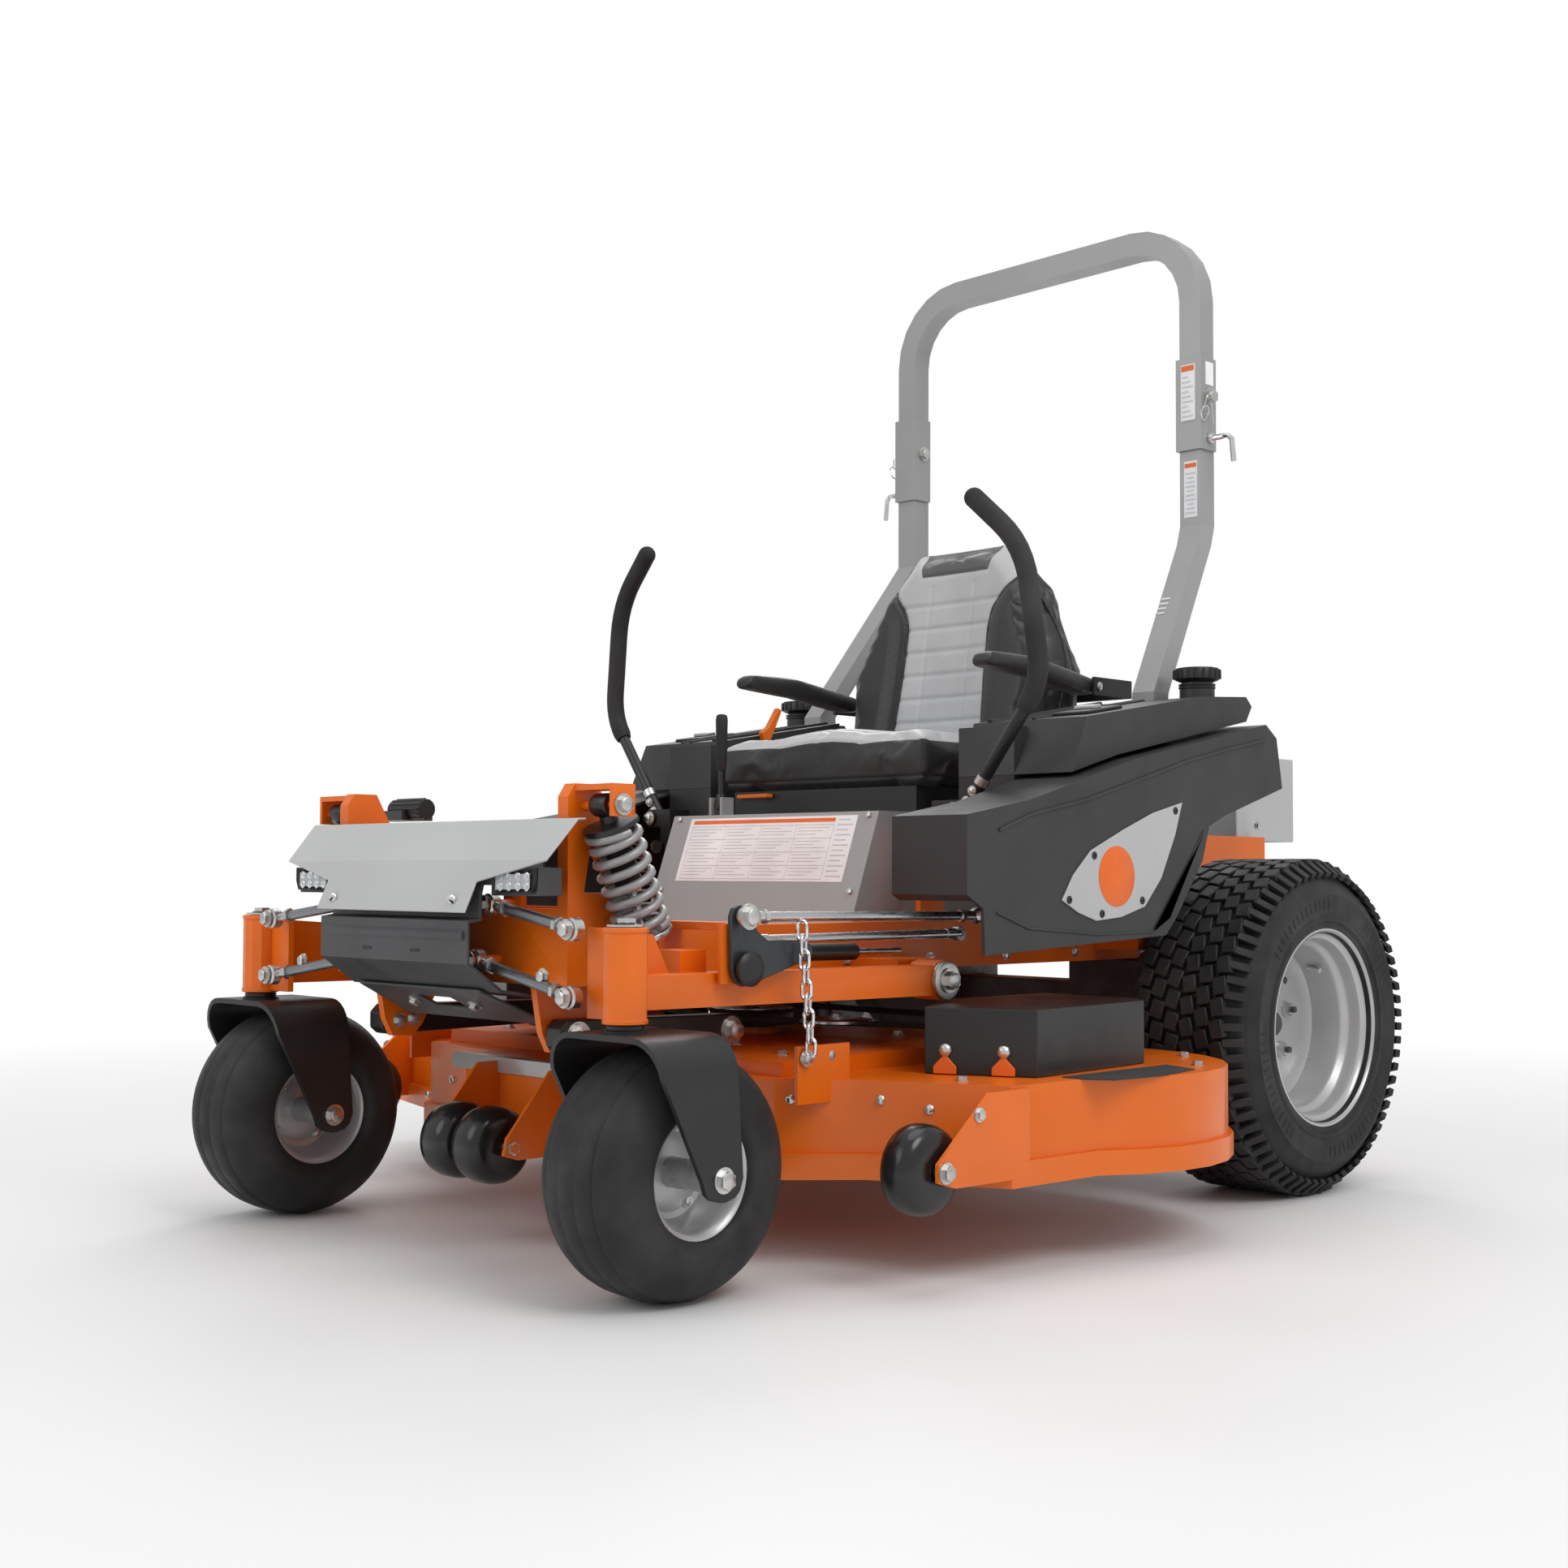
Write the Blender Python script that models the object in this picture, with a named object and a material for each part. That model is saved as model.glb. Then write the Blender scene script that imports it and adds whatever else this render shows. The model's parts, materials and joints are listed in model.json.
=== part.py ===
# Zero turn mower, modelled in metres, +Z up, the front towards -Y and the operator's left towards +X.
# Sizes below are on the machine's own centre line; the empty "machine" carries everything to the origin.
import math

import bmesh
import bpy
from mathutils import Matrix, Vector

GAP = 0.0003                # between pieces that sit against each other
PLAY = 0.0015               # running clearance of pins and bores

# wheels
REAR_RADIUS = 0.290
REAR_WIDTH = 0.235
REAR_TRACK = 0.525          # centre line to tyre centre
REAR_AXLE_Y = 0.620
RIM_RADIUS = 0.168
CASTER_RADIUS = 0.165
CASTER_WIDTH = 0.165
CASTER_TRACK = 0.451
CASTER_AXLE_Y = -0.735
CASTER_TRAIL = 0.0685       # swivel axis ahead of the axle
CASTER_RIM = 0.080
FORK_ROOM = 0.0215          # between the tyre and a fork leg
FORK_PLATE = 0.008

# frame
RAIL_INNER = 0.255
RAIL_OUTER = 0.305
RAIL_BOTTOM = 0.400
RAIL_TOP = 0.475
RAIL_FRONT = -0.620
RAIL_REAR = 0.985
PAN_THICKNESS = 0.004
TOWER_OUTER = 0.284
TOWER_THICKNESS = 0.022
CROSS_FRONT = -0.765
CROSS_BOTTOM = 0.395
CROSS_TOP = 0.500

# front suspension
ARM_CENTRE = 0.425
ARM_WIDTH = 0.046
ARM_HEIGHT = 0.045
ARM_PIVOT = (-0.180, 0.391)         # y, z of the rear bush
BUSH_RADIUS = 0.030
ARM_BOLT = 0.010
SHOCK_X = 0.325
SHOCK_TOP = (-0.736, 0.641)
SHOCK_BOTTOM = (-0.648, 0.430)
SHOCK_BOLT = 0.007
SPRING_RADIUS = 0.029
SPRING_WIRE = 0.0052
SPRING_TURNS = 9
SEAT_RING = 0.034                   # spring seat radius
LINK_RADIUS = 0.008
LINK_EYE = 0.015
LINK_BOLT = 0.007
UPPER_LINK = ((0.160, -0.801, 0.505), (0.374, -0.826, 0.476))
LOWER_LINK = ((0.130, -0.801, 0.427), (0.373, -0.828, 0.388))

# deck
DECK_END = 0.485            # centre of the rounded ends
DECK_END_RADIUS = 0.275
WHEEL_ROOM = 0.025          # between the deck and the rear tyres
DECK_END_Y = REAR_AXLE_Y - REAR_RADIUS - WHEEL_ROOM - DECK_END_RADIUS
DECK_BOTTOM = 0.125
DECK_TOP = 0.262
DECK_CROWN = 0.285
DECK_WALL = 0.005
RIM_HEIGHT = 0.035
RIM_PROUD = 0.008
BLADE_LENGTH = 0.500
BLADE_LEVEL = 0.150
MID_SPINDLE_Y = -0.145
SHAFT_RADIUS = 0.012
PULLEY_RADIUS = 0.070
PULLEY_LEVEL = 0.300
PULLEY_HEIGHT = 0.025
BELT_WIDTH = 0.008
COVER_TOP = 0.358
ROLLER_RADIUS = 0.061
ROLLER_X = 0.655
ROLLER_Y = -0.467
ROLLER_Z = 0.161
ROLLER_WIDTH = 0.060
FRONT_ROLLER_Y = -0.708
FRONT_ROLLER_Z = 0.154
FRONT_ROLLER_RADIUS = 0.056
FRONT_ROLLER_HALF = 0.076
AXLE_PIN = 0.007
CHUTE_FRONT = DECK_END_Y - 0.260
CHUTE_REAR = DECK_END_Y + 0.030
CHUTE_REACH = 0.205

# deck lift
CRANK_PIVOT = (-0.612, 0.422)
CRANK_INNER = 0.464
CRANK_THICKNESS = 0.008
CRANK_REACH = 0.120
CRANK_TIP_ANGLE = math.radians(10)
CRANK_BOLT = 0.008
ROD_RADIUS = 0.006
ROD_JOINT = (-0.622, 0.492)
ROD_REAR = -0.140
CHAIN_BOTTOM = 0.300

# operator's place
COVER_SHEET = 0.003
RISER_HALF = 0.247
RISER_TOP = 0.652
RISER_FRONT = -0.100
RISER_FOOT = -0.167
RISER_REAR = 0.330
SEAT_HALF = 0.255
SEAT_FRONT = 0.002
SEAT_DEPTH = 0.325
SEAT_PAN_TOP = 0.698
CUSHION_TOP = 0.792
BACK_TOP = 1.188
ARMREST_GAP = 0.010
ARMREST_WIDTH = 0.046
ARMREST_PIVOT = (0.400, 0.885)
HUB_PIVOT = (-0.027, 0.600)
SWING_PIVOT = (0.366, 0.652)
LEVER_PLANE = -0.027
BAR_RADIUS = 0.0105
GRIP_RADIUS = 0.0165
BRAKE_X = -0.155
BRAKE_PIVOT = (-0.072, 0.672)

# bodywork
FENDER_OUTER = 0.565
FENDER_INNER = 0.420
# angle round the rear axle, room over the tyre
FENDER_ARCH = ((126.5, 0.1354), (133.8, 0.1047), (151.2, 0.1092), (156.8, 0.1244))
FENDER_WALL = 0.005
TANK_INNER = 0.300
TANK_OUTER = 0.530
TANK_FRONT = 0.035
TANK_SPLIT = 0.385
CAP_CENTRE = (0.482, 0.460)
CAP_RADIUS = 0.042
NECK_RADIUS = 0.030
NECK_TOP = 0.872

# roll bar
TUBE = 0.045
SLEEVE_WALL = 0.0045
HOOP_TRACK = 0.351
POST_FOOT_X = 0.372
POST_KNEE_X = 0.403
POST_KNEE_Z = 0.870
POST_FOOT_Y = 0.435
HOOP_Y = 0.665
HOOP_BOTTOM = 1.475
HOOP_TOP = 1.780
HOOP_BEND = 0.155
SLEEVE_BOTTOM = 1.340
SLEEVE_TOP = 1.513
FOLD_PIVOT = 1.440
LOCK_PIN = 1.362
ROPS_BOLT = 0.006

# drive and rear
ENGINE_HALF = 0.170
ENGINE_FRONT = 0.585
ENGINE_REAR = 0.900
GUARD_HALF = 0.268
GUARD_REAR = 1.145
GUARD_BOTTOM = 0.620
GUARD_TOP = 0.790
SHEET = 0.005

SIDES = (("left", 1), ("right", -1))
SIGNS = (1, -1)
ORANGE = ("orange_paint", (0.90, 0.20, 0.02), 0.35, 0.0)
BLACK = ("black_paint", (0.02, 0.02, 0.02), 0.45, 0.0)
PLASTIC = ("dark_plastic", (0.05, 0.05, 0.055), 0.5, 0.0)
SILVER = ("silver_paint", (0.62, 0.62, 0.63), 0.35, 0.3)
STEEL = ("bright_steel", (0.70, 0.70, 0.72), 0.25, 1.0)
RUBBER = ("rubber", (0.025, 0.025, 0.027), 0.8, 0.0)
VINYL = ("black_vinyl", (0.03, 0.03, 0.03), 0.55, 0.0)
IRON = ("dark_metal", (0.16, 0.16, 0.17), 0.5, 0.8)


def clear_scene():
    for thing in list(bpy.data.objects):
        bpy.data.objects.remove(thing, do_unlink=True)


def material(paint):
    name, colour, roughness, metallic = paint
    made = bpy.data.materials.new(name)
    made.use_nodes = True
    shader = made.node_tree.nodes["Principled BSDF"]
    shader.inputs["Base Color"].default_value = (*colour, 1.0)
    shader.inputs["Roughness"].default_value = roughness
    shader.inputs["Metallic"].default_value = metallic
    made.diffuse_color = (*colour, 1.0)
    return made


# ---- shapes: each returns a bmesh of one closed body ----

def block(x, y, z):
    bm = bmesh.new()
    bmesh.ops.create_cube(bm, size=1.0)
    size = (x[1] - x[0], y[1] - y[0], z[1] - z[0])
    bmesh.ops.scale(bm, vec=size, verts=bm.verts)
    middle = ((x[0] + x[1]) / 2, (y[0] + y[1]) / 2, (z[0] + z[1]) / 2)
    bmesh.ops.translate(bm, vec=middle, verts=bm.verts)
    return bm


def place(flat, axis, along):
    a, b = flat
    return {"x": (along, a, b), "y": (a, along, b), "z": (a, b, along)}[axis]


def prism(outline, axis, start, end):
    """An outline in the plane across the axis, extruded from start to end."""
    bm = bmesh.new()
    corners = [bm.verts.new(place(point, axis, start)) for point in outline]
    face = bm.faces.new(corners)
    grown = bmesh.ops.extrude_face_region(bm, geom=[face])
    moved = [part for part in grown["geom"] if isinstance(part, bmesh.types.BMVert)]
    bmesh.ops.translate(bm, vec=place((0, 0), axis, end - start), verts=moved)
    bmesh.ops.recalc_face_normals(bm, faces=bm.faces)
    return bm


def rod(start, end, radius, sides=10):
    start, end = Vector(start), Vector(end)
    bm = bmesh.new()
    bmesh.ops.create_cone(bm, cap_ends=True, segments=sides, radius1=radius, radius2=radius,
                          depth=(end - start).length)
    turn = (end - start).to_track_quat("Z", "Y").to_matrix().to_4x4()
    bm.transform(Matrix.Translation((start + end) / 2) @ turn)
    return bm


def turned(profile, centre, axis, sides=20, hollow=True):
    """A profile of (radius, along) points turned round an axis; hollow ones close on themselves."""
    bm = bmesh.new()
    line = [bm.verts.new((radius, 0, along)) for radius, along in profile]
    pairs = list(zip(line, line[1:] + line[:1])) if hollow else list(zip(line, line[1:]))
    edges = [bm.edges.new(pair) for pair in pairs]
    bmesh.ops.spin(bm, geom=line + edges, cent=(0, 0, 0), axis=(0, 0, 1), angle=math.tau,
                   steps=sides, use_merge=True, use_duplicate=False)
    bmesh.ops.remove_doubles(bm, verts=bm.verts, dist=0.00001)
    turn = {"x": Matrix.Rotation(math.pi / 2, 4, "Y"), "y": Matrix.Rotation(-math.pi / 2, 4, "X"),
            "z": Matrix.Identity(4)}[axis]
    bm.transform(Matrix.Translation(centre) @ turn)
    bmesh.ops.recalc_face_normals(bm, faces=bm.faces)
    return bm


def ring(centre, axis, half, outer, inner, sides=12):
    profile = [(inner, -half), (outer, -half), (outer, half), (inner, half)]
    return turned(profile, centre, axis, sides)


def sweep(points, radius, resolution=1):
    """A round bar along a line of points, with closed ends."""
    curve = bpy.data.curves.new("path", "CURVE")
    curve.dimensions = "3D"
    spline = curve.splines.new("POLY")
    spline.points.add(len(points) - 1)
    for slot, point in zip(spline.points, points):
        slot.co = (*point, 1.0)
    curve.bevel_depth = radius
    curve.bevel_resolution = resolution
    curve.use_fill_caps = True
    bm = evaluated(bpy.data.objects.new("path", curve))
    bmesh.ops.recalc_face_normals(bm, faces=bm.faces)
    return bm


def arc(centre, radius, first, last, steps):
    turn = [math.radians(first + (last - first) * step / steps) for step in range(steps + 1)]
    return [(centre[0] + radius * math.cos(a), centre[1] + radius * math.sin(a)) for a in turn]


def along_x(start, end, y, z, radius, sides=10):
    return rod((start, y, z), (end, y, z), radius, sides)


def sheet(rows, thickness):
    """A bent sheet through rows of points, thickened towards its back."""
    bm = bmesh.new()
    grid = [[bm.verts.new(point) for point in row] for row in rows]
    for upper, lower in zip(grid, grid[1:]):
        for column in range(len(upper) - 1):
            bm.faces.new((upper[column], upper[column + 1], lower[column + 1], lower[column]))
    thing = bpy.data.objects.new("sheet", mesh_of(bm))
    wall = thing.modifiers.new("wall", "SOLIDIFY")
    wall.thickness = thickness
    wall.offset = -1
    wall.use_even_offset = True
    bm = evaluated(thing)
    bmesh.ops.recalc_face_normals(bm, faces=bm.faces)
    return bm


# ---- joining and cutting ----

def evaluated(thing):
    """The object's evaluated mesh as a bmesh; the object is removed."""
    bpy.context.scene.collection.objects.link(thing)
    graph = bpy.context.evaluated_depsgraph_get()
    mesh = bpy.data.meshes.new_from_object(thing.evaluated_get(graph))
    bm = bmesh.new()
    bm.from_mesh(mesh)
    bmesh.ops.remove_doubles(bm, verts=bm.verts, dist=0.00001)
    bpy.data.objects.remove(thing, do_unlink=True)
    return bm


def mesh_of(bm):
    mesh = bpy.data.meshes.new("shape")
    bm.to_mesh(mesh)
    bm.free()
    return mesh


def combine(base, tools, operation):
    thing = bpy.data.objects.new("work", mesh_of(base))
    helpers = []
    for tool in tools:
        helper = bpy.data.objects.new("tool", mesh_of(tool))
        bpy.context.scene.collection.objects.link(helper)
        helpers.append(helper)
        step = thing.modifiers.new("step", "BOOLEAN")
        step.operation = operation
        step.object = helper
    bm = evaluated(thing)
    for helper in helpers:
        bpy.data.objects.remove(helper, do_unlink=True)
    bmesh.ops.dissolve_limit(bm, angle_limit=0.002, verts=bm.verts, edges=bm.edges)
    return bm


def fuse(base, *more):
    return combine(base, more, "UNION")


def cut(base, *tools):
    return combine(base, tools, "DIFFERENCE")


def shared(base, other):
    return combine(base, [other], "INTERSECT")


def mirrored(bm):
    copy = bm.copy()
    bmesh.ops.scale(copy, vec=(-1, 1, 1), verts=copy.verts)
    bmesh.ops.reverse_faces(copy, faces=copy.faces)
    return copy


def both(bm):
    return bm, mirrored(bm)


class Builder:
    """Puts finished pieces in the scene, each on its own joint axis and under the machine's empty."""

    def __init__(self, origin):
        self.machine = bpy.data.objects.new("machine", None)
        self.machine.location = origin
        bpy.context.scene.collection.objects.link(self.machine)
        self.paints = {}

    def add(self, name, bm, paint, pivot=(0, 0, 0)):
        bmesh.ops.translate(bm, vec=-Vector(pivot), verts=bm.verts)
        mesh = mesh_of(bm)
        mesh.name = name
        mesh.shade_smooth()
        mesh.set_sharp_from_angle(angle=math.radians(30))
        if paint[0] not in self.paints:
            self.paints[paint[0]] = material(paint)
        mesh.materials.append(self.paints[paint[0]])
        thing = bpy.data.objects.new(name, mesh)
        bpy.context.scene.collection.objects.link(thing)
        thing.parent = self.machine
        thing.location = pivot

    def pair(self, name, bm, paint, pivot=(0, 0, 0)):
        x, y, z = pivot
        other = mirrored(bm)
        self.add(name + "_left", bm, paint, pivot)
        self.add(name + "_right", other, paint, (-x, y, z))


# ---- frame ----

def main_frame(build):
    rails = [block((side * RAIL_INNER, side * RAIL_OUTER)[::side], (RAIL_FRONT, RAIL_REAR),
                   (RAIL_BOTTOM, RAIL_TOP)) for side in SIGNS]
    inner = (-RAIL_INNER - 0.01, RAIL_INNER + 0.01)
    pan = block(inner, (RAIL_FRONT, RISER_FOOT + 0.02),
                (RAIL_TOP - 0.012, RAIL_TOP - 0.012 + PAN_THICKNESS))
    bridge = block(inner, (RISER_FOOT, RISER_FOOT + 0.05), (RAIL_BOTTOM + 0.01, RAIL_TOP - 0.010))
    deck = block(inner, (0.440, RAIL_REAR - 0.02), (RAIL_TOP - 0.012, RAIL_TOP - 0.004))
    tail = block(inner, (RAIL_REAR - 0.040, RAIL_REAR), (RAIL_BOTTOM, RAIL_TOP - 0.002))
    extras = []
    for side in SIGNS:
        mine = [arm_bracket(), crank_bracket(), lever_tower(), tail_plate(), post_foot()]
        extras += mine if side > 0 else [mirrored(shape) for shape in mine]
    build.add("main_frame", fuse(rails[0], rails[1], pan, bridge, deck, tail, *extras), ORANGE)


def arm_bracket():
    y, z = ARM_PIVOT
    inner = ARM_CENTRE - ARM_WIDTH / 2 - 0.004
    plate = block((RAIL_OUTER - 0.004, inner), (y - 0.045, y + 0.045), (z - 0.022, z + 0.030))
    bolt = along_x(inner - 0.004, ARM_CENTRE + ARM_WIDTH / 2 + 0.014, y, z, ARM_BOLT)
    return fuse(plate, bolt)


def crank_bracket():
    y, z = CRANK_PIVOT
    outer = CRANK_INNER - 0.003
    shelf = block((RAIL_OUTER - 0.010, outer), (y, y + 0.036), (RAIL_TOP - 0.003, RAIL_TOP + 0.008))
    hanger = block((outer - 0.006, outer), (y - 0.035, y + 0.035), (z - 0.020, RAIL_TOP + 0.007))
    bolt = along_x(outer - 0.004, CRANK_INNER + CRANK_THICKNESS + 0.004, y, z, CRANK_BOLT)
    return fuse(shelf, hanger, bolt)


def lever_tower():
    y, z = HUB_PIVOT
    plate = block((0.288, 0.298), (y - 0.030, y + 0.030), (RAIL_TOP - 0.040, z + 0.030))
    axle = along_x(0.292, 0.340, y, z, 0.008)
    return fuse(plate, axle)


def tail_plate():
    outline = [(0.700, RAIL_TOP - 0.030), (0.730, 0.605), (0.760, 0.627), (RAIL_REAR - 0.010, 0.627),
               (RAIL_REAR - 0.010, RAIL_TOP - 0.030)]
    return prism(outline, "x", RAIL_OUTER - 0.010, RAIL_OUTER - 0.002)


def post_foot():
    reach = POST_FOOT_X + TUBE / 2 + 0.005
    return block((RAIL_OUTER - 0.01, reach), (POST_FOOT_Y - 0.035, POST_FOOT_Y + 0.035),
                 (RAIL_BOTTOM + 0.020, RAIL_BOTTOM + 0.045))


def front_frame(build):
    cross = block((-TOWER_OUTER, TOWER_OUTER), (CROSS_FRONT, RAIL_FRONT - GAP), (CROSS_BOTTOM, CROSS_TOP))
    hollow = block((-TOWER_OUTER + 0.022, TOWER_OUTER - 0.022), (CROSS_FRONT + 0.008, RAIL_FRONT - 0.008),
                   (CROSS_BOTTOM + 0.008, CROSS_TOP + 0.02))
    cross = cut(cross, hollow)
    parts = []
    for side in SIGNS:
        mine = [tower(), shock_hanger(), *link_bolts()]
        parts += mine if side > 0 else [mirrored(shape) for shape in mine]
    tie = block((-TOWER_OUTER + 0.01, TOWER_OUTER - 0.01), (-0.715, -0.690), (0.585, 0.610))
    build.add("front_frame", fuse(cross, tie, *parts), ORANGE)


def tower():
    y, z = SHOCK_TOP
    outline = [(CROSS_FRONT, CROSS_TOP - 0.02), (CROSS_FRONT, CROSS_TOP + 0.02), (y - 0.030, z + 0.012),
               (y - 0.018, z + 0.030), (y + 0.022, z + 0.030), (RAIL_FRONT - 0.010, CROSS_TOP + 0.020),
               (RAIL_FRONT - 0.010, CROSS_TOP - 0.02)]
    plate = prism(outline, "x", TOWER_OUTER - TOWER_THICKNESS, TOWER_OUTER)
    window = [(CROSS_FRONT + 0.028, CROSS_TOP + 0.022), (RAIL_FRONT - 0.050, CROSS_TOP + 0.022),
              (y + 0.012, z - 0.045)]
    return cut(plate, prism(window, "x", TOWER_OUTER - 0.05, TOWER_OUTER + 0.05))


def shock_hanger():
    y, z = SHOCK_TOP
    outer = SHOCK_X + 0.032
    strap = block((TOWER_OUTER - 0.015, outer + 0.006), (y - 0.018, y + 0.022), (z + 0.020, z + 0.028))
    cheek = block((outer, outer + 0.006), (y - 0.018, y + 0.022), (z - 0.016, z + 0.027))
    bolt = along_x(TOWER_OUTER - 0.006, outer + 0.012, y, z, SHOCK_BOLT)
    return fuse(strap, cheek, bolt)


def link_bolts():
    made = []
    for x, y, z in (UPPER_LINK[0], LOWER_LINK[0]):
        made.append(rod((x, CROSS_FRONT + 0.006, z), (x, y - 0.016, z), LINK_BOLT))
        if z + 0.012 > CROSS_TOP:
            made.append(block((x - 0.02, x + 0.02), (CROSS_FRONT, CROSS_FRONT + 0.010),
                              (z - 0.03, z + 0.016)))
    return made


def front_cover(build):
    rows = []
    for half, y, z in ((0.329, -0.770, 0.6232), (0.329, -0.784, 0.6225), (0.323, -0.833, 0.566),
                       (0.187, -0.846, 0.537), (0.187, -0.865, 0.495)):
        rows.append([(half, y, z), (-half, y, z)])
    build.add("front_cover", sheet(rows, COVER_SHEET), SILVER)


def front_fascia(build):
    skin = [(-0.800, 0.384), (-0.858, 0.425), (-0.858, 0.484), (-0.838, 0.487), (-0.838, 0.520),
            (-0.830, 0.552),
            (-0.826, 0.552), (-0.834, 0.518), (-0.834, 0.483), (-0.854, 0.480), (-0.854, 0.427),
            (-0.798, 0.388),
            (-0.700, 0.374), (-0.700, 0.370)]
    front = prism(skin, "x", -0.185, 0.185)
    bar = block((-0.290, 0.290), (-0.829, -0.800), (0.532, 0.548))
    pods = both(block((0.205, 0.298), (-0.826, -0.786), (0.518, 0.556)))
    build.add("front_fascia", fuse(front, bar, *pods), PLASTIC)


# ---- front suspension ----

def swing_arms(build):
    y, z = ARM_PIVOT
    inner, outer = ARM_CENTRE - ARM_WIDTH / 2, ARM_CENTRE + ARM_WIDTH / 2
    swivel_y = CASTER_AXLE_Y - CASTER_TRAIL
    half = ARM_HEIGHT / 2
    beam = prism([(swivel_y + 0.015, z + 0.004 - half), (swivel_y + 0.015, z + 0.004 + half),
                  (y, z + half), (y, z - half)], "x", inner, outer)
    tube = rod((CASTER_TRACK, swivel_y, 0.357), (CASTER_TRACK, swivel_y, 0.480), 0.0285, 12)
    plate = block((0.372, CASTER_TRACK), (swivel_y + 0.002, swivel_y + 0.012), (0.360, 0.478))
    gusset = prism([(swivel_y + 0.005, z), (swivel_y + 0.005, 0.474), (swivel_y + 0.085, 0.468),
                    (swivel_y + 0.125, z)], "x", inner, inner + 0.006)
    shock_y, shock_z = SHOCK_BOTTOM
    lug = block((SHOCK_X + 0.020, inner + 0.006), (shock_y - 0.024, shock_y + 0.024),
                (z - 0.006, shock_z + 0.016))
    pin = along_x(SHOCK_X - 0.020, SHOCK_X + 0.025, shock_y, shock_z, SHOCK_BOLT)
    bush = along_x(inner - 0.002, outer + 0.002, y, z, BUSH_RADIUS, 12)
    bore = along_x(inner - 0.05, outer + 0.05, y, z, ARM_BOLT + PLAY, 12)
    swivel = rod((CASTER_TRACK, swivel_y, 0.300), (CASTER_TRACK, swivel_y, 0.550), 0.0175 + PLAY, 12)
    arm = cut(fuse(beam, tube, plate, gusset, lug, pin, bush), bore, swivel)
    build.pair("swing_arm", arm, ORANGE, (ARM_CENTRE, y, z))


def links(build):
    for name, ends in (("upper_link", UPPER_LINK), ("lower_link", LOWER_LINK)):
        inner, outer = ends
        bar = rod(inner, outer, LINK_RADIUS)
        eye = rod((inner[0], inner[1] - 0.011, inner[2]), (inner[0], inner[1] + 0.011, inner[2]),
                  LINK_EYE, 10)
        far = rod((outer[0], outer[1] - 0.010, outer[2]), (outer[0], outer[1] + 0.010, outer[2]),
                  LINK_EYE, 10)
        bore = rod((inner[0], -0.9, inner[2]), (inner[0], -0.7, inner[2]), LINK_BOLT + PLAY, 10)
        build.pair(name, cut(fuse(bar, eye, far), bore), STEEL, inner)


def shock_frame():
    top = Vector((SHOCK_X, *SHOCK_TOP))
    bottom = Vector((SHOCK_X, *SHOCK_BOTTOM))
    return top, (bottom - top).normalized(), (bottom - top).length


def shocks(build):
    top, down, length = shock_frame()

    def at(distance):
        return tuple(top + down * distance)

    eye = ring(at(0), "x", 0.016, 0.016, SHOCK_BOLT + PLAY)
    neck = rod(at(0.012), at(0.040), 0.012)
    body = rod(at(0.022), at(0.118), 0.019, 10)
    rest = rod(at(0.028), at(0.034), SEAT_RING, 12)
    bore = rod(at(0.045), at(0.150), 0.0075 + PLAY)
    pin = rod(tuple(Vector(at(0)) - Vector((0.05, 0, 0))), tuple(Vector(at(0)) + Vector((0.05, 0, 0))),
              SHOCK_BOLT + PLAY, 12)
    build.pair("shock_body", cut(fuse(body, neck, rest, eye), bore, pin), BLACK, at(0))

    stem = rod(at(0.085), at(length - 0.010), 0.0075)
    seat = rod(at(0.188), at(0.194), SEAT_RING, 12)
    foot = rod(tuple(Vector(at(length)) - Vector((0.013, 0, 0))),
               tuple(Vector(at(length)) + Vector((0.013, 0, 0))), 0.017, 12)
    hole = rod(tuple(Vector(at(length)) - Vector((0.05, 0, 0))),
               tuple(Vector(at(length)) + Vector((0.05, 0, 0))),
               SHOCK_BOLT + 0.0035, 10)
    build.pair("shock_rod", cut(fuse(stem, seat, foot), hole), STEEL, at(length))

    start, end = 0.034 + GAP + SPRING_WIRE, 0.188 - GAP - SPRING_WIRE
    across = Vector((1, 0, 0))
    other = down.cross(across)
    steps = SPRING_TURNS * 7
    coil = []
    for step in range(steps + 1):
        turn = math.tau * SPRING_TURNS * step / steps
        middle = top + down * (start + (end - start) * step / steps)
        coil.append(middle + SPRING_RADIUS * (across * math.cos(turn) + other * math.sin(turn)))
    build.pair("spring", sweep(coil, SPRING_WIRE, 0), SILVER, at(start))


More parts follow.
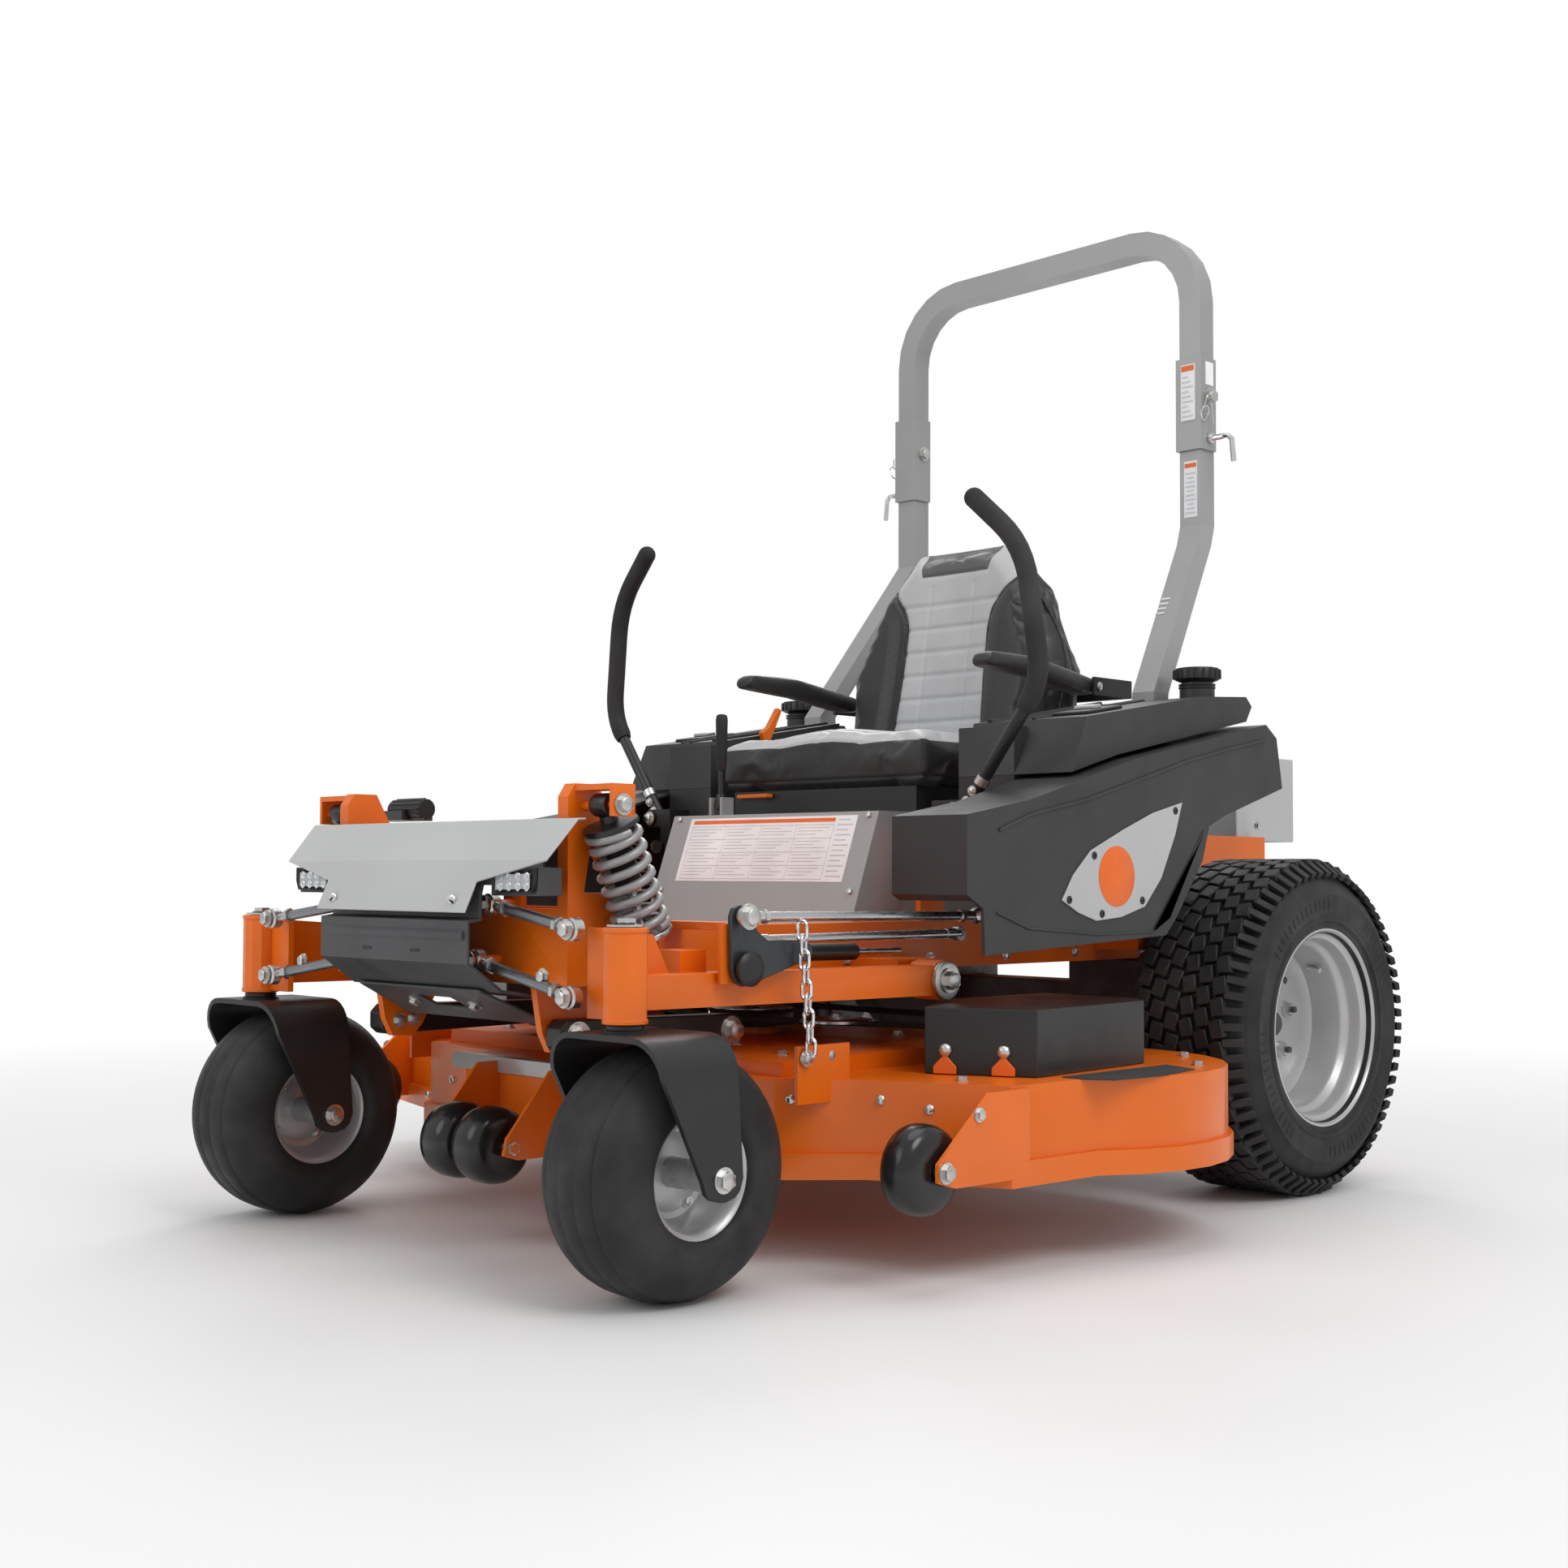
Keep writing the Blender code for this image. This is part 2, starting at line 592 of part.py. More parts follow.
def casters(build):
    swivel = (CASTER_TRACK, CASTER_AXLE_Y - CASTER_TRAIL)
    y, z = CASTER_AXLE_Y, CASTER_RADIUS
    reach = CASTER_WIDTH / 2 + FORK_ROOM + FORK_PLATE
    left, right = CASTER_TRACK - reach, CASTER_TRACK + reach
    top = CASTER_RADIUS * 2 + 0.016
    crown = block((left + 0.001, right - 0.001), (y - 0.110, y + 0.012), (top - FORK_PLATE, top))
    outline = [(y - 0.112, top + 0.001), (y + 0.014, top + 0.001), (y + 0.030, z - 0.005),
               (y + 0.015, z - 0.028),
               (y - 0.015, z - 0.028), (y - 0.032, z - 0.002)]
    legs = [prism(outline, "x", left, left + FORK_PLATE),
            prism(outline, "x", right - FORK_PLATE, right)]
    stem = rod((*swivel, top - 0.004), (*swivel, 0.492), 0.0175, 12)
    boss = rod((*swivel, top - 0.002), (*swivel, 0.3555), 0.026, 12)
    axle = along_x(left - 0.008, right + 0.008, y, z, 0.009)
    build.pair("caster_fork", fuse(crown, *legs, stem, boss, axle), BLACK, (*swivel, top))

    half = CASTER_WIDTH / 2
    rim = CASTER_RIM
    wall = [(0.0105, half + 0.012), (0.022, half + 0.012), (0.024, 0.012), (rim - 0.012, 0.010),
            (rim, half - 0.012), (0.120, half), (0.150, half - 0.012), (z, half - 0.038)]
    tread = [(radius, -along) for radius, along in wall] + wall[::-1]
    build.pair("front_wheel", turned(tread, (CASTER_TRACK, y, z), "x", 20), RUBBER, (CASTER_TRACK, y, z))


# ---- drive ----

def rear_wheels(build):
    half = REAR_WIDTH / 2
    rim = RIM_RADIUS
    shape = [(0, -0.065), (0.045, -0.065), (rim - 0.025, -0.035), (rim, -half + 0.010), (0.215, -half),
             (0.262, -half + 0.008), (REAR_RADIUS, -half + 0.040), (REAR_RADIUS, half - 0.040),
             (0.262, half - 0.008),
             (0.215, half), (rim, half - 0.010), (rim - 0.020, half - 0.014), (rim - 0.028, -0.010),
             (0.045, -0.020), (0.045, 0.005), (0, 0.005)]
    centre = (REAR_TRACK, REAR_AXLE_Y, REAR_RADIUS)
    build.pair("rear_wheel", turned(shape, centre, "x", 24, hollow=False), RUBBER, centre)


def hydro_drive(build):
    y, z = REAR_AXLE_Y, REAR_RADIUS
    middle = block((-0.180, 0.180), (y - 0.045, y + 0.035), (z - 0.010, z + 0.060))
    sides = []
    for side in SIGNS:
        case = block((0.150, 0.330), (y - 0.085, y + 0.080), (z - 0.070, RAIL_BOTTOM - 0.003))
        nose = along_x(0.320, 0.400, y, z, 0.050, 12)
        axle = along_x(0.390, REAR_TRACK - 0.0655 - GAP, y, z, 0.020, 10)
        whole = fuse(case, nose, axle)
        sides.append(whole if side > 0 else mirrored(whole))
    build.add("hydro_drive", fuse(middle, *sides), IRON)


def engine(build):
    floor = RAIL_TOP + 0.001
    middle = (ENGINE_FRONT + ENGINE_REAR) / 2
    block_case = block((-ENGINE_HALF, ENGINE_HALF), (ENGINE_FRONT, ENGINE_REAR), (floor, 0.700))
    blower = rod((0, middle, 0.690), (0, middle, 0.790), 0.150, 20)
    heads = both(block((0.150, 0.235), (middle - 0.02, middle + 0.10), (0.560, 0.680)))
    filter_can = along_x(-0.120, 0.120, middle + 0.175, 0.760, 0.055, 12)
    neck = block((-0.060, 0.060), (middle + 0.090, middle + 0.170), (0.710, 0.760))
    can = block((-0.200, 0.200), (ENGINE_REAR + 0.025, ENGINE_REAR + 0.135), (0.490, 0.590))
    stubs = both(block((0.080, 0.110), (ENGINE_REAR - 0.010, ENGINE_REAR + 0.035), (0.540, 0.570)))
    pipe = sweep([(0.120, ENGINE_REAR + 0.100, 0.560), (0.120, 1.070, 0.560), (0.120, 1.100, 0.545)],
                 0.018)
    build.add("engine", fuse(block_case, blower, *heads, neck, filter_can, can, *stubs, pipe), IRON)


def rear_guard(build):
    outer = block((-GUARD_HALF, GUARD_HALF), (0.930, GUARD_REAR), (GUARD_BOTTOM, GUARD_TOP))
    inner = block((-GUARD_HALF + SHEET, GUARD_HALF - SHEET), (0.900, GUARD_REAR - SHEET),
                  (GUARD_BOTTOM - 0.02, GUARD_TOP + 0.02))
    ears = both(block((GUARD_HALF - 0.004, RAIL_OUTER - 0.0105), (0.935, 0.970),
                      (GUARD_BOTTOM, GUARD_BOTTOM + 0.006)))
    slots = []
    for index in range(5):
        x = -0.160 + index * 0.080
        slots.append(block((x - 0.025, x + 0.025), (1.10, 1.20), (0.690, 0.720)))
    build.add("rear_guard", fuse(cut(outer, inner, *slots), *ears), SILVER)


# ---- deck ----

def deck_outline(grow):
    """The deck seen from above, anticlockwise; grow moves the whole outline outwards."""
    radius = DECK_END_RADIUS + grow
    far = DECK_END + radius
    front = [(-0.175 - grow, -0.600 - grow), (0.175 + grow, -0.600 - grow), (0.215 + grow, -0.525 - grow),
             (0.415 + grow, -0.500 - grow), (0.500 + grow, -0.405 - grow), (0.690 + grow, -0.320 - grow)]
    left = arc((DECK_END, DECK_END_Y), radius, -38, 88, 9)
    skirt = DECK_END_Y + DECK_END_RADIUS - 0.010
    rear = [(0.270, skirt + grow), (-0.270, skirt + grow)]
    right = arc((-DECK_END, DECK_END_Y), radius, 92, 176, 6)
    side = [(-far, CHUTE_FRONT), (-far, CHUTE_FRONT - 0.100 - grow),
            (-0.690 - grow, CHUTE_FRONT - 0.120 - grow), (-0.500 - grow, -0.405 - grow),
            (-0.415 - grow, -0.500 - grow),
            (-0.215 - grow, -0.525 - grow)]
    return front + left + rear + right + side


def crown_outline(grow):
    half = 0.400 + grow
    return [(-half, -0.470 - grow), (half, -0.470 - grow), (half, -0.100), (0.170 + grow, 0.110 + grow),
            (-0.170 - grow, 0.110 + grow), (-half, -0.100)]


def deck(build):
    outer = fuse(prism(deck_outline(0), "z", DECK_BOTTOM, DECK_TOP),
                 prism(crown_outline(0), "z", DECK_BOTTOM + 0.05, DECK_CROWN),
                 prism(deck_outline(RIM_PROUD), "z", DECK_BOTTOM, DECK_BOTTOM + RIM_HEIGHT))
    inner = fuse(prism(deck_outline(-DECK_WALL), "z", DECK_BOTTOM - 0.02, DECK_TOP - DECK_WALL),
                 prism(crown_outline(-DECK_WALL), "z", DECK_BOTTOM + 0.06, DECK_CROWN - DECK_WALL))
    shell = cut(outer, inner)
    far = DECK_END + DECK_END_RADIUS
    mouth = block((-far - 0.05, -far + 0.05), (CHUTE_FRONT + 0.010, CHUTE_REAR - 0.010),
                  (DECK_BOTTOM - 0.05, DECK_TOP - 0.022))
    shell = cut(shell, mouth)
    housings = [rod((DECK_END, DECK_END_Y, DECK_TOP - 0.004),
                    (DECK_END, DECK_END_Y, PULLEY_LEVEL - 0.004), 0.045, 12),
                rod((-DECK_END, DECK_END_Y, DECK_TOP - 0.004),
                    (-DECK_END, DECK_END_Y, PULLEY_LEVEL - 0.004), 0.045, 12),
                rod((0, MID_SPINDLE_Y, DECK_CROWN - 0.004), (0, MID_SPINDLE_Y, PULLEY_LEVEL - 0.004),
                    0.045, 12)]
    brackets = [*both(roller_bracket()), *both(front_roller_bracket()), front_axle(), *chute_ears(),
                *both(chain_tab())]
    bores = [rod((x, y, 0.10), (x, y, 0.40), SHAFT_RADIUS + PLAY + 0.002, 10) for x,
             y in spindle_places().values()]
    build.add("deck_shell", cut(fuse(shell, *housings, *brackets), *bores), ORANGE)


def spindle_places():
    return {"left": (DECK_END, DECK_END_Y), "middle": (0.0, MID_SPINDLE_Y),
            "right": (-DECK_END, DECK_END_Y)}


def roller_bracket():
    outer = ROLLER_X + ROLLER_WIDTH / 2 + 0.014
    outline = [(ROLLER_Y - 0.014, ROLLER_Z - 0.012), (ROLLER_Y - 0.014, ROLLER_Z + 0.012),
               (-0.375, DECK_TOP - 0.004),
               (-0.290, DECK_TOP - 0.004), (-0.290, DECK_BOTTOM + 0.012),
               (ROLLER_Y + 0.02, ROLLER_Z - 0.022)]
    plate = prism(outline, "x", outer - 0.006, outer)
    pin = along_x(ROLLER_X - ROLLER_WIDTH / 2 - 0.006, outer + 0.006, ROLLER_Y, ROLLER_Z, AXLE_PIN)
    return fuse(plate, pin)


def front_roller_bracket():
    inner = FRONT_ROLLER_HALF + 0.010
    y, z = FRONT_ROLLER_Y, FRONT_ROLLER_Z
    outline = [(y - 0.016, z - 0.010), (y - 0.010, z + 0.014), (-0.640, DECK_TOP - 0.002),
               (-0.590, DECK_TOP - 0.002),
               (-0.590, DECK_BOTTOM + 0.010), (y + 0.010, z - 0.018)]
    return prism(outline, "x", inner, inner + 0.006)


def front_axle():
    half = FRONT_ROLLER_HALF + 0.022
    return along_x(-half, half, FRONT_ROLLER_Y, FRONT_ROLLER_Z, AXLE_PIN)


def chain_tab():
    x = CRANK_INNER + CRANK_THICKNESS / 2
    y = chain_y()
    return block((x - 0.006, x), (y - 0.014, y + 0.090), (DECK_TOP - 0.030, CHAIN_BOTTOM + 0.012))


def chain_y():
    return CRANK_PIVOT[0] + CRANK_REACH * math.cos(CRANK_TIP_ANGLE)


def chute_line():
    return -(DECK_END + DECK_END_RADIUS) - RIM_PROUD - 0.010, DECK_TOP - 0.009


def chute_ears():
    x, z = chute_line()
    ears = []
    for start, end in ((CHUTE_FRONT - 0.008, CHUTE_FRONT - 0.001),
                       (CHUTE_REAR + 0.001, CHUTE_REAR + 0.008)):
        ears.append(block((x - 0.008, x + 0.026), (start, end), (z - 0.008, z + 0.008)))
    ears.append(rod((x, CHUTE_FRONT - 0.005, z), (x, CHUTE_FRONT + 0.020, z), 0.004, 8))
    ears.append(rod((x, CHUTE_REAR - 0.020, z), (x, CHUTE_REAR + 0.005, z), 0.004, 8))
    return ears


def chute(build):
    x, z = chute_line()
    tip = x - CHUTE_REACH
    top = [(x - 0.004, z + 0.003), (x - 0.080, z + 0.010), (tip + 0.045, z - 0.020),
           (tip, DECK_BOTTOM + 0.020)]
    bottom = [(px + 0.006, pz - 0.005) for px, pz in reversed(top)]
    plate = prism(top + bottom, "y", CHUTE_FRONT + 0.002, CHUTE_REAR - 0.002)
    knuckle = rod((x, CHUTE_FRONT + GAP, z), (x, CHUTE_REAR - GAP, z), 0.0085, 12)
    bore = rod((x, CHUTE_FRONT - 0.02, z), (x, CHUTE_REAR + 0.02, z), 0.0055, 10)
    build.add("chute", cut(fuse(plate, knuckle), bore), RUBBER, (x, (CHUTE_FRONT + CHUTE_REAR) / 2, z))


def belt_covers(build):
    outline = [(0.402, -0.110), (0.500, -0.280), (0.650, -0.210), (0.628, 0.085), (0.585, 0.130),
               (0.402, 0.130)]
    inset = [(0.390, -0.081), (0.502, -0.275), (0.646, -0.208), (0.624, 0.083), (0.583, 0.126),
             (0.390, 0.126)]
    shell = cut(prism(outline, "z", DECK_TOP + GAP, COVER_TOP),
                prism(inset, "z", DECK_TOP - 0.05, COVER_TOP - SHEET + 0.001))
    build.pair("belt_cover", shell, BLACK)


def spindles(build):
    for name, (x, y) in spindle_places().items():
        shaft = rod((x, y, BLADE_LEVEL - 0.012), (x, y, PULLEY_LEVEL + PULLEY_HEIGHT + 0.010),
                    SHAFT_RADIUS, 12)
        blade = block((x - BLADE_LENGTH / 2, x + BLADE_LENGTH / 2), (y - 0.030, y + 0.030),
                      (BLADE_LEVEL, BLADE_LEVEL + 0.006))
        swept = rod((x, y, BLADE_LEVEL - 0.05), (x, y, BLADE_LEVEL + 0.05), BLADE_LENGTH / 2, 32)
        level, height = PULLEY_LEVEL, PULLEY_HEIGHT
        wheel = [(0, 0), (PULLEY_RADIUS + 0.008, 0), (PULLEY_RADIUS, 0.006),
                 (PULLEY_RADIUS, height - 0.006),
                 (PULLEY_RADIUS + 0.008, height), (0, height)]
        pulley = turned(wheel, (x, y, level), "z", 16, hollow=False)
        build.add("blade_spindle_" + name, fuse(shared(blade, swept), shaft, pulley), STEEL,
                  (x, y, level))


def belt_loop(radius):
    """Outline of a belt of the given wrap radius round the three spindle pulleys."""
    lean = math.degrees(math.atan2(DECK_END_Y - MID_SPINDLE_Y, DECK_END))
    loop = arc((0, MID_SPINDLE_Y), radius, 270 - lean, 270 + lean, 4)
    loop += arc((DECK_END, DECK_END_Y), radius, -90 + lean, 90, 10)
    loop += arc((-DECK_END, DECK_END_Y), radius, 90, 270 - lean, 10)
    return loop


def drive_belt(build):
    low = PULLEY_LEVEL + 0.0075
    high = PULLEY_LEVEL + PULLEY_HEIGHT - 0.0075
    wrap = PULLEY_RADIUS + 0.0015
    band = cut(prism(belt_loop(wrap + BELT_WIDTH), "z", low, high),
               prism(belt_loop(wrap), "z", low - 0.01, high + 0.01))
    build.add("drive_belt", band, RUBBER)


def rollers(build):
    half = ROLLER_WIDTH / 2
    bore = AXLE_PIN + PLAY
    outer = ROLLER_RADIUS
    shape = [(bore, -half), (0.030, -half), (outer - 0.014, -half + 0.002), (outer, -0.012),
             (outer, 0.012),
             (outer - 0.014, half - 0.002), (0.030, half), (0.026, half - 0.014), (bore, half - 0.014)]
    centre = (ROLLER_X, ROLLER_Y, ROLLER_Z)
    build.pair("roller", turned(shape, centre, "x", 16), BLACK, centre)

    half, outer = FRONT_ROLLER_HALF, FRONT_ROLLER_RADIUS
    lobe = [(outer - 0.016, 0.004), (outer - 0.003, 0.018), (outer, half / 2),
            (outer - 0.003, half - 0.016),
            (outer - 0.018, half - 0.002)]
    mirror_lobe = [(radius, -along) for radius, along in reversed(lobe)]
    shape = [(bore, -half)] + mirror_lobe + lobe + [(bore, half)]
    centre = (0, FRONT_ROLLER_Y, FRONT_ROLLER_Z)
    build.add("roller_front", turned(shape, centre, "x", 16), BLACK, centre)


# ---- deck lift ----

def lift_cranks(build):
    y, z = CRANK_PIVOT
    tip_y = chain_y()
    tip_z = z + CRANK_REACH * math.sin(CRANK_TIP_ANGLE)
    top_y, top_z = ROD_JOINT
    outline = (arc((y, z), 0.024, 180, 290, 4) + arc((tip_y, tip_z), 0.012, -80, 100, 4)
               + [(y + 0.045, z + 0.036), (y + 0.026, z + 0.048)] + arc((top_y, top_z), 0.016, 0, 180, 4))
    plate = prism(outline, "x", CRANK_INNER, CRANK_INNER + CRANK_THICKNESS)
    bore = along_x(0.40, 0.55, y, z, CRANK_BOLT + PLAY, 10)
    joint = along_x(CRANK_INNER + 0.002, CRANK_INNER + CRANK_THICKNESS + 0.016, top_y, top_z, 0.006, 10)
    left = cut(fuse(plate, joint), bore)
    right = mirrored(cut(prism(outline, "x", CRANK_INNER, CRANK_INNER + CRANK_THICKNESS),
                         along_x(0.40, 0.55, y, z, CRANK_BOLT + PLAY, 10)))
    middle = -CRANK_INNER - CRANK_THICKNESS / 2
    arm = sweep([(middle, top_y, top_z - 0.012), (middle, top_y, 0.560), (middle + 0.055, top_y, 0.595),
                 (middle + 0.070, top_y, 0.640)], 0.007)
    pad = block((middle + 0.045, middle + 0.150), (top_y - 0.008, top_y + 0.052), (0.634, 0.650))
    build.add("lift_crank_left", left, BLACK, (CRANK_INNER, y, z))
    build.add("lift_crank_right", fuse(right, arm, pad), BLACK, (-CRANK_INNER, y, z))


def lift_rod(build):
    y, z = ROD_JOINT
    x = CRANK_INNER + CRANK_THICKNESS + 0.010
    eye = ring((x, y, z), "x", 0.006, 0.013, 0.006 + PLAY, 10)
    bar = rod((x, y + 0.0105, z), (x, ROD_REAR, z - 0.004), ROD_RADIUS, 10)
    end = along_x(x - 0.006, x + 0.006, ROD_REAR, z - 0.004, 0.012, 12)
    build.add("lift_rod", fuse(bar, eye, end), STEEL, (x, y, z))


# ---- operator's place ----

def seat_riser(build):
    floor = RAIL_TOP - 0.012 + PAN_THICKNESS + GAP
    top, wall = RISER_TOP, COVER_SHEET
    slope = (RISER_FRONT - RISER_FOOT) / (top - floor)
    outer = prism([(RISER_FOOT, floor), (RISER_FRONT, top), (RISER_REAR, top), (RISER_REAR, floor)], "x",
                  -RISER_HALF, RISER_HALF)
    low = RISER_FOOT + wall - 0.02 * slope
    inner = prism([(low, floor - 0.02), (RISER_FRONT + wall - wall * slope, top - wall),
                   (RISER_REAR - wall, top - wall),
                   (RISER_REAR - wall, floor - 0.02)], "x", -RISER_HALF + wall, RISER_HALF - wall)
    y, z = BRAKE_PIVOT
    cheeks = [block((BRAKE_X + off - 0.003, BRAKE_X + off + 0.003), (y - 0.014, y + 0.014),
                    (top - 0.001, z + 0.012))
              for off in (-0.014, 0.014)]
    pin = along_x(BRAKE_X - 0.016, BRAKE_X + 0.016, y, z, 0.004, 10)
    build.add("seat_riser", fuse(cut(outer, inner), *cheeks, pin), SILVER)


def brake_lever(build):
    y, z = BRAKE_PIVOT
    eye = along_x(BRAKE_X - 0.009, BRAKE_X + 0.009, y, z, 0.010, 10)
    stem = rod((BRAKE_X, y, z + 0.004), (BRAKE_X, y, 0.745), 0.006, 10)
    grip = rod((BRAKE_X, y, 0.740), (BRAKE_X, y, 0.832), 0.011, 12)
    bore = along_x(BRAKE_X - 0.05, BRAKE_X + 0.05, y, z, 0.0055, 12)
    build.add("brake_lever", cut(fuse(stem, eye, grip), bore), BLACK, (BRAKE_X, y, z))


def seat(build):
    rear = SEAT_FRONT + SEAT_DEPTH
    pan = block((-0.220, 0.220), (SEAT_FRONT + 0.020, 0.500), (RISER_TOP + PLAY, SEAT_PAN_TOP))
    spine = block((-0.090, 0.090), (0.482, 0.500), (RISER_TOP + 0.010, 0.980))
    y, z = ARMREST_PIVOT
    inner = SEAT_HALF + ARMREST_GAP
    outer = inner + ARMREST_WIDTH
    bar = block((-outer - 0.008, outer + 0.008), (0.482, 0.500), (z - 0.016, z + 0.016))
    tabs = both(block((outer + 0.002, outer + 0.008), (y - 0.014, 0.499), (z - 0.016, z + 0.016)))
    pins = both(along_x(outer - 0.020, outer + 0.005, y, z, 0.005, 10))
    build.add("seat_base", fuse(pan, spine, bar, *tabs, *pins), BLACK)
    cushion = block((-SEAT_HALF, SEAT_HALF), (SEAT_FRONT, rear), (SEAT_PAN_TOP + PLAY, CUSHION_TOP))
    build.add("seat_cushion", cushion, VINYL)
    profile = [(rear + 0.006, SEAT_PAN_TOP + 0.004), (rear + 0.006, CUSHION_TOP), (0.398, BACK_TOP),
               (0.445, BACK_TOP),
               (0.472, 1.060), (0.476, SEAT_PAN_TOP + 0.004)]
    half = [(SEAT_HALF - 0.007, 0.700), (SEAT_HALF, 0.930), (SEAT_HALF - 0.065, 1.095),
            (SEAT_HALF - 0.137, BACK_TOP)]
    front = [(-x, height) for x, height in half] + half[::-1]
    back = shared(prism(profile, "x", -0.30, 0.30), prism(front, "y", 0.20, 0.60))
    build.add("seat_back", back, VINYL)
    rest = prism([(0.105, 0.897), (0.100, 0.912), (0.112, 0.928), (0.235, 0.928), (y + 0.014, z + 0.016),
                  (y + 0.016, z - 0.012), (y - 0.010, z - 0.018), (0.220, 0.892)], "x", inner, outer)
    bore = along_x(outer - 0.022, outer + 0.05, y, z, 0.0065, 12)
    build.pair("armrest", cut(rest, bore), VINYL, (inner, y, z))


def levers(build):
    y, z = HUB_PIVOT
    x, top = SWING_PIVOT
    collar = along_x(0.304, 0.334, y, z, 0.022, 12)
    post = block((0.316, 0.342), (LEVER_PLANE - 0.024, LEVER_PLANE + 0.024), (z + 0.005, top + 0.016))
    cheeks = [block((0.318, x + 0.012), (LEVER_PLANE + low, LEVER_PLANE + high),
                    (top - 0.016, top + 0.016))
              for low, high in ((-0.024, -0.0125), (0.0125, 0.024))]
    pin = rod((x, LEVER_PLANE - 0.028, top), (x, LEVER_PLANE + 0.028, top), 0.006, 12)
    bore = along_x(0.28, 0.36, y, z, 0.0095, 10)
    build.pair("lever_hub", cut(fuse(collar, post, *cheeks, pin), bore), BLACK, (0.320, y, z))

    knee, bend, tip = (0.513, -0.021, 0.850), (0.486, -0.029, 1.063), (0.392, -0.042, 1.152)
    base = (x, LEVER_PLANE, top)
    lower = sweep([base, knee], BAR_RADIUS)
    start = tuple(Vector(knee) + (Vector(base) - Vector(knee)) * 0.14)
    grip = sweep([start, knee, bend, tip], GRIP_RADIUS)
    eye = rod((x, LEVER_PLANE - 0.011, top), (x, LEVER_PLANE + 0.011, top), 0.015, 10)
    bore = rod((x, -0.2, top), (x, 0.2, top), 0.0075, 12)
    build.pair("lap_bar", cut(fuse(lower, grip, eye), bore), BLACK, base)


# ---- bodywork ----

def fender_top(y):
    """Height of the fender's upper edge at y."""
    line = [(-0.262, 0.636), (-0.114, 0.662), (0.157, 0.735), (0.547, 0.812)]
    for (a, low), (b, high) in zip(line, line[1:]):
        if y <= b:
            return low + (high - low) * (y - a) / (b - a)
    return line[-1][1]


def fender_outline():
    top = [(y, fender_top(y)) for y in (-0.262, -0.114, 0.157, 0.547)]
    arch = []
    for angle, room in FENDER_ARCH:
        reach = REAR_RADIUS + room
        arch.append((REAR_AXLE_Y + reach * math.cos(math.radians(angle)),
                     REAR_RADIUS + reach * math.sin(math.radians(angle))))
    return [(-0.221, 0.432), (-0.225, 0.500), (-0.262, 0.520)] + top + [
        (0.581, 0.790), (0.599, 0.703), (0.416, 0.651)] + arch


def inset(outline, distance):
    """The outline moved inwards by a distance, corner by corner; it runs anticlockwise or clockwise."""
    corners = [Vector(point) for point in outline]
    area = sum(a.x * b.y - b.x * a.y for a, b in zip(corners, corners[1:] + corners[:1]))
    inward = distance if area > 0 else -distance
    moved = []
    for before, here, after in zip(corners[-1:] + corners[:-1], corners, corners[1:] + corners[:1]):
        first = (here - before).normalized()
        second = (after - here).normalized()
        normals = Vector((-first.y, first.x)) + Vector((-second.y, second.x))
        moved.append(tuple(here + normals * inward * 2 / normals.length_squared))
    return moved


def fenders(build):
    outline = fender_outline()
    shell = cut(prism(outline, "x", FENDER_INNER, FENDER_OUTER),
                prism(inset(outline, FENDER_WALL), "x", FENDER_INNER - 0.05, FENDER_OUTER - FENDER_WALL))
    under = block((FENDER_INNER - 0.01, FENDER_OUTER - FENDER_WALL - 0.001), (-0.245, 0.330),
                  (0.420, 0.517))
    build.pair("fender", cut(shell, under), PLASTIC)


def fuel_tanks(build):
    clear = 0.008
    low = [(TANK_FRONT, fender_top(TANK_FRONT) + clear), (0.157, fender_top(0.157) + clear),
           (0.540, fender_top(0.540) + clear)]
    high = [(0.558, 0.846), (0.540, 0.862), (0.400, 0.853), (TANK_FRONT + 0.040, 0.800)]
    upper = prism(low + high, "x", TANK_INNER, TANK_OUTER)
    notch = block((TANK_INNER - 0.01, POST_KNEE_X + TUBE / 2 + 0.008), (TANK_SPLIT, 0.70), (0.5, 1.0))
    lower = block((TANK_INNER, FENDER_INNER - 0.005), (TANK_FRONT + 0.001, TANK_SPLIT - 0.001),
                  (0.560, 0.790))
    x, y = CAP_CENTRE
    neck = rod((x, y, 0.830), (x, y, NECK_TOP), NECK_RADIUS, 12)
    build.pair("fuel_tank", fuse(cut(upper, notch), lower, neck), PLASTIC)
    cap = [(0, 0), (CAP_RADIUS - 0.008, 0), (CAP_RADIUS - 0.008, 0.012), (CAP_RADIUS, 0.014),
           (CAP_RADIUS, 0.034),
           (CAP_RADIUS - 0.004, 0.038), (0, 0.038)]
    build.pair("fuel_cap", turned(cap, (x, y, NECK_TOP + GAP), "z", 14, hollow=False), BLACK,
               (x, y, NECK_TOP))


# ---- roll bar ----

def post_segment(lower, upper, half):
    """A square tube between two centres that keeps its section level."""
    bm = bmesh.new()
    rings = []
    for x, y, z in (lower, upper):
        rings.append([bm.verts.new((x + dx * half, y + dy * half, z)) for dx,
                      dy in ((-1, -1), (1, -1), (1, 1), (-1, 1))])
    for index in range(4):
        bm.faces.new((rings[0][index], rings[0][(index + 1) % 4], rings[1][(index + 1) % 4],
                      rings[1][index]))
    bm.faces.new(rings[0][::-1])
    bm.faces.new(rings[1])
    bmesh.ops.recalc_face_normals(bm, faces=bm.faces)
    return bm


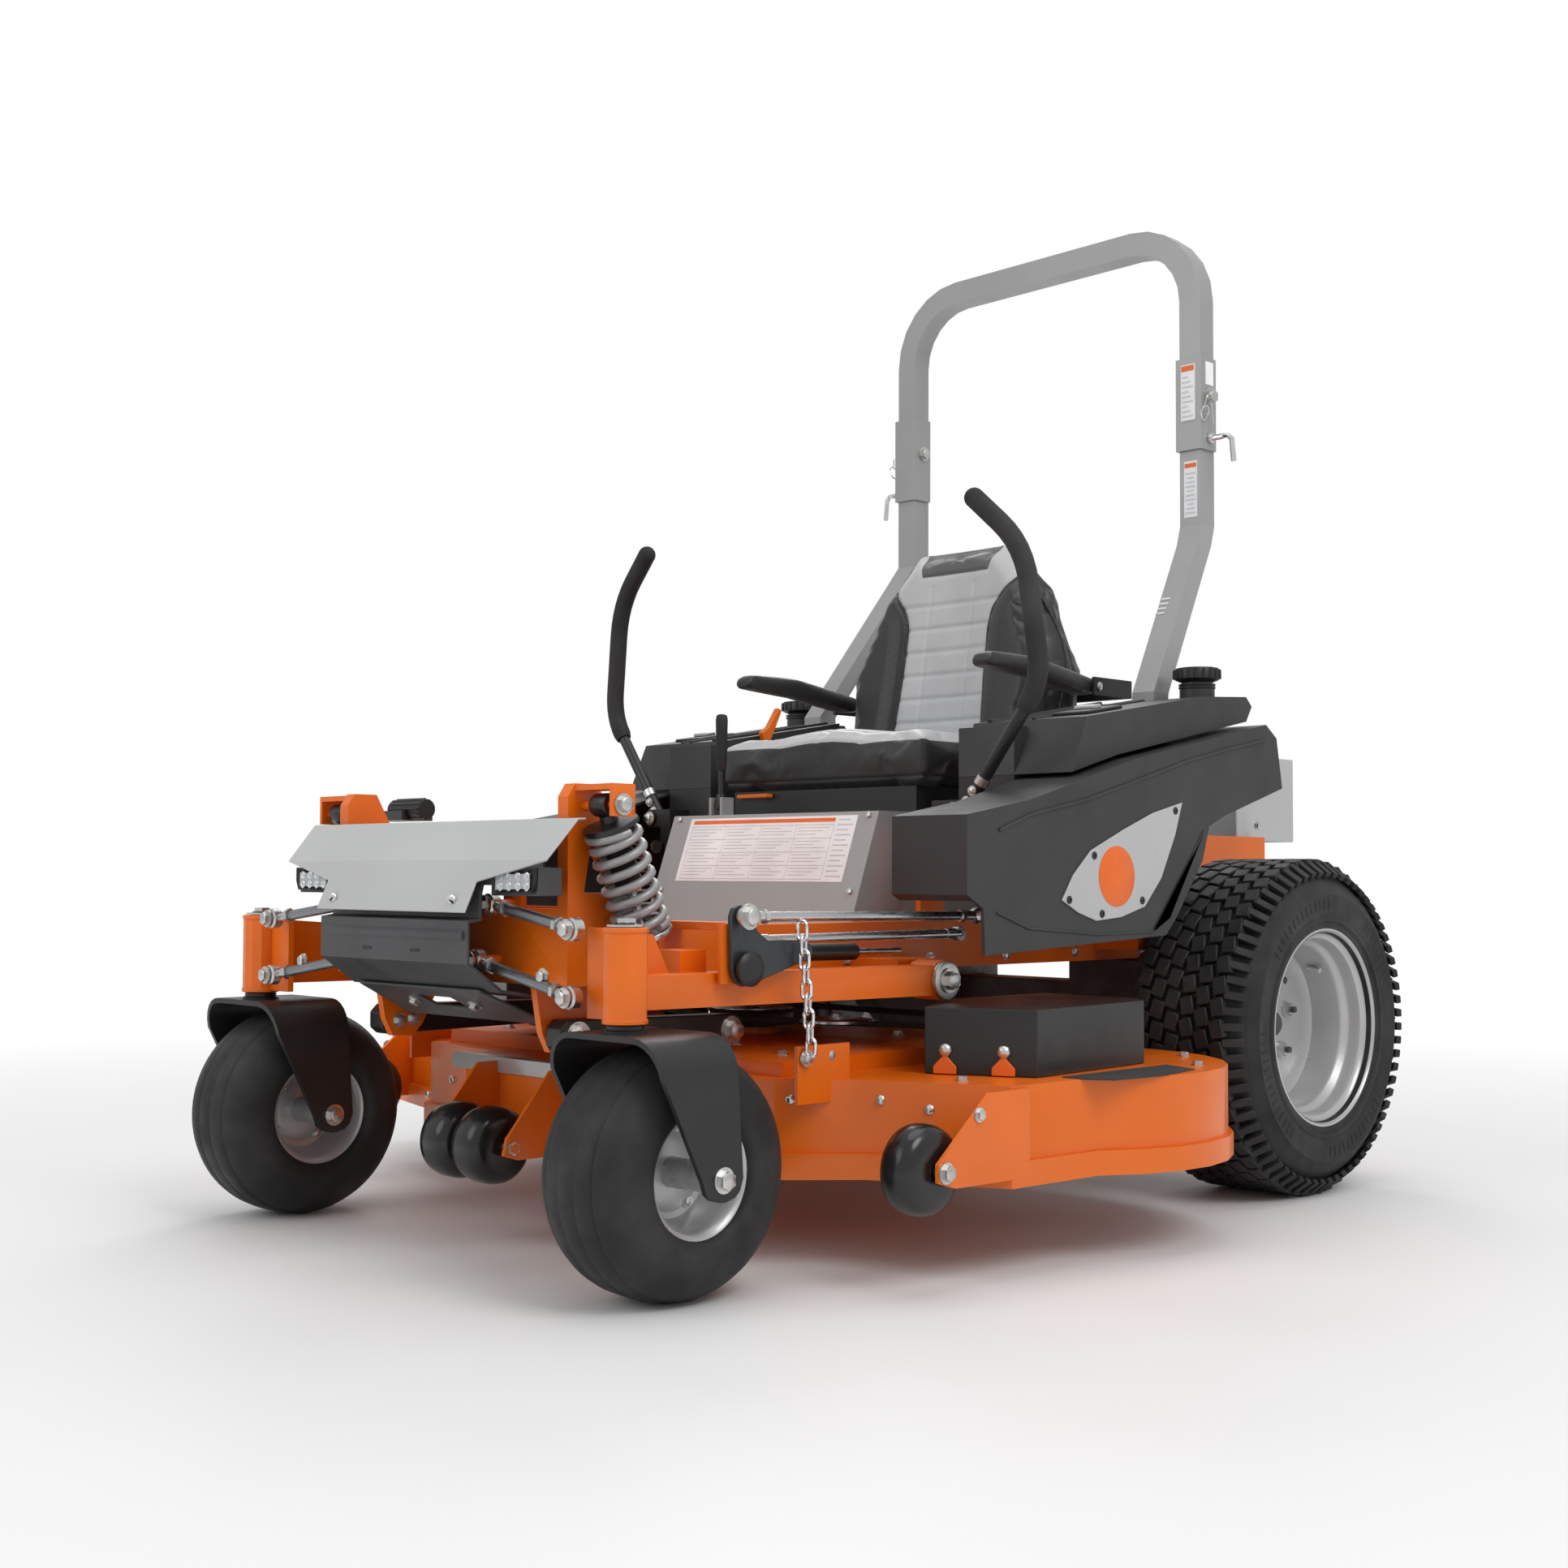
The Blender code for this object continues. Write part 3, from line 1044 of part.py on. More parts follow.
def rops_base(build):
    half = TUBE / 2
    foot = (POST_FOOT_X, POST_FOOT_Y, RAIL_BOTTOM + 0.045 + GAP)
    knee = (POST_KNEE_X, POST_FOOT_Y, POST_KNEE_Z)
    bend = (0.360, 0.640, 1.160)
    head = (HOOP_TRACK, HOOP_Y, 1.200)
    low = post_segment(foot, knee, half)
    lean = post_segment((knee[0], knee[1], knee[2] - 0.0001), bend, half)
    turn = post_segment((bend[0], bend[1], bend[2] - 0.0001), head, half)
    dome = arc((HOOP_Y, FOLD_PIVOT), half, 0, 180, 8)
    top = prism([(HOOP_Y - half, head[2] - 0.0001), (HOOP_Y + half, head[2] - 0.0001)] + dome, "x",
                HOOP_TRACK - half, HOOP_TRACK + half)
    bolt = along_x(HOOP_TRACK - half - 0.014, HOOP_TRACK + half + 0.014, HOOP_Y, FOLD_PIVOT, ROPS_BOLT)
    post = fuse(low, lean, turn, top, bolt)
    other = mirrored(post)
    cross = block((-POST_FOOT_X, POST_FOOT_X), (POST_FOOT_Y - half + 0.002, POST_FOOT_Y + half - 0.002),
                  (RAIL_TOP + 0.003, RAIL_TOP + 0.003 + TUBE))
    build.add("rops_base", fuse(post, other, cross), SILVER)


def rops_hoop(build):
    half = TUBE / 2
    out, inside = HOOP_TRACK + half, HOOP_TRACK - half
    centre = (out - HOOP_BEND, HOOP_TOP - HOOP_BEND)
    outer = arc(centre, HOOP_BEND, 0, 90, 6)
    inner = arc(centre, HOOP_BEND - TUBE, 0, 90, 6)
    right_outer = [(-x, z) for x, z in reversed(outer)]
    right_inner = [(-x, z) for x, z in inner]
    outline = ([(out, HOOP_BOTTOM)] + outer + right_outer + [(-out, HOOP_BOTTOM), (-inside, HOOP_BOTTOM)]
               + right_inner + list(reversed(inner)) + [(inside, HOOP_BOTTOM)])
    bow = prism(outline, "y", HOOP_Y - half, HOOP_Y + half)
    sleeves = both(sleeve())
    build.add("rops_hoop", fuse(bow, *sleeves), SILVER, (0, HOOP_Y, FOLD_PIVOT))


def sleeve():
    half = TUBE / 2
    inner = half + 0.0006
    outer = inner + SLEEVE_WALL
    box_shape = block((HOOP_TRACK - outer, HOOP_TRACK + outer), (HOOP_Y - outer, HOOP_Y + half),
                      (SLEEVE_BOTTOM, SLEEVE_TOP))
    room = block((HOOP_TRACK - inner, HOOP_TRACK + inner), (HOOP_Y - inner, HOOP_Y + 0.1),
                 (SLEEVE_BOTTOM - 0.1, HOOP_BOTTOM + 0.012))
    bolt = along_x(0.2, 0.5, HOOP_Y, FOLD_PIVOT, ROPS_BOLT + PLAY, 10)
    pin = along_x(HOOP_TRACK, 0.5, HOOP_Y, LOCK_PIN, ROPS_BOLT + 0.001, 10)
    return cut(box_shape, room, bolt, pin)


def rops_pins(build):
    start = HOOP_TRACK + TUBE / 2 + 0.0006
    y, z = HOOP_Y, LOCK_PIN
    shank = along_x(start, start + 0.034, y, z, ROPS_BOLT - 0.0005, 10)
    handle = sweep([(start + 0.030, y, z), (start + 0.044, y, z), (start + 0.052, y, z - 0.008),
                    (start + 0.056, y, z - 0.050)], 0.005)
    collar = along_x(start + SLEEVE_WALL + 0.001, start + SLEEVE_WALL + 0.006, y, z, 0.010, 12)
    build.pair("rops_pin", fuse(shank, handle, collar), STEEL, (start, y, z))


def main():
    clear_scene()
    left = DECK_END + DECK_END_RADIUS + RIM_PROUD
    right = -chute_line()[0] + CHUTE_REACH
    front = CASTER_AXLE_Y - CASTER_RADIUS
    build = Builder(((right - left) / 2, -(front + GUARD_REAR) / 2, 0))
    for make in (main_frame, front_frame, front_cover, front_fascia, swing_arms, links, shocks, casters,
                 rear_wheels,
                 hydro_drive, engine, rear_guard, deck, chute, belt_covers, spindles, drive_belt, rollers,
                 lift_cranks, lift_rod, seat_riser, brake_lever, seat, levers, fenders, fuel_tanks,
                 rops_base, rops_hoop, rops_pins):
        make(build)


main()
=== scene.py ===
# Looks for a zero turn mower. Lengths are in metres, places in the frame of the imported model.
import json
import math

import bmesh
import bpy
import numpy
from mathutils import Matrix, Vector
from mathutils.bvhtree import BVHTree

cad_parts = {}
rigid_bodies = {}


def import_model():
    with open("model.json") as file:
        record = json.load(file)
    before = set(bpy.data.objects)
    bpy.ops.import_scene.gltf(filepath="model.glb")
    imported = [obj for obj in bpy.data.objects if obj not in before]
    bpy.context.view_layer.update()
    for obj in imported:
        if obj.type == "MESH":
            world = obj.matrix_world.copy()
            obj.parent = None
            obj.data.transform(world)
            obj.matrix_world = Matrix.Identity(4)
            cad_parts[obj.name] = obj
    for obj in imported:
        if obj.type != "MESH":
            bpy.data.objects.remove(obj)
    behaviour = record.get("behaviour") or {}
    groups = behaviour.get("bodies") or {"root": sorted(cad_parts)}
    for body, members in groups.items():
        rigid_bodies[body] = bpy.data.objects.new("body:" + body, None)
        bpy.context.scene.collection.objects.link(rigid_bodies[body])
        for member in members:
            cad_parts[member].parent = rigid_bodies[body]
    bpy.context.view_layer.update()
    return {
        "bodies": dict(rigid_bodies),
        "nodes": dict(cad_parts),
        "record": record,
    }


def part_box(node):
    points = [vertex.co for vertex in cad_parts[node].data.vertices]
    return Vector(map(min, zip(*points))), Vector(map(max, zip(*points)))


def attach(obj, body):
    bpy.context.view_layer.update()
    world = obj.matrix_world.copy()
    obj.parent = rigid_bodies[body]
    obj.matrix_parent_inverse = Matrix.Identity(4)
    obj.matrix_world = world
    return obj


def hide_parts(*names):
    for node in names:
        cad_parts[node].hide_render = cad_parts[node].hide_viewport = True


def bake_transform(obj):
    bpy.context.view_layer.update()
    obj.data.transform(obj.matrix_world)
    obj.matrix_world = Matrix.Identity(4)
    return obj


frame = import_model()
bodyOf = {node: body for body, nodes in frame["record"]["behaviour"]["bodies"].items() for node in nodes}
guardLow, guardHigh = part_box("rear_guard")
midX = (guardLow.x + guardHigh.x) / 2  # the machine's centre line
guardReach = 1.145  # from the zero line across the seat's front to the guard's rear face
midY = guardHigh.y - guardReach
sides = (("left", 1), ("right", -1))


# A point given from the machine's centre line
def at(x, y, z):
    return Vector((midX + x, midY + y, z))


# Rounds every edge of a shape
def softEdges(bm, reach, steps):
    bmesh.ops.bevel(bm, geom=bm.edges[:], offset=reach, offset_type="OFFSET", segments=steps,
                    affect="EDGES", profile=0.5, material=-1)


# Moves a shape drawn from the machine's centre line to its place
def onMachine(bm):
    bmesh.ops.translate(bm, vec=(midX, midY, 0), verts=bm.verts)


def startMaterial(name, colour, rough, metal=0.0, coat=0.0, specular=0.5):
    made = bpy.data.materials.new(name)
    made.use_nodes = True
    made.diffuse_color = (*colour, 1.0)
    tree = made.node_tree
    shader = tree.nodes["Principled BSDF"]
    shader.inputs["Base Color"].default_value = (*colour, 1.0)
    shader.inputs["Metallic"].default_value = metal
    shader.inputs["Roughness"].default_value = rough
    shader.inputs["Coat Weight"].default_value = coat
    shader.inputs["Coat Roughness"].default_value = 0.08
    shader.inputs["Specular IOR Level"].default_value = specular
    place = tree.nodes.new("ShaderNodeTexCoord").outputs["Object"]
    return made, tree, shader, place


def noise(tree, place, scale, detail=3.0, stretch=None):
    if stretch:
        turn = tree.nodes.new("ShaderNodeMapping")
        turn.inputs["Scale"].default_value = stretch
        tree.links.new(place, turn.inputs["Vector"])
        place = turn.outputs["Vector"]
    made = tree.nodes.new("ShaderNodeTexNoise")
    made.inputs["Scale"].default_value = scale
    made.inputs["Detail"].default_value = detail
    tree.links.new(place, made.inputs["Vector"])
    return made.outputs["Fac"]


# Maps a noise value onto low to high
def spread(tree, value, low, high, start=0.3, end=0.7):
    made = tree.nodes.new("ShaderNodeMapRange")
    made.inputs["From Min"].default_value = start
    made.inputs["From Max"].default_value = end
    made.inputs["To Min"].default_value = low
    made.inputs["To Max"].default_value = high
    tree.links.new(value, made.inputs["Value"])
    return made.outputs["Result"]


# A colour that goes from first to second with share; either may be a colour or a socket
def between(tree, share, first, second):
    made = tree.nodes.new("ShaderNodeMix")
    made.data_type = "RGBA"
    tree.links.new(share, made.inputs["Factor"])
    for slot, colour in ((6, first), (7, second)):
        if isinstance(colour, tuple):
            made.inputs[slot].default_value = (*colour, 1.0)
        else:
            tree.links.new(colour, made.inputs[slot])
    return made.outputs[2]


def relief(tree, shader, height, strength, distance=0.0005):
    made = tree.nodes.new("ShaderNodeBump")
    made.inputs["Strength"].default_value = strength
    made.inputs["Distance"].default_value = distance
    tree.links.new(height, made.inputs["Height"])
    tree.links.new(made.outputs["Normal"], shader.inputs["Normal"])


def shade(colour, amount):
    return tuple(channel * amount for channel in colour)


# Gloss that wanders between two roughnesses
def roughen(tree, shader, place, scale, detail, low, high):
    tree.links.new(spread(tree, noise(tree, place, scale, detail), low, high), shader.inputs["Roughness"])


# Sprayed enamel: faint patches, orange-peel skin, softer gloss where it is dusty
def paintFinish(name, colour, rough=0.3, metal=0.0, coat=0.3, worn=0.88):
    made, tree, shader, place = startMaterial(name, colour, rough, metal, coat)
    patches = noise(tree, place, 5.0, 5.0)
    tint = between(tree, spread(tree, patches, 0.0, 1.0), shade(colour, worn), colour)
    tree.links.new(tint, shader.inputs["Base Color"])
    roughen(tree, shader, place, 14.0, 6.0, rough - 0.05, rough + 0.10)
    relief(tree, shader, noise(tree, place, 420.0, 2.0), 0.10, 0.0004)
    return made


# Moulded plastic with a fine leather-like texture
def plasticFinish(name, colour, rough=0.45, grain=900.0, depth=0.22, specular=0.5):
    made, tree, shader, place = startMaterial(name, colour, rough, specular=specular)
    cloudy = noise(tree, place, 7.0, 6.0)
    tint = between(tree, spread(tree, cloudy, 0.0, 1.0), shade(colour, 0.82), shade(colour, 1.12))
    tree.links.new(tint, shader.inputs["Base Color"])
    roughen(tree, shader, place, 22.0, 5.0, rough - 0.06, rough + 0.08)
    cells = tree.nodes.new("ShaderNodeTexVoronoi")
    cells.inputs["Scale"].default_value = grain
    tree.links.new(place, cells.inputs["Vector"])
    relief(tree, shader, cells.outputs["Distance"], depth, 0.0003)
    return made


# Cured rubber: a dull bloom in patches and a slight grain
def rubberFinish(name, colour, rough=0.62, dust=(0.060, 0.058, 0.055)):
    made, tree, shader, place = startMaterial(name, colour, rough, specular=0.4)
    bloom = noise(tree, place, 9.0, 8.0)
    tint = between(tree, spread(tree, bloom, 0.0, 0.55, 0.42, 0.75), colour, dust)
    tree.links.new(tint, shader.inputs["Base Color"])
    roughen(tree, shader, place, 30.0, 5.0, rough - 0.08, rough + 0.10)
    relief(tree, shader, noise(tree, place, 650.0, 3.0), 0.14, 0.0004)
    return made


# Bare or plated metal with drawing lines and handling marks
def metalFinish(name, colour, rough=0.28, stretch=(60.0, 60.0, 900.0), depth=0.05):
    made, tree, shader, place = startMaterial(name, colour, rough, 1.0)
    lines = noise(tree, place, 1.0, 4.0, stretch)
    tint = between(tree, spread(tree, noise(tree, place, 11.0, 6.0), 0.0, 1.0), shade(colour, 0.80), colour)
    tree.links.new(tint, shader.inputs["Base Color"])
    tree.links.new(spread(tree, lines, rough - 0.07, rough + 0.12), shader.inputs["Roughness"])
    relief(tree, shader, lines, depth, 0.0002)
    return made


# Sand-cast or sprayed rough metal
def castFinish(name, colour, rough=0.55):
    made, tree, shader, place = startMaterial(name, colour, rough, 0.6)
    tint = between(tree, spread(tree, noise(tree, place, 16.0, 8.0), 0.0, 1.0), shade(colour, 0.65),
                   shade(colour, 1.15))
    tree.links.new(tint, shader.inputs["Base Color"])
    roughen(tree, shader, place, 40.0, 5.0, rough - 0.1, rough + 0.12)
    relief(tree, shader, noise(tree, place, 260.0, 5.0), 0.45, 0.0008)
    return made


# Upholstery vinyl: pebbled grain over slow creases
def vinylFinish(name, colour, rough=0.42, grain=420.0):
    made, tree, shader, place = startMaterial(name, colour, rough, specular=0.5)
    shader.inputs["Sheen Weight"].default_value = 0.15
    cloudy = noise(tree, place, 8.0, 6.0)
    tint = between(tree, spread(tree, cloudy, 0.0, 1.0), shade(colour, 0.84), shade(colour, 1.08))
    tree.links.new(tint, shader.inputs["Base Color"])
    cells = tree.nodes.new("ShaderNodeTexVoronoi")
    cells.feature = "F1"
    cells.inputs["Scale"].default_value = grain
    tree.links.new(place, cells.inputs["Vector"])
    tree.links.new(spread(tree, cells.outputs["Distance"], rough + 0.10, rough - 0.06, 0.0, 0.7),
                   shader.inputs["Roughness"])
    relief(tree, shader, cells.outputs["Distance"], 0.30, 0.0005)
    return made


def glassFinish(name, colour):
    made, tree, shader, place = startMaterial(name, colour, 0.06)
    shader.inputs["Alpha"].default_value = 0.35
    shader.inputs["IOR"].default_value = 1.5
    ribs = tree.nodes.new("ShaderNodeTexWave")
    ribs.inputs["Scale"].default_value = 60.0
    tree.links.new(place, ribs.inputs["Vector"])
    relief(tree, shader, ribs.outputs["Fac"], 0.25, 0.0005)
    return made


paint = {
    "orange": paintFinish("orangeEnamel", (0.82, 0.150, 0.0), 0.36, coat=0.12, worn=0.86),
    "silver": paintFinish("silverEnamel", (0.36, 0.36, 0.36), 0.33, 0.35, coat=0.25, worn=0.92),
    "black": paintFinish("blackEnamel", (0.010, 0.010, 0.010), 0.38, coat=0.12, worn=0.75),
    "fork": paintFinish("satinBlack", (0.014, 0.014, 0.015), 0.42, coat=0.05, worn=0.75),
    "plastic": plasticFinish("bodyPlastic", (0.036, 0.036, 0.039), 0.44, specular=0.42),
    "skirt": plasticFinish("skirtPlastic", (0.062, 0.063, 0.067), 0.42, 700.0, 0.15, 0.42),
    "trim": plasticFinish("trimPlastic", (0.012, 0.012, 0.012), 0.40, 1100.0, 0.15),
    "roller": plasticFinish("rollerPlastic", (0.012, 0.012, 0.012), 0.20, 300.0, 0.04),
    "tyre": rubberFinish("tyreRubber", (0.011, 0.011, 0.012), 0.60),
    "grip": rubberFinish("gripFoam", (0.018, 0.018, 0.019), 0.70),
    "belt": rubberFinish("beltRubber", (0.018, 0.018, 0.018), 0.70),
    "steel": metalFinish("turnedSteel", (0.60, 0.60, 0.62), 0.26),
    "zinc": metalFinish("zincPlate", (0.68, 0.68, 0.66), 0.30, (90.0, 90.0, 90.0), 0.03),
    "chrome": metalFinish("chromePlate", (0.80, 0.80, 0.81), 0.12, (40.0, 40.0, 40.0), 0.02),
    "dullSteel": metalFinish("dullSteel", (0.30, 0.31, 0.33), 0.36),
    "spring": paintFinish("springPaint", (0.33, 0.33, 0.335), 0.34, 0.25, coat=0.2, worn=0.9),
    "crank": paintFinish("crankPaint", (0.030, 0.036, 0.042), 0.36, coat=0.15, worn=0.8),
    "rim": paintFinish("rimSilver", (0.52, 0.52, 0.525), 0.30, 0.45, coat=0.25, worn=0.93),
    "iron": castFinish("castIron", (0.11, 0.11, 0.115), 0.5),
    "engine": castFinish("engineCase", (0.055, 0.055, 0.058), 0.48),
    "blackVinyl": vinylFinish("blackVinyl", (0.012, 0.012, 0.0125), 0.40),
    "greyVinyl": vinylFinish("greyVinyl", (0.47, 0.475, 0.48), 0.46, 520.0),
    "glass": glassFinish("lampGlass", (0.85, 0.87, 0.90)),
    "label": plasticFinish("whiteLabel", (0.86, 0.88, 0.90), 0.34, 300.0, 0.03),
    "labelInk": plasticFinish("greyInk", (0.60, 0.62, 0.64), 0.40, 300.0, 0.03),
    "labelOrange": plasticFinish("orangeInk", (0.80, 0.14, 0.01), 0.34, 300.0, 0.03),
    "plate": paintFinish("platePaint", (0.50, 0.505, 0.51), 0.32, 0.1, coat=0.2, worn=0.94),
    "grit": plasticFinish("nonSlipGrit", (0.035, 0.035, 0.036), 0.85, 1500.0, 0.9),
}
print("materials ready:", len(paint))


# Turns a bmesh into an object that rides on a body; edge rounds its sharp edges
def finishPiece(name, bm, body, look, smooth=35.0, edge=0.0, steps=2):
    mesh = bpy.data.meshes.new(name)
    bm.to_mesh(mesh)
    bm.free()
    mesh.shade_smooth()
    mesh.set_sharp_from_angle(angle=math.radians(smooth))
    mesh.materials.append(paint[look])
    piece = bpy.data.objects.new(name, mesh)
    bpy.context.scene.collection.objects.link(piece)
    if edge:
        roundEdges(piece, edge, steps)
    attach(piece, body)
    return piece


def roundEdges(piece, width, steps=2, angle=32.0):
    bevel = piece.modifiers.new("round", "BEVEL")
    bevel.width = width
    bevel.segments = steps
    bevel.limit_method = "ANGLE"
    bevel.angle_limit = math.radians(angle)
    bevel.use_clamp_overlap = True
    bevel.harden_normals = True
    piece.data.shade_smooth()


# A merged copy of a CAD node's triangles
def nodeShape(node):
    bm = bmesh.new()
    bm.from_mesh(frame["nodes"][node].data)
    bmesh.ops.remove_doubles(bm, verts=bm.verts, dist=0.00002)
    bmesh.ops.dissolve_limit(bm, angle_limit=math.radians(1.0), verts=bm.verts, edges=bm.edges)
    return bm


# The node's own shape with rounded edges, standing for it
def refine(node, look, edge=0.0015, steps=2, smooth=30.0):
    piece = finishPiece(node + "_skin", nodeShape(node), bodyOf[node], look, smooth, edge, steps)
    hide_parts(node)
    return piece


# A box between two corners, joined to what bm holds
def addBlock(bm, low, high):
    low, high = Vector(low), Vector(high)
    made = bmesh.ops.create_cube(bm, size=1.0)
    bmesh.ops.scale(bm, vec=high - low, verts=made["verts"])
    bmesh.ops.translate(bm, vec=(low + high) / 2, verts=made["verts"])
    return made["verts"]


def alongAxis(start, end):
    start, end = Vector(start), Vector(end)
    turn = (end - start).to_track_quat("Z", "Y").to_matrix().to_4x4()
    return Matrix.Translation((start + end) / 2) @ turn, (end - start).length


def addRod(bm, start, end, radius, sides=24, radiusEnd=None):
    spot, length = alongAxis(start, end)
    tip = radius if radiusEnd is None else radiusEnd
    made = bmesh.ops.create_cone(bm, cap_ends=True, segments=sides, radius1=radius, radius2=tip,
                                 depth=length)
    bmesh.ops.transform(bm, matrix=spot, verts=made["verts"])
    return made["verts"]


# Spins (radius, along) points round a line; an open profile starts and ends on that line
def addTurned(bm, profile, start, direction, steps=48, closed=False):
    part = bmesh.new()
    line = [part.verts.new((radius, 0, along)) for radius, along in profile]
    edges = [part.edges.new(pair) for pair in zip(line, line[1:] + (line[:1] if closed else []))]
    bmesh.ops.spin(part, geom=line + edges, cent=(0, 0, 0), axis=(0, 0, 1), angle=math.tau, steps=steps,
                   use_merge=True, use_duplicate=False)
    bmesh.ops.remove_doubles(part, verts=part.verts, dist=0.00001)
    bmesh.ops.recalc_face_normals(part, faces=part.faces)
    turn = Vector(direction).to_track_quat("Z", "Y").to_matrix().to_4x4()
    part.transform(Matrix.Translation(start) @ turn)
    return absorb(bm, part)


# Moves another bmesh into bm
def absorb(bm, part):
    mesh = bpy.data.meshes.new("part")
    part.to_mesh(mesh)
    part.free()
    before = len(bm.verts)
    bm.from_mesh(mesh)
    bpy.data.meshes.remove(mesh)
    bm.verts.ensure_lookup_table()
    return bm.verts[before:]


# An outline across an axis, extruded from start to end
def addPlate(bm, outline, axis, start, end):
    part = bmesh.new()
    spots = {"x": lambda a, b: (start, a, b), "y": lambda a, b: (a, start, b), "z": lambda a,
             b: (a, b, start)}
    reach = {"x": (end - start, 0, 0), "y": (0, end - start, 0), "z": (0, 0, end - start)}[axis]
    face = part.faces.new([part.verts.new(spots[axis](a, b)) for a, b in outline])
    grown = bmesh.ops.extrude_face_region(part, geom=[face])
    moved = [item for item in grown["geom"] if isinstance(item, bmesh.types.BMVert)]
    bmesh.ops.translate(part, vec=reach, verts=moved)
    bmesh.ops.recalc_face_normals(part, faces=part.faces)
    return absorb(bm, part)


# A round bar with closed ends along a line of points
def addTube(bm, points, radius, sides=12, smoothPath=True):
    curve = bpy.data.curves.new("tube", "CURVE")
    curve.dimensions = "3D"
    spline = curve.splines.new("BEZIER" if smoothPath else "POLY")
    slots = spline.bezier_points if smoothPath else spline.points
    slots.add(len(points) - 1)
    for slot, point in zip(slots, points):
        if smoothPath:
            slot.co = point
            slot.handle_left_type = slot.handle_right_type = "AUTO"
        else:
            slot.co = (*point, 1.0)
    spline.resolution_u = 6
    curve.bevel_depth = radius
    curve.bevel_resolution = max(0, sides // 4 - 1)
    curve.use_fill_caps = True
    thing = bpy.data.objects.new("tube", curve)
    bpy.context.scene.collection.objects.link(thing)
    graph = bpy.context.evaluated_depsgraph_get()
    mesh = bpy.data.meshes.new_from_object(thing.evaluated_get(graph))
    bpy.data.objects.remove(thing, do_unlink=True)
    part = bmesh.new()
    part.from_mesh(mesh)
    bmesh.ops.remove_doubles(part, verts=part.verts, dist=0.00001)
    bmesh.ops.recalc_face_normals(part, faces=part.faces)
    return absorb(bm, part)


# A hex head on its washer; size is the thread's diameter
def addBolt(bm, spot, direction, size=0.010, washer=True):
    spot, direction = Vector(spot), Vector(direction).normalized()
    base = spot
    if washer:
        base = spot + direction * size * 0.22
        addRod(bm, spot, base, size * 1.25, 20)
    head = base + direction * size * 0.62
    addRod(bm, base, head, size * 0.92, 6)
    addRod(bm, head, head + direction * size * 0.10, size * 0.80, 18, size * 0.62)


# A low round head, such as a carriage bolt or a knob
def addDome(bm, spot, direction, radius, height):
    angles = [math.radians(15 * step) for step in range(7)]
    profile = [(radius * math.cos(angle), height * math.sin(angle)) for angle in angles]
    profile[-1] = (0, height)
    addTurned(bm, [(0, 0)] + profile, spot, direction, 20)


# A sheet grown row by row: the first row is a chain of points, and each next one is extruded from it
def addGrid(bm, rows):
    chain = [bm.verts.new(point) for point in rows[0]]
    edges = [bm.edges.new(pair) for pair in zip(chain, chain[1:])]
    for row in rows[1:]:
        grown = bmesh.ops.extrude_edge_only(bm, edges=edges)
        found = [item for item in grown["geom"] if isinstance(item, bmesh.types.BMVert)]
        edges = [item for item in grown["geom"] if isinstance(item, bmesh.types.BMEdge)
                 and all(end in found for end in item.verts)]
        chain = [next(edge.other_vert(old) for edge in old.link_edges if edge.other_vert(old) in found)
                 for old in chain]
        for vert, point in zip(chain, row):
            vert.co = point
    bmesh.ops.recalc_face_normals(bm, faces=bm.faces)


# Gives a sheet its thickness
def thicken(piece, wall, offset=-1.0):
    solid = piece.modifiers.new("wall", "SOLIDIFY")
    solid.thickness = wall
    solid.offset = offset
    solid.use_even_offset = True


# The other side's copy, mirrored at the machine's centre line
def mirrorShape(bm):
    copy = bm.copy()
    bmesh.ops.translate(copy, vec=(-midX, 0, 0), verts=copy.verts)
    bmesh.ops.scale(copy, vec=(-1, 1, 1), verts=copy.verts)
    bmesh.ops.translate(copy, vec=(midX, 0, 0), verts=copy.verts)
    bmesh.ops.reverse_faces(copy, faces=copy.faces)
    return copy


# The left piece and its mirrored right copy; body and stands take _left and _right
def finishPair(name, bm, body, look, smooth=35.0, edge=0.0, steps=2, stands=()):
    other = mirrorShape(bm)
    made = []
    for (side, sign), shape in zip(sides, (bm, other)):
        rides = body if body in frame["bodies"] else f"{body}_{side}"
        piece = finishPiece(f"{name}_{side}", shape, rides, look, smooth, edge, steps)
        nodes = [f"{node}_{side}" for node in stands]
        if nodes:
            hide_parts(*nodes)
        made.append(piece)
    return made


rearTyre = {"radius": 0.290, "half": 0.1175, "carcass": 0.279, "rows": (0.0145, 0.0435, 0.0725),
            "blocks": 50,
            "block": (0.0245, 0.030, 0.014), "skew": 14.0, "shoulderRibs": 68,
            "rib": (0.036, 0.0135, 0.010),
            "ribOut": 0.0945, "ribRadius": 0.2735, "ribTilt": 38.0, "marks": 88, "markRadius": 0.212}


def middle(node):
    low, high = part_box(node)
    return (low + high) / 2


# One rubber block with softened edges, its outer face towards +Z
def treadBlock(size, edge=0.0016):
    block = bmesh.new()
    bmesh.ops.create_cube(block, size=1.0)
    bmesh.ops.scale(block, vec=size, verts=block.verts)
    softEdges(block, edge, 1)
    mesh = bpy.data.meshes.new("block")
    block.to_mesh(mesh)
    block.free()
    return mesh


def addCopies(bm, mesh, places):
    for spot in places:
        before = len(bm.verts)
        bm.from_mesh(mesh)
        bm.verts.ensure_lookup_table()
        bmesh.ops.transform(bm, matrix=spot, verts=bm.verts[before:])


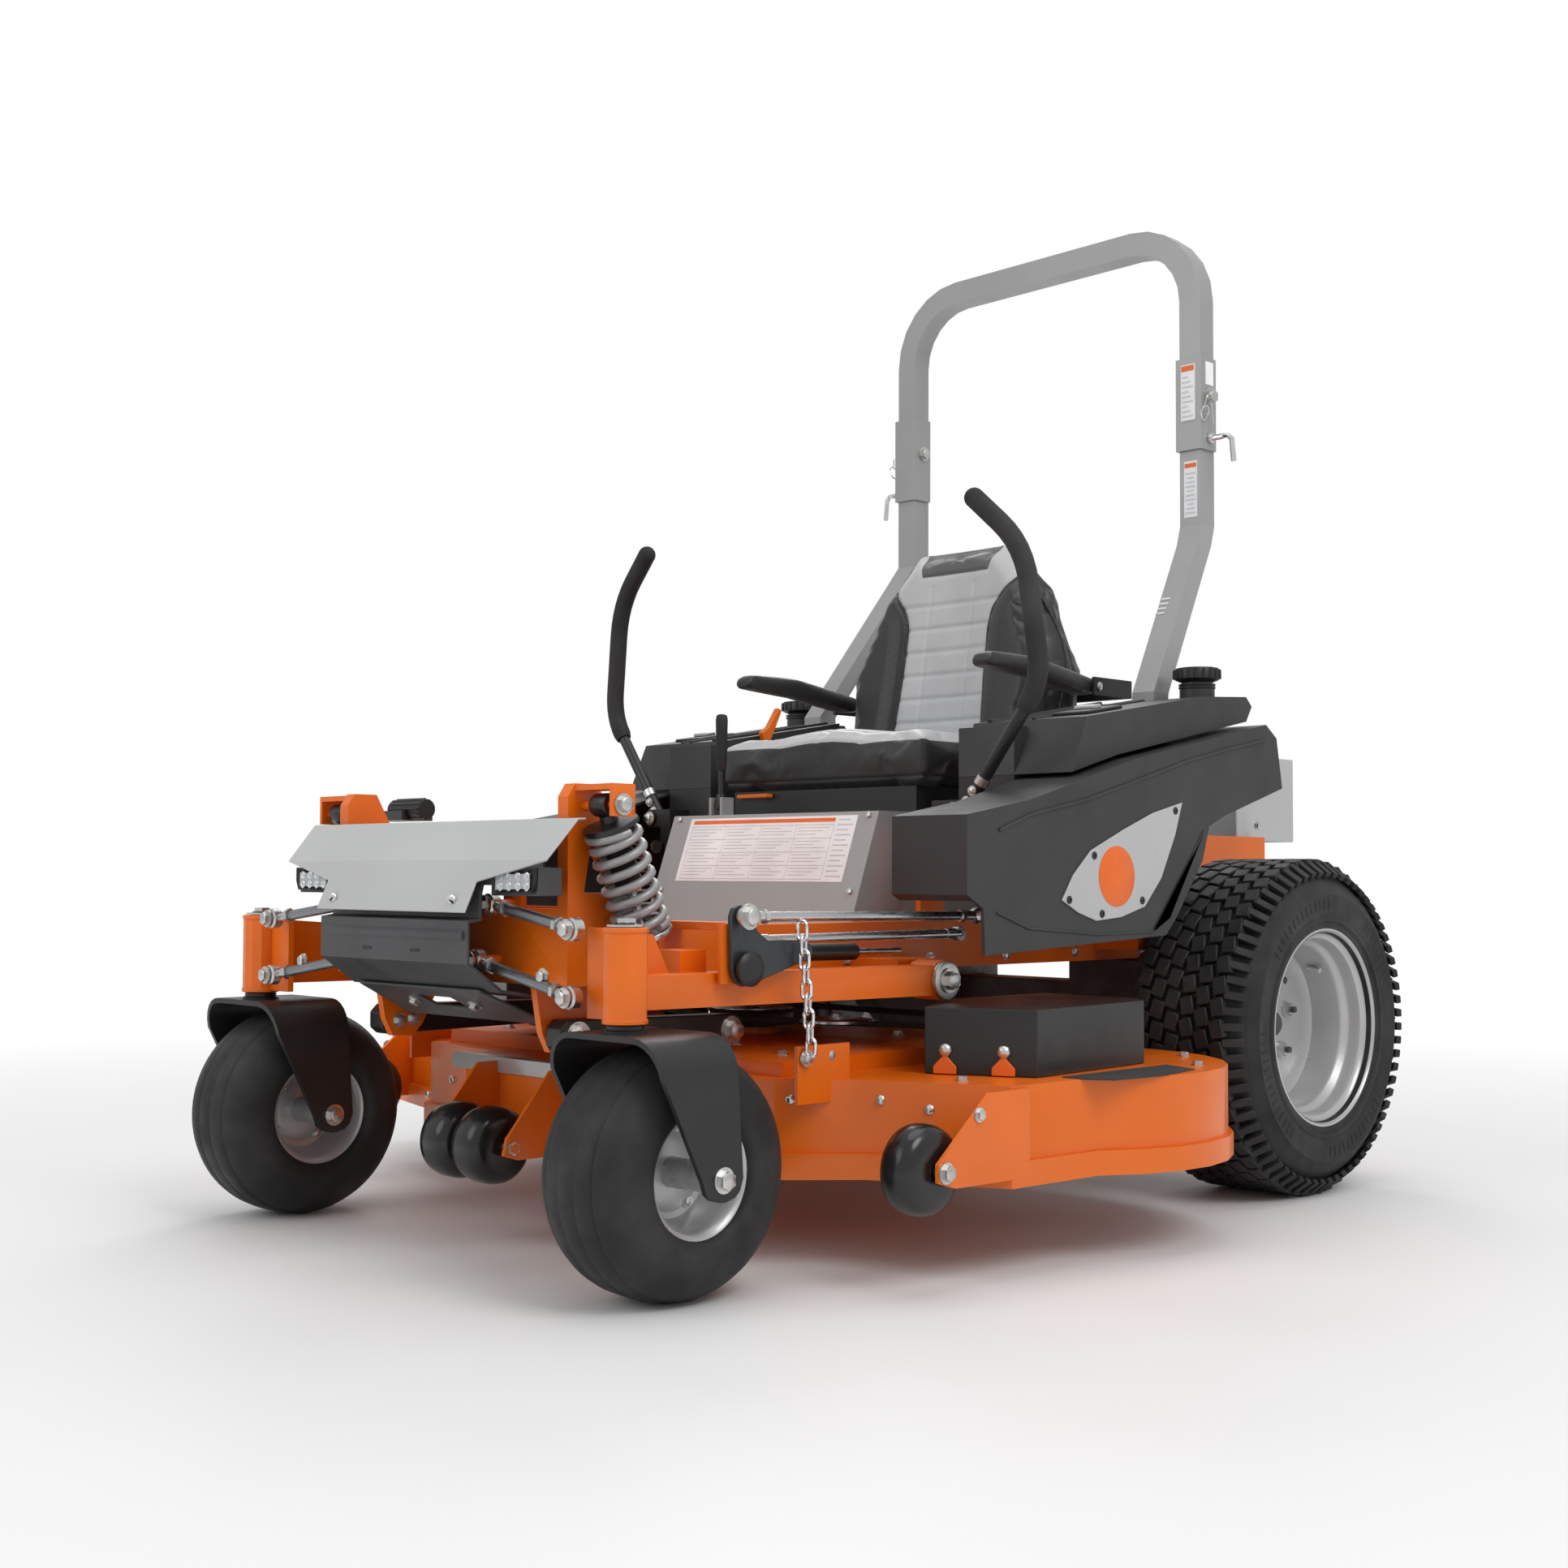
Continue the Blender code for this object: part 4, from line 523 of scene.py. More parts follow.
def makeRearTyres():
    half, carcass = rearTyre["half"], rearTyre["carcass"]
    centre = middle("rear_wheel_left")
    wall = [(0.1605, half - 0.030), (0.1625, half - 0.012), (0.172, half - 0.006), (0.180, half - 0.006),
            (0.183, half - 0.002), (0.187, half - 0.002), (0.190, half - 0.004), (0.202, half - 0.001),
            (0.222, half - 0.001), (0.225, half + 0.000), (0.229, half + 0.000), (0.232, half - 0.003),
            (0.245, half - 0.009), (0.256, half - 0.017), (0.266, half - 0.030),
            (carcass - 0.004, half - 0.045),
            (carcass, half - 0.065)]
    ringLine = wall + [(radius, -along) for radius, along in reversed(wall)]
    bm = bmesh.new()
    addTurned(bm, ringLine, centre, (1, 0, 0), 96, closed=True)
    block = treadBlock(rearTyre["block"])
    rib = treadBlock(rearTyre["rib"], 0.0012)
    tread = rearTyre["radius"] - rearTyre["block"][2] / 2
    places = []
    for row, offset in enumerate(rearTyre["rows"]):
        for sign in (-1, 1):
            for step in range(rearTyre["blocks"]):
                angle = math.tau * (step + (row % 2) * 0.5 + (sign > 0) * 0.25) / rearTyre["blocks"]
                lean = math.radians(rearTyre["skew"] * sign)
                places.append((angle, sign * offset, tread, 0.0, lean))
    for spot in places:
        addCopies(bm, block, [treadPlace(centre, *spot)])
    for sign in (-1, 1):
        for step in range(rearTyre["shoulderRibs"]):
            angle = math.tau * (step + (sign > 0) * 0.5) / rearTyre["shoulderRibs"]
            spot = treadPlace(centre, angle, sign * rearTyre["ribOut"], rearTyre["ribRadius"],
                              rearTyre["ribTilt"] * sign, 0.0)
            addCopies(bm, rib, [spot])
    ribs = treadBlock((0.0016, 0.0022, 0.018), 0.0004)
    for step in range(rearTyre["marks"]):  # fine radial marks on the outer wall, in four groups
        if step % 22 < 14:
            angle = math.tau * step / rearTyre["marks"]
            addCopies(bm, ribs, [treadPlace(centre, angle, half - 0.0010, rearTyre["markRadius"], 0.0,
                                            0.0)])
    finishPair("rear_tyre", bm, "rear_wheel", "tyre", 40.0, stands=("rear_wheel",))


# Where a tread block sits: round the axle, out by radius, tilted over the shoulder, turned on its face
def treadPlace(centre, angle, offset, radius, tilt, lean):
    return (Matrix.Translation(centre) @ Matrix.Rotation(angle, 4,
                                                         "X") @ Matrix.Translation((offset, 0, radius))
            @ Matrix.Rotation(math.radians(tilt), 4, "Y") @ Matrix.Rotation(lean, 4, "Z"))


rearRim = {"nuts": 5, "nutCircle": 0.0615, "holeCircle": 0.094, "holes": (0.9, 2.6, 4.9)}


def makeRearRims():
    centre = middle("rear_wheel_left")
    front = [(0.030, -0.004), (0.112, -0.004), (0.126, -0.002), (0.1365, 0.004), (0.1385, 0.012),
             (0.139, 0.056),
             (0.1425, 0.063), (0.148, 0.066), (0.1505, 0.071), (0.151, 0.082), (0.1535, 0.090),
             (0.159, 0.093),
             (0.162, 0.098), (0.1635, 0.106), (0.167, 0.1105), (0.1705, 0.110), (0.172, 0.106)]
    back = [(0.169, 0.104), (0.1655, 0.095), (0.1565, 0.088), (0.1545, 0.070), (0.1455, 0.060),
            (0.1425, 0.050),
            (0.1425, -0.060), (0.1545, -0.072), (0.1565, -0.088), (0.1655, -0.095), (0.171, -0.106),
            (0.167, -0.1105),
            (0.162, -0.098), (0.151, -0.086), (0.139, -0.058), (0.138, -0.014), (0.122, -0.010),
            (0.030, -0.010)]
    bm = bmesh.new()
    addTurned(bm, front + back, centre, (1, 0, 0), 96, closed=True)
    finishPair("rear_rim", bm, "rear_wheel", "rim", 40.0)
    bm = bmesh.new()
    hub = [(0, 0.014), (0.017, 0.014), (0.021, 0.010), (0.0225, 0.0), (0.029, -0.002), (0.0298, -0.020),
           (0.055, -0.022), (0.060, -0.034), (0, -0.034)]
    addTurned(bm, hub, centre, (1, 0, 0), 40)
    circle = rearRim["nutCircle"]
    spots = [centre + Vector((0, circle * math.cos(a), circle * math.sin(a)))
             for a in [math.tau * (step + 0.3) / rearRim["nuts"] for step in range(rearRim["nuts"])]]
    for spot in spots:
        addRod(bm, spot + Vector((-0.030, 0, 0)), spot + Vector((0.017, 0, 0)), 0.0055, 14)
    circle = rearRim["holeCircle"]
    for turn in rearRim["holes"]:  # dark discs where the disc's holes are: painted shade standing in for the openings
        spot = centre + Vector((0, circle * math.cos(turn), circle * math.sin(turn)))
        addRod(bm, spot + Vector((-0.0045, 0, 0)), spot + Vector((-0.0036, 0, 0)), 0.0065, 20)
    finishPair("rear_hub", bm, "rear_wheel", "iron", 35.0)
    bm = bmesh.new()
    for spot in spots:
        addRod(bm, spot + Vector((-0.004, 0, 0)), spot + Vector((0.010, 0, 0)), 0.0115, 6)
        addRod(bm, spot + Vector((-0.0045, 0, 0)), spot + Vector((0.001, 0, 0)), 0.014, 24)
    valve = centre + Vector((0.020, 0.096, 0.096))
    addRod(bm, valve, valve + Vector((0.026, -0.004, -0.004)), 0.0045, 12)
    finishPair("rear_nuts", bm, "rear_wheel", "zinc", 30.0)


caster = {"half": 0.0825, "radius": 0.165, "rim": 0.082, "legInner": 0.104, "plate": 0.008,
          "shoulder": 0.050}


def makeFrontWheels():
    half = caster["half"]
    centre = middle("front_wheel_left")
    wall = [(0.070, half - 0.034), (0.0795, half - 0.016), (0.084, half - 0.007), (0.092, half - 0.001),
            (0.104, half), (0.122, half - 0.0025), (0.137, half - 0.008), (0.1485, half - 0.017),
            (0.1558, half - 0.028),
            (0.1592, half - 0.0365), (0.1584, half - 0.0382), (0.1612, half - 0.0405),
            (0.1636, half - 0.052),
            (0.1646, 0.018), (0.1640, 0.0165), (0.1640, 0.0150), (0.1648, 0.0135), (0.1650, 0.002)]
    bm = bmesh.new()
    addTurned(bm, wall + [(radius, -along) for radius, along in reversed(wall)], centre, (1, 0, 0), 96,
              closed=True)
    finishPair("front_tyre", bm, "front_wheel", "tyre", 40.0, stands=("front_wheel",))
    outer = [(0.020, 0.016), (0.040, 0.016), (0.052, 0.010), (0.060, 0.012), (0.0655, 0.022),
             (0.069, 0.052),
             (0.0735, 0.064), (0.080, 0.069), (0.0838, 0.0705), (0.0848, 0.068)]
    inner = [(0.082, 0.066), (0.077, 0.062), (0.072, 0.050), (0.0685, 0.020), (0.062, 0.008),
             (0.052, 0.006),
             (0.040, 0.010), (0.020, 0.010)]
    bm = bmesh.new()
    for sign in (1, -1):
        line = [(radius, sign * along) for radius, along in outer + inner]
        addTurned(bm, line, centre, (1, 0, 0), 72, closed=True)
    addTurned(bm, [(0, 0.090), (0.016, 0.090), (0.019, 0.087), (0.0198, 0.030), (0.0198, -0.030),
                   (0.019, -0.087),
                   (0.016, -0.090), (0, -0.090)], centre, (1, 0, 0), 40)
    finishPair("front_rim", bm, "front_wheel", "rim", 40.0)
    bm = bmesh.new()
    for sign in (1, -1):
        for step in range(4):
            turn = math.tau * (step + 0.4) / 4
            spot = centre + Vector((sign * 0.0105, 0.050 * math.cos(turn), 0.050 * math.sin(turn)))
            addBolt(bm, spot, (sign, 0, 0), 0.007)
    finishPair("front_wheel_bolts", bm, "front_wheel", "zinc", 30.0)


def makeForks():
    centre = middle("front_wheel_left")
    low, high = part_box("caster_fork_left")
    reach, bend = caster["legInner"] + caster["plate"], caster["shoulder"]
    crown = 2 * caster["radius"] + 0.016
    foot = centre.z - 0.028
    path = [(-reach, foot), (-reach, foot + 0.004), (-reach, foot + 0.012), (-reach, centre.z),
            (-reach, centre.z + 0.04)]
    path += [(-reach, crown - bend - share * 0.05) for share in (1.0, 0.5)]
    corner = [(-reach + bend - bend * math.cos(a), crown - bend + bend * math.sin(a))
              for a in [math.radians(15 * step) for step in range(7)]]
    path += corner + [(-0.030, crown)]
    path += [(-x, z) for x, z in reversed(path)]

    # Front and rear edge of the bent plate at a height
    def edges(z):
        if z < centre.z:
            drop = (centre.z - z) / (centre.z - foot)
            narrow = 0.0305 * math.sqrt(max(0.0, 1 - drop ** 2)) + 0.004
            return centre.y - narrow, centre.y + narrow
        share = min(1.0, (z - centre.z) / (crown - bend - centre.z))
        return centre.y - 0.0345 - 0.0655 * share, centre.y + 0.0345 - 0.010 * share

    rows = []
    for x, z in path:
        front, rear = edges(z)
        lift = 0.0 if z < crown - bend else (z - crown + bend) / bend
        front -= 0.010 * lift
        rows.append([Vector((centre.x + x, front + (rear - front) * step / 6, z)) for step in range(7)])
    bm = bmesh.new()
    addGrid(bm, rows)
    bmesh.ops.reverse_faces(bm, faces=[face for face in bm.faces if facesIn(face, centre)])
    made = finishPair("fork_plate", bm, "caster_fork", "fork", 50.0, stands=("caster_fork",))
    for piece in made:
        thicken(piece, caster["plate"])
        roundEdges(piece, 0.0018, 2, 40.0)
    swivelY = centre.y - 0.0685
    bm = bmesh.new()
    swivel = Vector((centre.x, swivelY, 0))
    collar = [(0, crown - 0.001), (0.028, crown - 0.001), (0.028, crown + 0.003), (0.0245, crown + 0.005),
              (0.0245, 0.3555), (0.0172, 0.3565), (0.0172, 0.4835), (0.012, 0.4865), (0, 0.4865)]
    addTurned(bm, collar, swivel, (0, 0, 1), 40)
    finishPair("fork_stem", bm, "caster_fork", "black", 40.0)
    bm = bmesh.new()
    for sign in (1, -1):
        spot = Vector((centre.x + sign * reach, centre.y, centre.z))
        addBolt(bm, spot - Vector((sign * 0.001, 0, 0)), (sign, 0, 0), 0.0135)
    addRod(bm, (centre.x - reach + 0.002, centre.y, centre.z),
           (centre.x + reach - 0.002, centre.y, centre.z), 0.009, 20)
    addRod(bm, swivel + Vector((0, 0, 0.481)), swivel + Vector((0, 0, 0.4835)), 0.0245, 28)
    addRod(bm, swivel + Vector((0, 0, 0.4835)), swivel + Vector((0, 0, 0.4915)), 0.0135, 6)
    finishPair("fork_bolts", bm, "caster_fork", "zinc", 30.0)


# True where a face of the fork's plate looks at the wheel
def facesIn(face, centre):
    away = face.calc_center_median() - centre
    away.y = 0
    return face.normal.dot(away) < 0


makeRearTyres()
makeRearRims()
makeFrontWheels()
makeForks()
print("wheels done")


armPivot = (-0.180, 0.391)
linkEnds = {"upper": ((0.160, -0.801, 0.505), (0.374, -0.826, 0.476)),
            "lower": ((0.130, -0.801, 0.427), (0.373, -0.828, 0.388))}
shock = {"top": (0.325, -0.736, 0.641), "bottom": (0.325, -0.648, 0.430), "turns": 8, "coil": 0.0342,
         "wire": 0.0064}


def makeArms():
    for side, sign in sides:
        refine(f"swing_arm_{side}", "orange", 0.0022, 3)
    y, z = armPivot
    bm = bmesh.new()
    bush = [(0.0115, 0.0), (0.022, 0.0), (0.024, 0.0015), (0.0285, 0.0015), (0.0285, 0.0045),
            (0.0265, 0.005),
            (0.0265, 0.0065), (0.0285, 0.007), (0.0285, 0.0095), (0.025, 0.0105), (0.0115, 0.0105)]
    addTurned(bm, bush, at(0.4505, y, z), (1, 0, 0), 40, closed=True)
    finishPair("arm_bush", bm, "swing_arm", "zinc", 30.0)
    bm = bmesh.new()
    addBolt(bm, at(0.4615, y, z), (1, 0, 0), 0.015)
    finishPair("arm_bolt", bm, "chassis", "zinc", 30.0)
    bm = bmesh.new()  # grease fitting and seam on the swivel tube
    spot = at(0.451, -0.8035, 0)
    for height in (0.3575, 0.4735):
        ringLine = [(0.0190, height), (0.0297, height), (0.0297, height + 0.006), (0.0190, height + 0.006)]
        addTurned(bm, ringLine, spot, (0, 0, 1), 40, closed=True)
    finishPair("tube_lips", bm, "swing_arm", "orange", 40.0, 0.001)


def makeLinks():
    for name, (inner, outer) in linkEnds.items():
        start, end = at(*inner), at(*outer)
        run = (end - start).normalized()
        bm = bmesh.new()
        addRod(bm, start + run * 0.034, end - run * 0.034, 0.0078, 20)
        finishPair(f"{name}_link_bar", bm, f"{name}_link", "dullSteel", 30.0, stands=(f"{name}_link",))
        bm = bmesh.new()
        for spot, into in ((start, run), (end, -run)):
            addRod(bm, spot + into * 0.012, spot + into * 0.040, 0.0062, 16)
            addRod(bm, spot + into * 0.034, spot + into * 0.042, 0.0115, 6)
            eye = [(0.0078, -0.009), (0.0130, -0.009), (0.0155, -0.006), (0.0155, 0.006), (0.0130, 0.009),
                   (0.0078, 0.009)]
            addTurned(bm, eye, spot, (0, 1, 0), 28, closed=True)
        addTurned(bm, [(0, -0.0115), (0.0085, -0.0115), (0.0085, 0.0115), (0, 0.0115)], end, (0, 1, 0), 24)
        addBolt(bm, end - Vector((0, 0.0112, 0)), (0, -1, 0), 0.011)
        finishPair(f"{name}_link_ends", bm, f"{name}_link", "zinc", 30.0)
        bm = bmesh.new()
        addBolt(bm, start - Vector((0, 0.0145, 0)), (0, -1, 0), 0.011)
        finishPair(f"{name}_link_bolt", bm, "chassis", "zinc", 30.0)


def makeShocks():
    top, bottom = at(*shock["top"]), at(*shock["bottom"])
    down = (bottom - top).normalized()
    length = (bottom - top).length

    def place(distance):
        return top + down * distance

    bm = bmesh.new()
    body = [(0, 0.014), (0.012, 0.014), (0.013, 0.024), (0.0385, 0.0265), (0.0395, 0.0285),
            (0.0395, 0.0330),
            (0.0215, 0.0345), (0.0205, 0.044), (0.0190, 0.046), (0.0190, 0.114), (0.0170, 0.117),
            (0, 0.117)]
    addTurned(bm, body, top, down, 40)
    addTurned(bm, [(0.0085, -0.0165), (0.0145, -0.0165), (0.0160, -0.014), (0.0160, 0.014),
                   (0.0145, 0.0165), (0.0085, 0.0165)],
              top, (1, 0, 0), 32, closed=True)
    finishPair("shock_tube", bm, "shock_body", "black", 35.0, stands=("shock_body",))
    bm = bmesh.new()
    rod = [(0, 0.100), (0.0068, 0.100), (0.0068, 0.186), (0.0385, 0.1865), (0.0395, 0.1885),
           (0.0395, 0.1930),
           (0.0380, 0.1950), (0.0150, 0.1970), (0.0120, 0.203), (0.0115, 0.210), (0, 0.210)]
    addTurned(bm, rod, top, down, 40)
    addTurned(bm, [(0.0108, -0.0135), (0.0160, -0.0135), (0.0172, -0.011), (0.0172, 0.011),
                   (0.0160, 0.0135), (0.0108, 0.0135)],
              place(length), (1, 0, 0), 32, closed=True)
    finishPair("shock_stem", bm, "shock_rod", "steel", 35.0, stands=("shock_rod",))
    turns, coil, wire = shock["turns"], shock["coil"], shock["wire"]
    first, last = 0.0335 + wire, 0.1860 - wire
    across = Vector((1, 0, 0))
    other = down.cross(across)
    points = []
    for step in range(turns * 24 + 1):
        share = step / (turns * 24)
        rise = min(1.0, max(0.0, (share - 0.06) / 0.88))  # the end coils lie flat on their seats
        turn = math.tau * turns * share
        outwards = across * math.cos(turn) + other * math.sin(turn)
        points.append(place(first + (last - first) * rise) + coil * outwards)
    bm = bmesh.new()
    addTube(bm, points, wire, 12, smoothPath=False)
    other = mirrorShape(bm)
    for (side, sign), shape in zip(sides, (bm, other)):
        piece = finishPiece(f"coil_{side}", shape, f"shock_body_{side}", "spring", 60.0)
        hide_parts(f"spring_{side}")
        piece.parent = None
        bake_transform(piece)
    bm = bmesh.new()
    addBolt(bm, top + Vector((0.0385, 0, 0)), (1, 0, 0), 0.012)
    addBolt(bm, top - Vector((0.0415, 0, 0)), (-1, 0, 0), 0.012)
    finishPair("shock_bolts", bm, "chassis", "zinc", 30.0)


makeArms()
makeLinks()
makeShocks()
print("suspension done")


frontCover = {"screws": (0.150, -0.8585, 0.512)}
lampPod = {"inner": 0.205, "outer": 0.298, "low": 0.518, "high": 0.556, "front": -0.826}


def makeFrames():
    refine("main_frame", "orange", 0.0018, 2)
    refine("front_frame", "orange", 0.0018, 2)
    refine("hydro_drive", "iron", 0.003, 2)
    bm = bmesh.new()  # deck hanger bars outside their brackets
    bar = [(-0.738, 0.310), (-0.738, 0.334), (-0.726, 0.346), (-0.404, 0.340), (-0.392, 0.330),
           (-0.392, 0.304), (-0.726, 0.300)]
    addPlate(bm, bar, "x", 0.2025, 0.2375)
    onMachine(bm)
    finishPair("hanger_bar", bm, "chassis", "black", 30.0, 0.003)
    bm = bmesh.new()
    plate = [(-0.756, 0.400), (-0.742, 0.326), (-0.728, 0.299), (-0.690, 0.296), (-0.672, 0.316),
             (-0.628, 0.400)]
    addPlate(bm, plate, "x", 0.1885, 0.2015)
    onMachine(bm)
    finishPair("hanger_bracket", bm, "chassis", "orange", 30.0, 0.0015)
    bm = bmesh.new()
    for y, z in ((-0.707, 0.322), (-0.416, 0.316)):
        addRod(bm, at(0.2375, y, z), at(0.2390, y, z), 0.0215, 28)
        addBolt(bm, at(0.2390, y, z), (1, 0, 0), 0.0150)
    addBolt(bm, at(0.1885, -0.716, 0.322), (-1, 0, 0), 0.0095)
    addBolt(bm, at(0.1885, -0.690, 0.324), (-1, 0, 0), 0.0095)
    for x, y, z in ((0.365, -0.519, 0.400), (0.300, -0.817, 0.412), (0.090, -0.817, 0.412)):
        addBolt(bm, at(x, y, z), (0, -1, 0), 0.009)
    finishPair("frame_bolts", bm, "chassis", "zinc", 30.0)
    bm = bmesh.new()
    for step in range(6):  # carriage bolts along the side rails
        addBolt(bm, at(0.3375, -0.46 + 0.19 * step, 0.418), (1, 0, 0), 0.007)
    finishPair("rail_bolts", bm, "chassis", "zinc", 30.0)


def makeFrontCover():
    refine("front_cover", "plate", 0.0045, 3, 25.0)
    bm = bmesh.new()
    x, y, z = frontCover["screws"]
    out = Vector((0, -0.912, -0.411))
    for sign in (-1, 1):
        spot = at(sign * x, y, z)
        addRod(bm, spot, spot + out * 0.0022, 0.0085, 24)
        addRod(bm, spot + out * 0.0022, spot + out * 0.0034, 0.0078, 24, 0.0068)
    finishPiece("cover_screws", bm, "chassis", "zinc", 30.0)
    # black bars on the screw heads: painted shade for the slots' recesses
    bm = bmesh.new()
    for sign in (-1, 1):
        spot = at(sign * x, y, z) + out * 0.0032
        slot = addBlock(bm, spot - Vector((0.0060, 0.0010, 0.0010)),
                        spot + Vector((0.0060, 0.0010, 0.0010)))
        bmesh.ops.rotate(bm, cent=spot, matrix=Matrix.Rotation(0.6 * sign, 3, "Y"), verts=slot)
    finishPiece("cover_screw_slot_shade", bm, "chassis", "trim", 30.0)


def makeFascia():
    refine("front_fascia", "skirt", 0.003, 3, 30.0)
    bm = bmesh.new()  # ridge line and its two slots; the slots are black blocks, painted shade for their openings
    for sign in (-1, 1):
        addBlock(bm, at(sign * 0.060 - 0.011, -0.8592, 0.4385), at(sign * 0.060 + 0.011, -0.8570, 0.4425))
    finishPiece("skirt_slot_shade", bm, "chassis", "trim", 30.0, 0.0008)
    bm = bmesh.new()
    addPlate(bm, [(-0.8575, 0.455), (-0.8625, 0.461), (-0.8625, 0.466), (-0.8575, 0.472)], "x", -0.176,
             0.176)
    onMachine(bm)
    finishPiece("skirt_ridge", bm, "chassis", "skirt", 30.0, 0.001)
    pod = lampPod
    bm = bmesh.new()
    outline = [(pod["inner"], pod["low"]), (pod["outer"] - 0.006, pod["low"] + 0.004),
               (pod["outer"], pod["low"] + 0.018),
               (pod["outer"], pod["high"]), (pod["inner"], pod["high"] - 0.004)]
    addPlate(bm, outline, "y", pod["front"] - 0.0015, pod["front"] - 0.0080)
    opening = [(pod["inner"] + 0.008, pod["low"] + 0.008), (pod["outer"] - 0.010, pod["low"] + 0.010),
               (pod["outer"] - 0.010, pod["high"] - 0.008), (pod["inner"] + 0.008, pod["high"] - 0.010)]
    onMachine(bm)
    front = min(bm.faces, key=lambda face: face.calc_center_median().y)
    bmesh.ops.inset_region(bm, faces=[front], thickness=0.007, depth=0.0)
    bmesh.ops.translate(bm, vec=(0, 0.0045, 0), verts=front.verts)
    finishPair("lamp_bezel", bm, "chassis", "trim", 30.0, 0.0008)
    bm = bmesh.new()
    for step in range(4):  # bright bowls behind the lamp's lens
        x = pod["inner"] + 0.017 + 0.0195 * step
        for z in (0.5305, 0.5440):
            addTurned(bm, [(0.0022, 0.0002), (0.0055, 0.0022), (0.0062, 0.0030), (0.0050, 0.0036),
                           (0.0020, 0.0012)],
                      at(x, pod["front"] - 0.0036, z), (0, -1, 0), 16, closed=True)
    finishPair("lamp_bowls", bm, "chassis", "chrome", 40.0)
    bm = bmesh.new()
    addPlate(bm, opening, "y", pod["front"] - 0.0072, pod["front"] - 0.0060)
    onMachine(bm)
    finishPair("lamp_lens", bm, "chassis", "glass", 30.0)


skidGuard = {"front": (0.150, -0.812, 0.386), "rear": (0.176, -0.706, 0.336), "window": 0.45}


# The bent plate under the skirt, with its window and bolts
def makeSkidGuard():
    half0, y0, z0 = skidGuard["front"]
    half1, y1, z1 = skidGuard["rear"]
    boltY, boltZ = y0 + (y1 - y0) * skidGuard["window"], z0 + (z1 - z0) * skidGuard["window"]
    bm = bmesh.new()
    rows = []
    for share in (0.0, 0.28, 0.62, 1.0):
        half = half0 + (half1 - half0) * share
        y, z = y0 + (y1 - y0) * share, z0 + (z1 - z0) * share
        rows.append([at(x, y, z) for x in (-half, -0.105, -0.040, 0.040, 0.105, half)])
    addGrid(bm, rows)
    windows = []
    for face in bm.faces:
        away = face.calc_center_median() - at(0, boltY, 0)
        if abs(away.x) < 0.02 and abs(away.y) < 0.012:
            windows.append(face)
    bmesh.ops.delete(bm, geom=windows, context="FACES")
    piece = finishPiece("skid_guard", bm, "chassis", "skirt", 30.0)
    thicken(piece, 0.004, 0.0)
    roundEdges(piece, 0.0012, 2)
    bm = bmesh.new()
    for sign in (-1, 1):
        addBolt(bm, at(sign * 0.075, boltY, boltZ - 0.002), (0, -0.42, -0.91), 0.009)
    finishPiece("skid_bolts", bm, "chassis", "zinc", 30.0)


# The seat's riser with its instruction sheet: blank rules and boxes only
def makeRiser():
    refine("seat_riser", "silver", 0.004, 3, 25.0)
    top, low = at(0, -0.099, 0.652), at(0, -0.156, 0.507)
    shape = nodeShape("seat_riser")
    tree = BVHTree.FromBMesh(shape)
    shape.free()
    before = (top + low) / 2 + Vector((0, -0.3, 0.1))
    hit, out = tree.ray_cast(before, Vector((0, 1,
                                             -0.33)).normalized())[:2]  # the panel's middle and its normal
    down = Vector((0, out.z, -out.y))
    down = -down if down.z > 0 else down

    # A thin rectangle on the panel; s runs down the panel from its middle
    def strip(bm, x0, x1, s0, s1, lift):
        corners = [hit + down * s0, hit + down * s1]
        part = [bm.verts.new((midX + x, spot.y, spot.z)) for x, spot in
                ((x0, corners[0]), (x1, corners[0]), (x1, corners[1]), (x0, corners[1]))]
        face = bm.faces.new(part)
        grown = bmesh.ops.extrude_face_region(bm, geom=[face])
        moved = [item for item in grown["geom"] if isinstance(item, bmesh.types.BMVert)]
        bmesh.ops.translate(bm, vec=out * lift, verts=moved)
        bmesh.ops.recalc_face_normals(bm, faces=bm.faces)

    bm = bmesh.new()
    strip(bm, -0.198, 0.204, -0.070, 0.046, 0.0006)
    finishPiece("sheet_base", bm, "chassis", "label", 30.0)
    bm = bmesh.new()
    strip(bm, -0.188, 0.156, -0.066, -0.0595, 0.0010)
    finishPiece("sheet_header", bm, "chassis", "labelOrange", 30.0)
    bm = bmesh.new()
    for s in (-0.055, -0.031, -0.007, 0.017, 0.041):
        strip(bm, -0.188, 0.156, s, s + 0.0007, 0.0010)
    for x in (-0.188, -0.102, -0.016, 0.070, 0.1555):
        strip(bm, x, x + 0.0008, -0.055, 0.0417, 0.0010)
    for row in range(4):  # blank bars where words would stand
        for column in range(4):
            for line in range(3):
                s = -0.0500 + 0.024 * row + 0.0058 * line
                reach = 0.072 - 0.014 * ((row + column + line) % 3)
                strip(bm, -0.183 + 0.086 * column, -0.183 + 0.086 * column + reach, s, s + 0.0009, 0.0010)
    for line in range(12):
        strip(bm, 0.164, 0.164 + (0.034 if line % 2 else 0.026), -0.064 + 0.0090 * line,
              -0.0620 + 0.0090 * line, 0.0010)
    finishPiece("sheet_rules", bm, "chassis", "labelInk", 30.0)
    bm = bmesh.new()
    for sign in (-1, 1):
        for s in (-0.070, 0.062):
            spot = hit + down * s + Vector((sign * 0.228 - (hit.x - midX), 0, 0))
            addBolt(bm, spot, out, 0.006, False)
    finishPiece("riser_bolts", bm, "chassis", "zinc", 30.0)


makeFrames()
makeFrontCover()
makeFascia()
makeSkidGuard()
makeRiser()
print("front done")


lapBar = {"pivot": (0.366, -0.027, 0.652), "knee": (0.513, -0.021, 0.850), "bend": (0.486, -0.029, 1.063),
          "tip": (0.392, -0.042, 1.152), "bar": 0.0105, "grip": 0.0163}


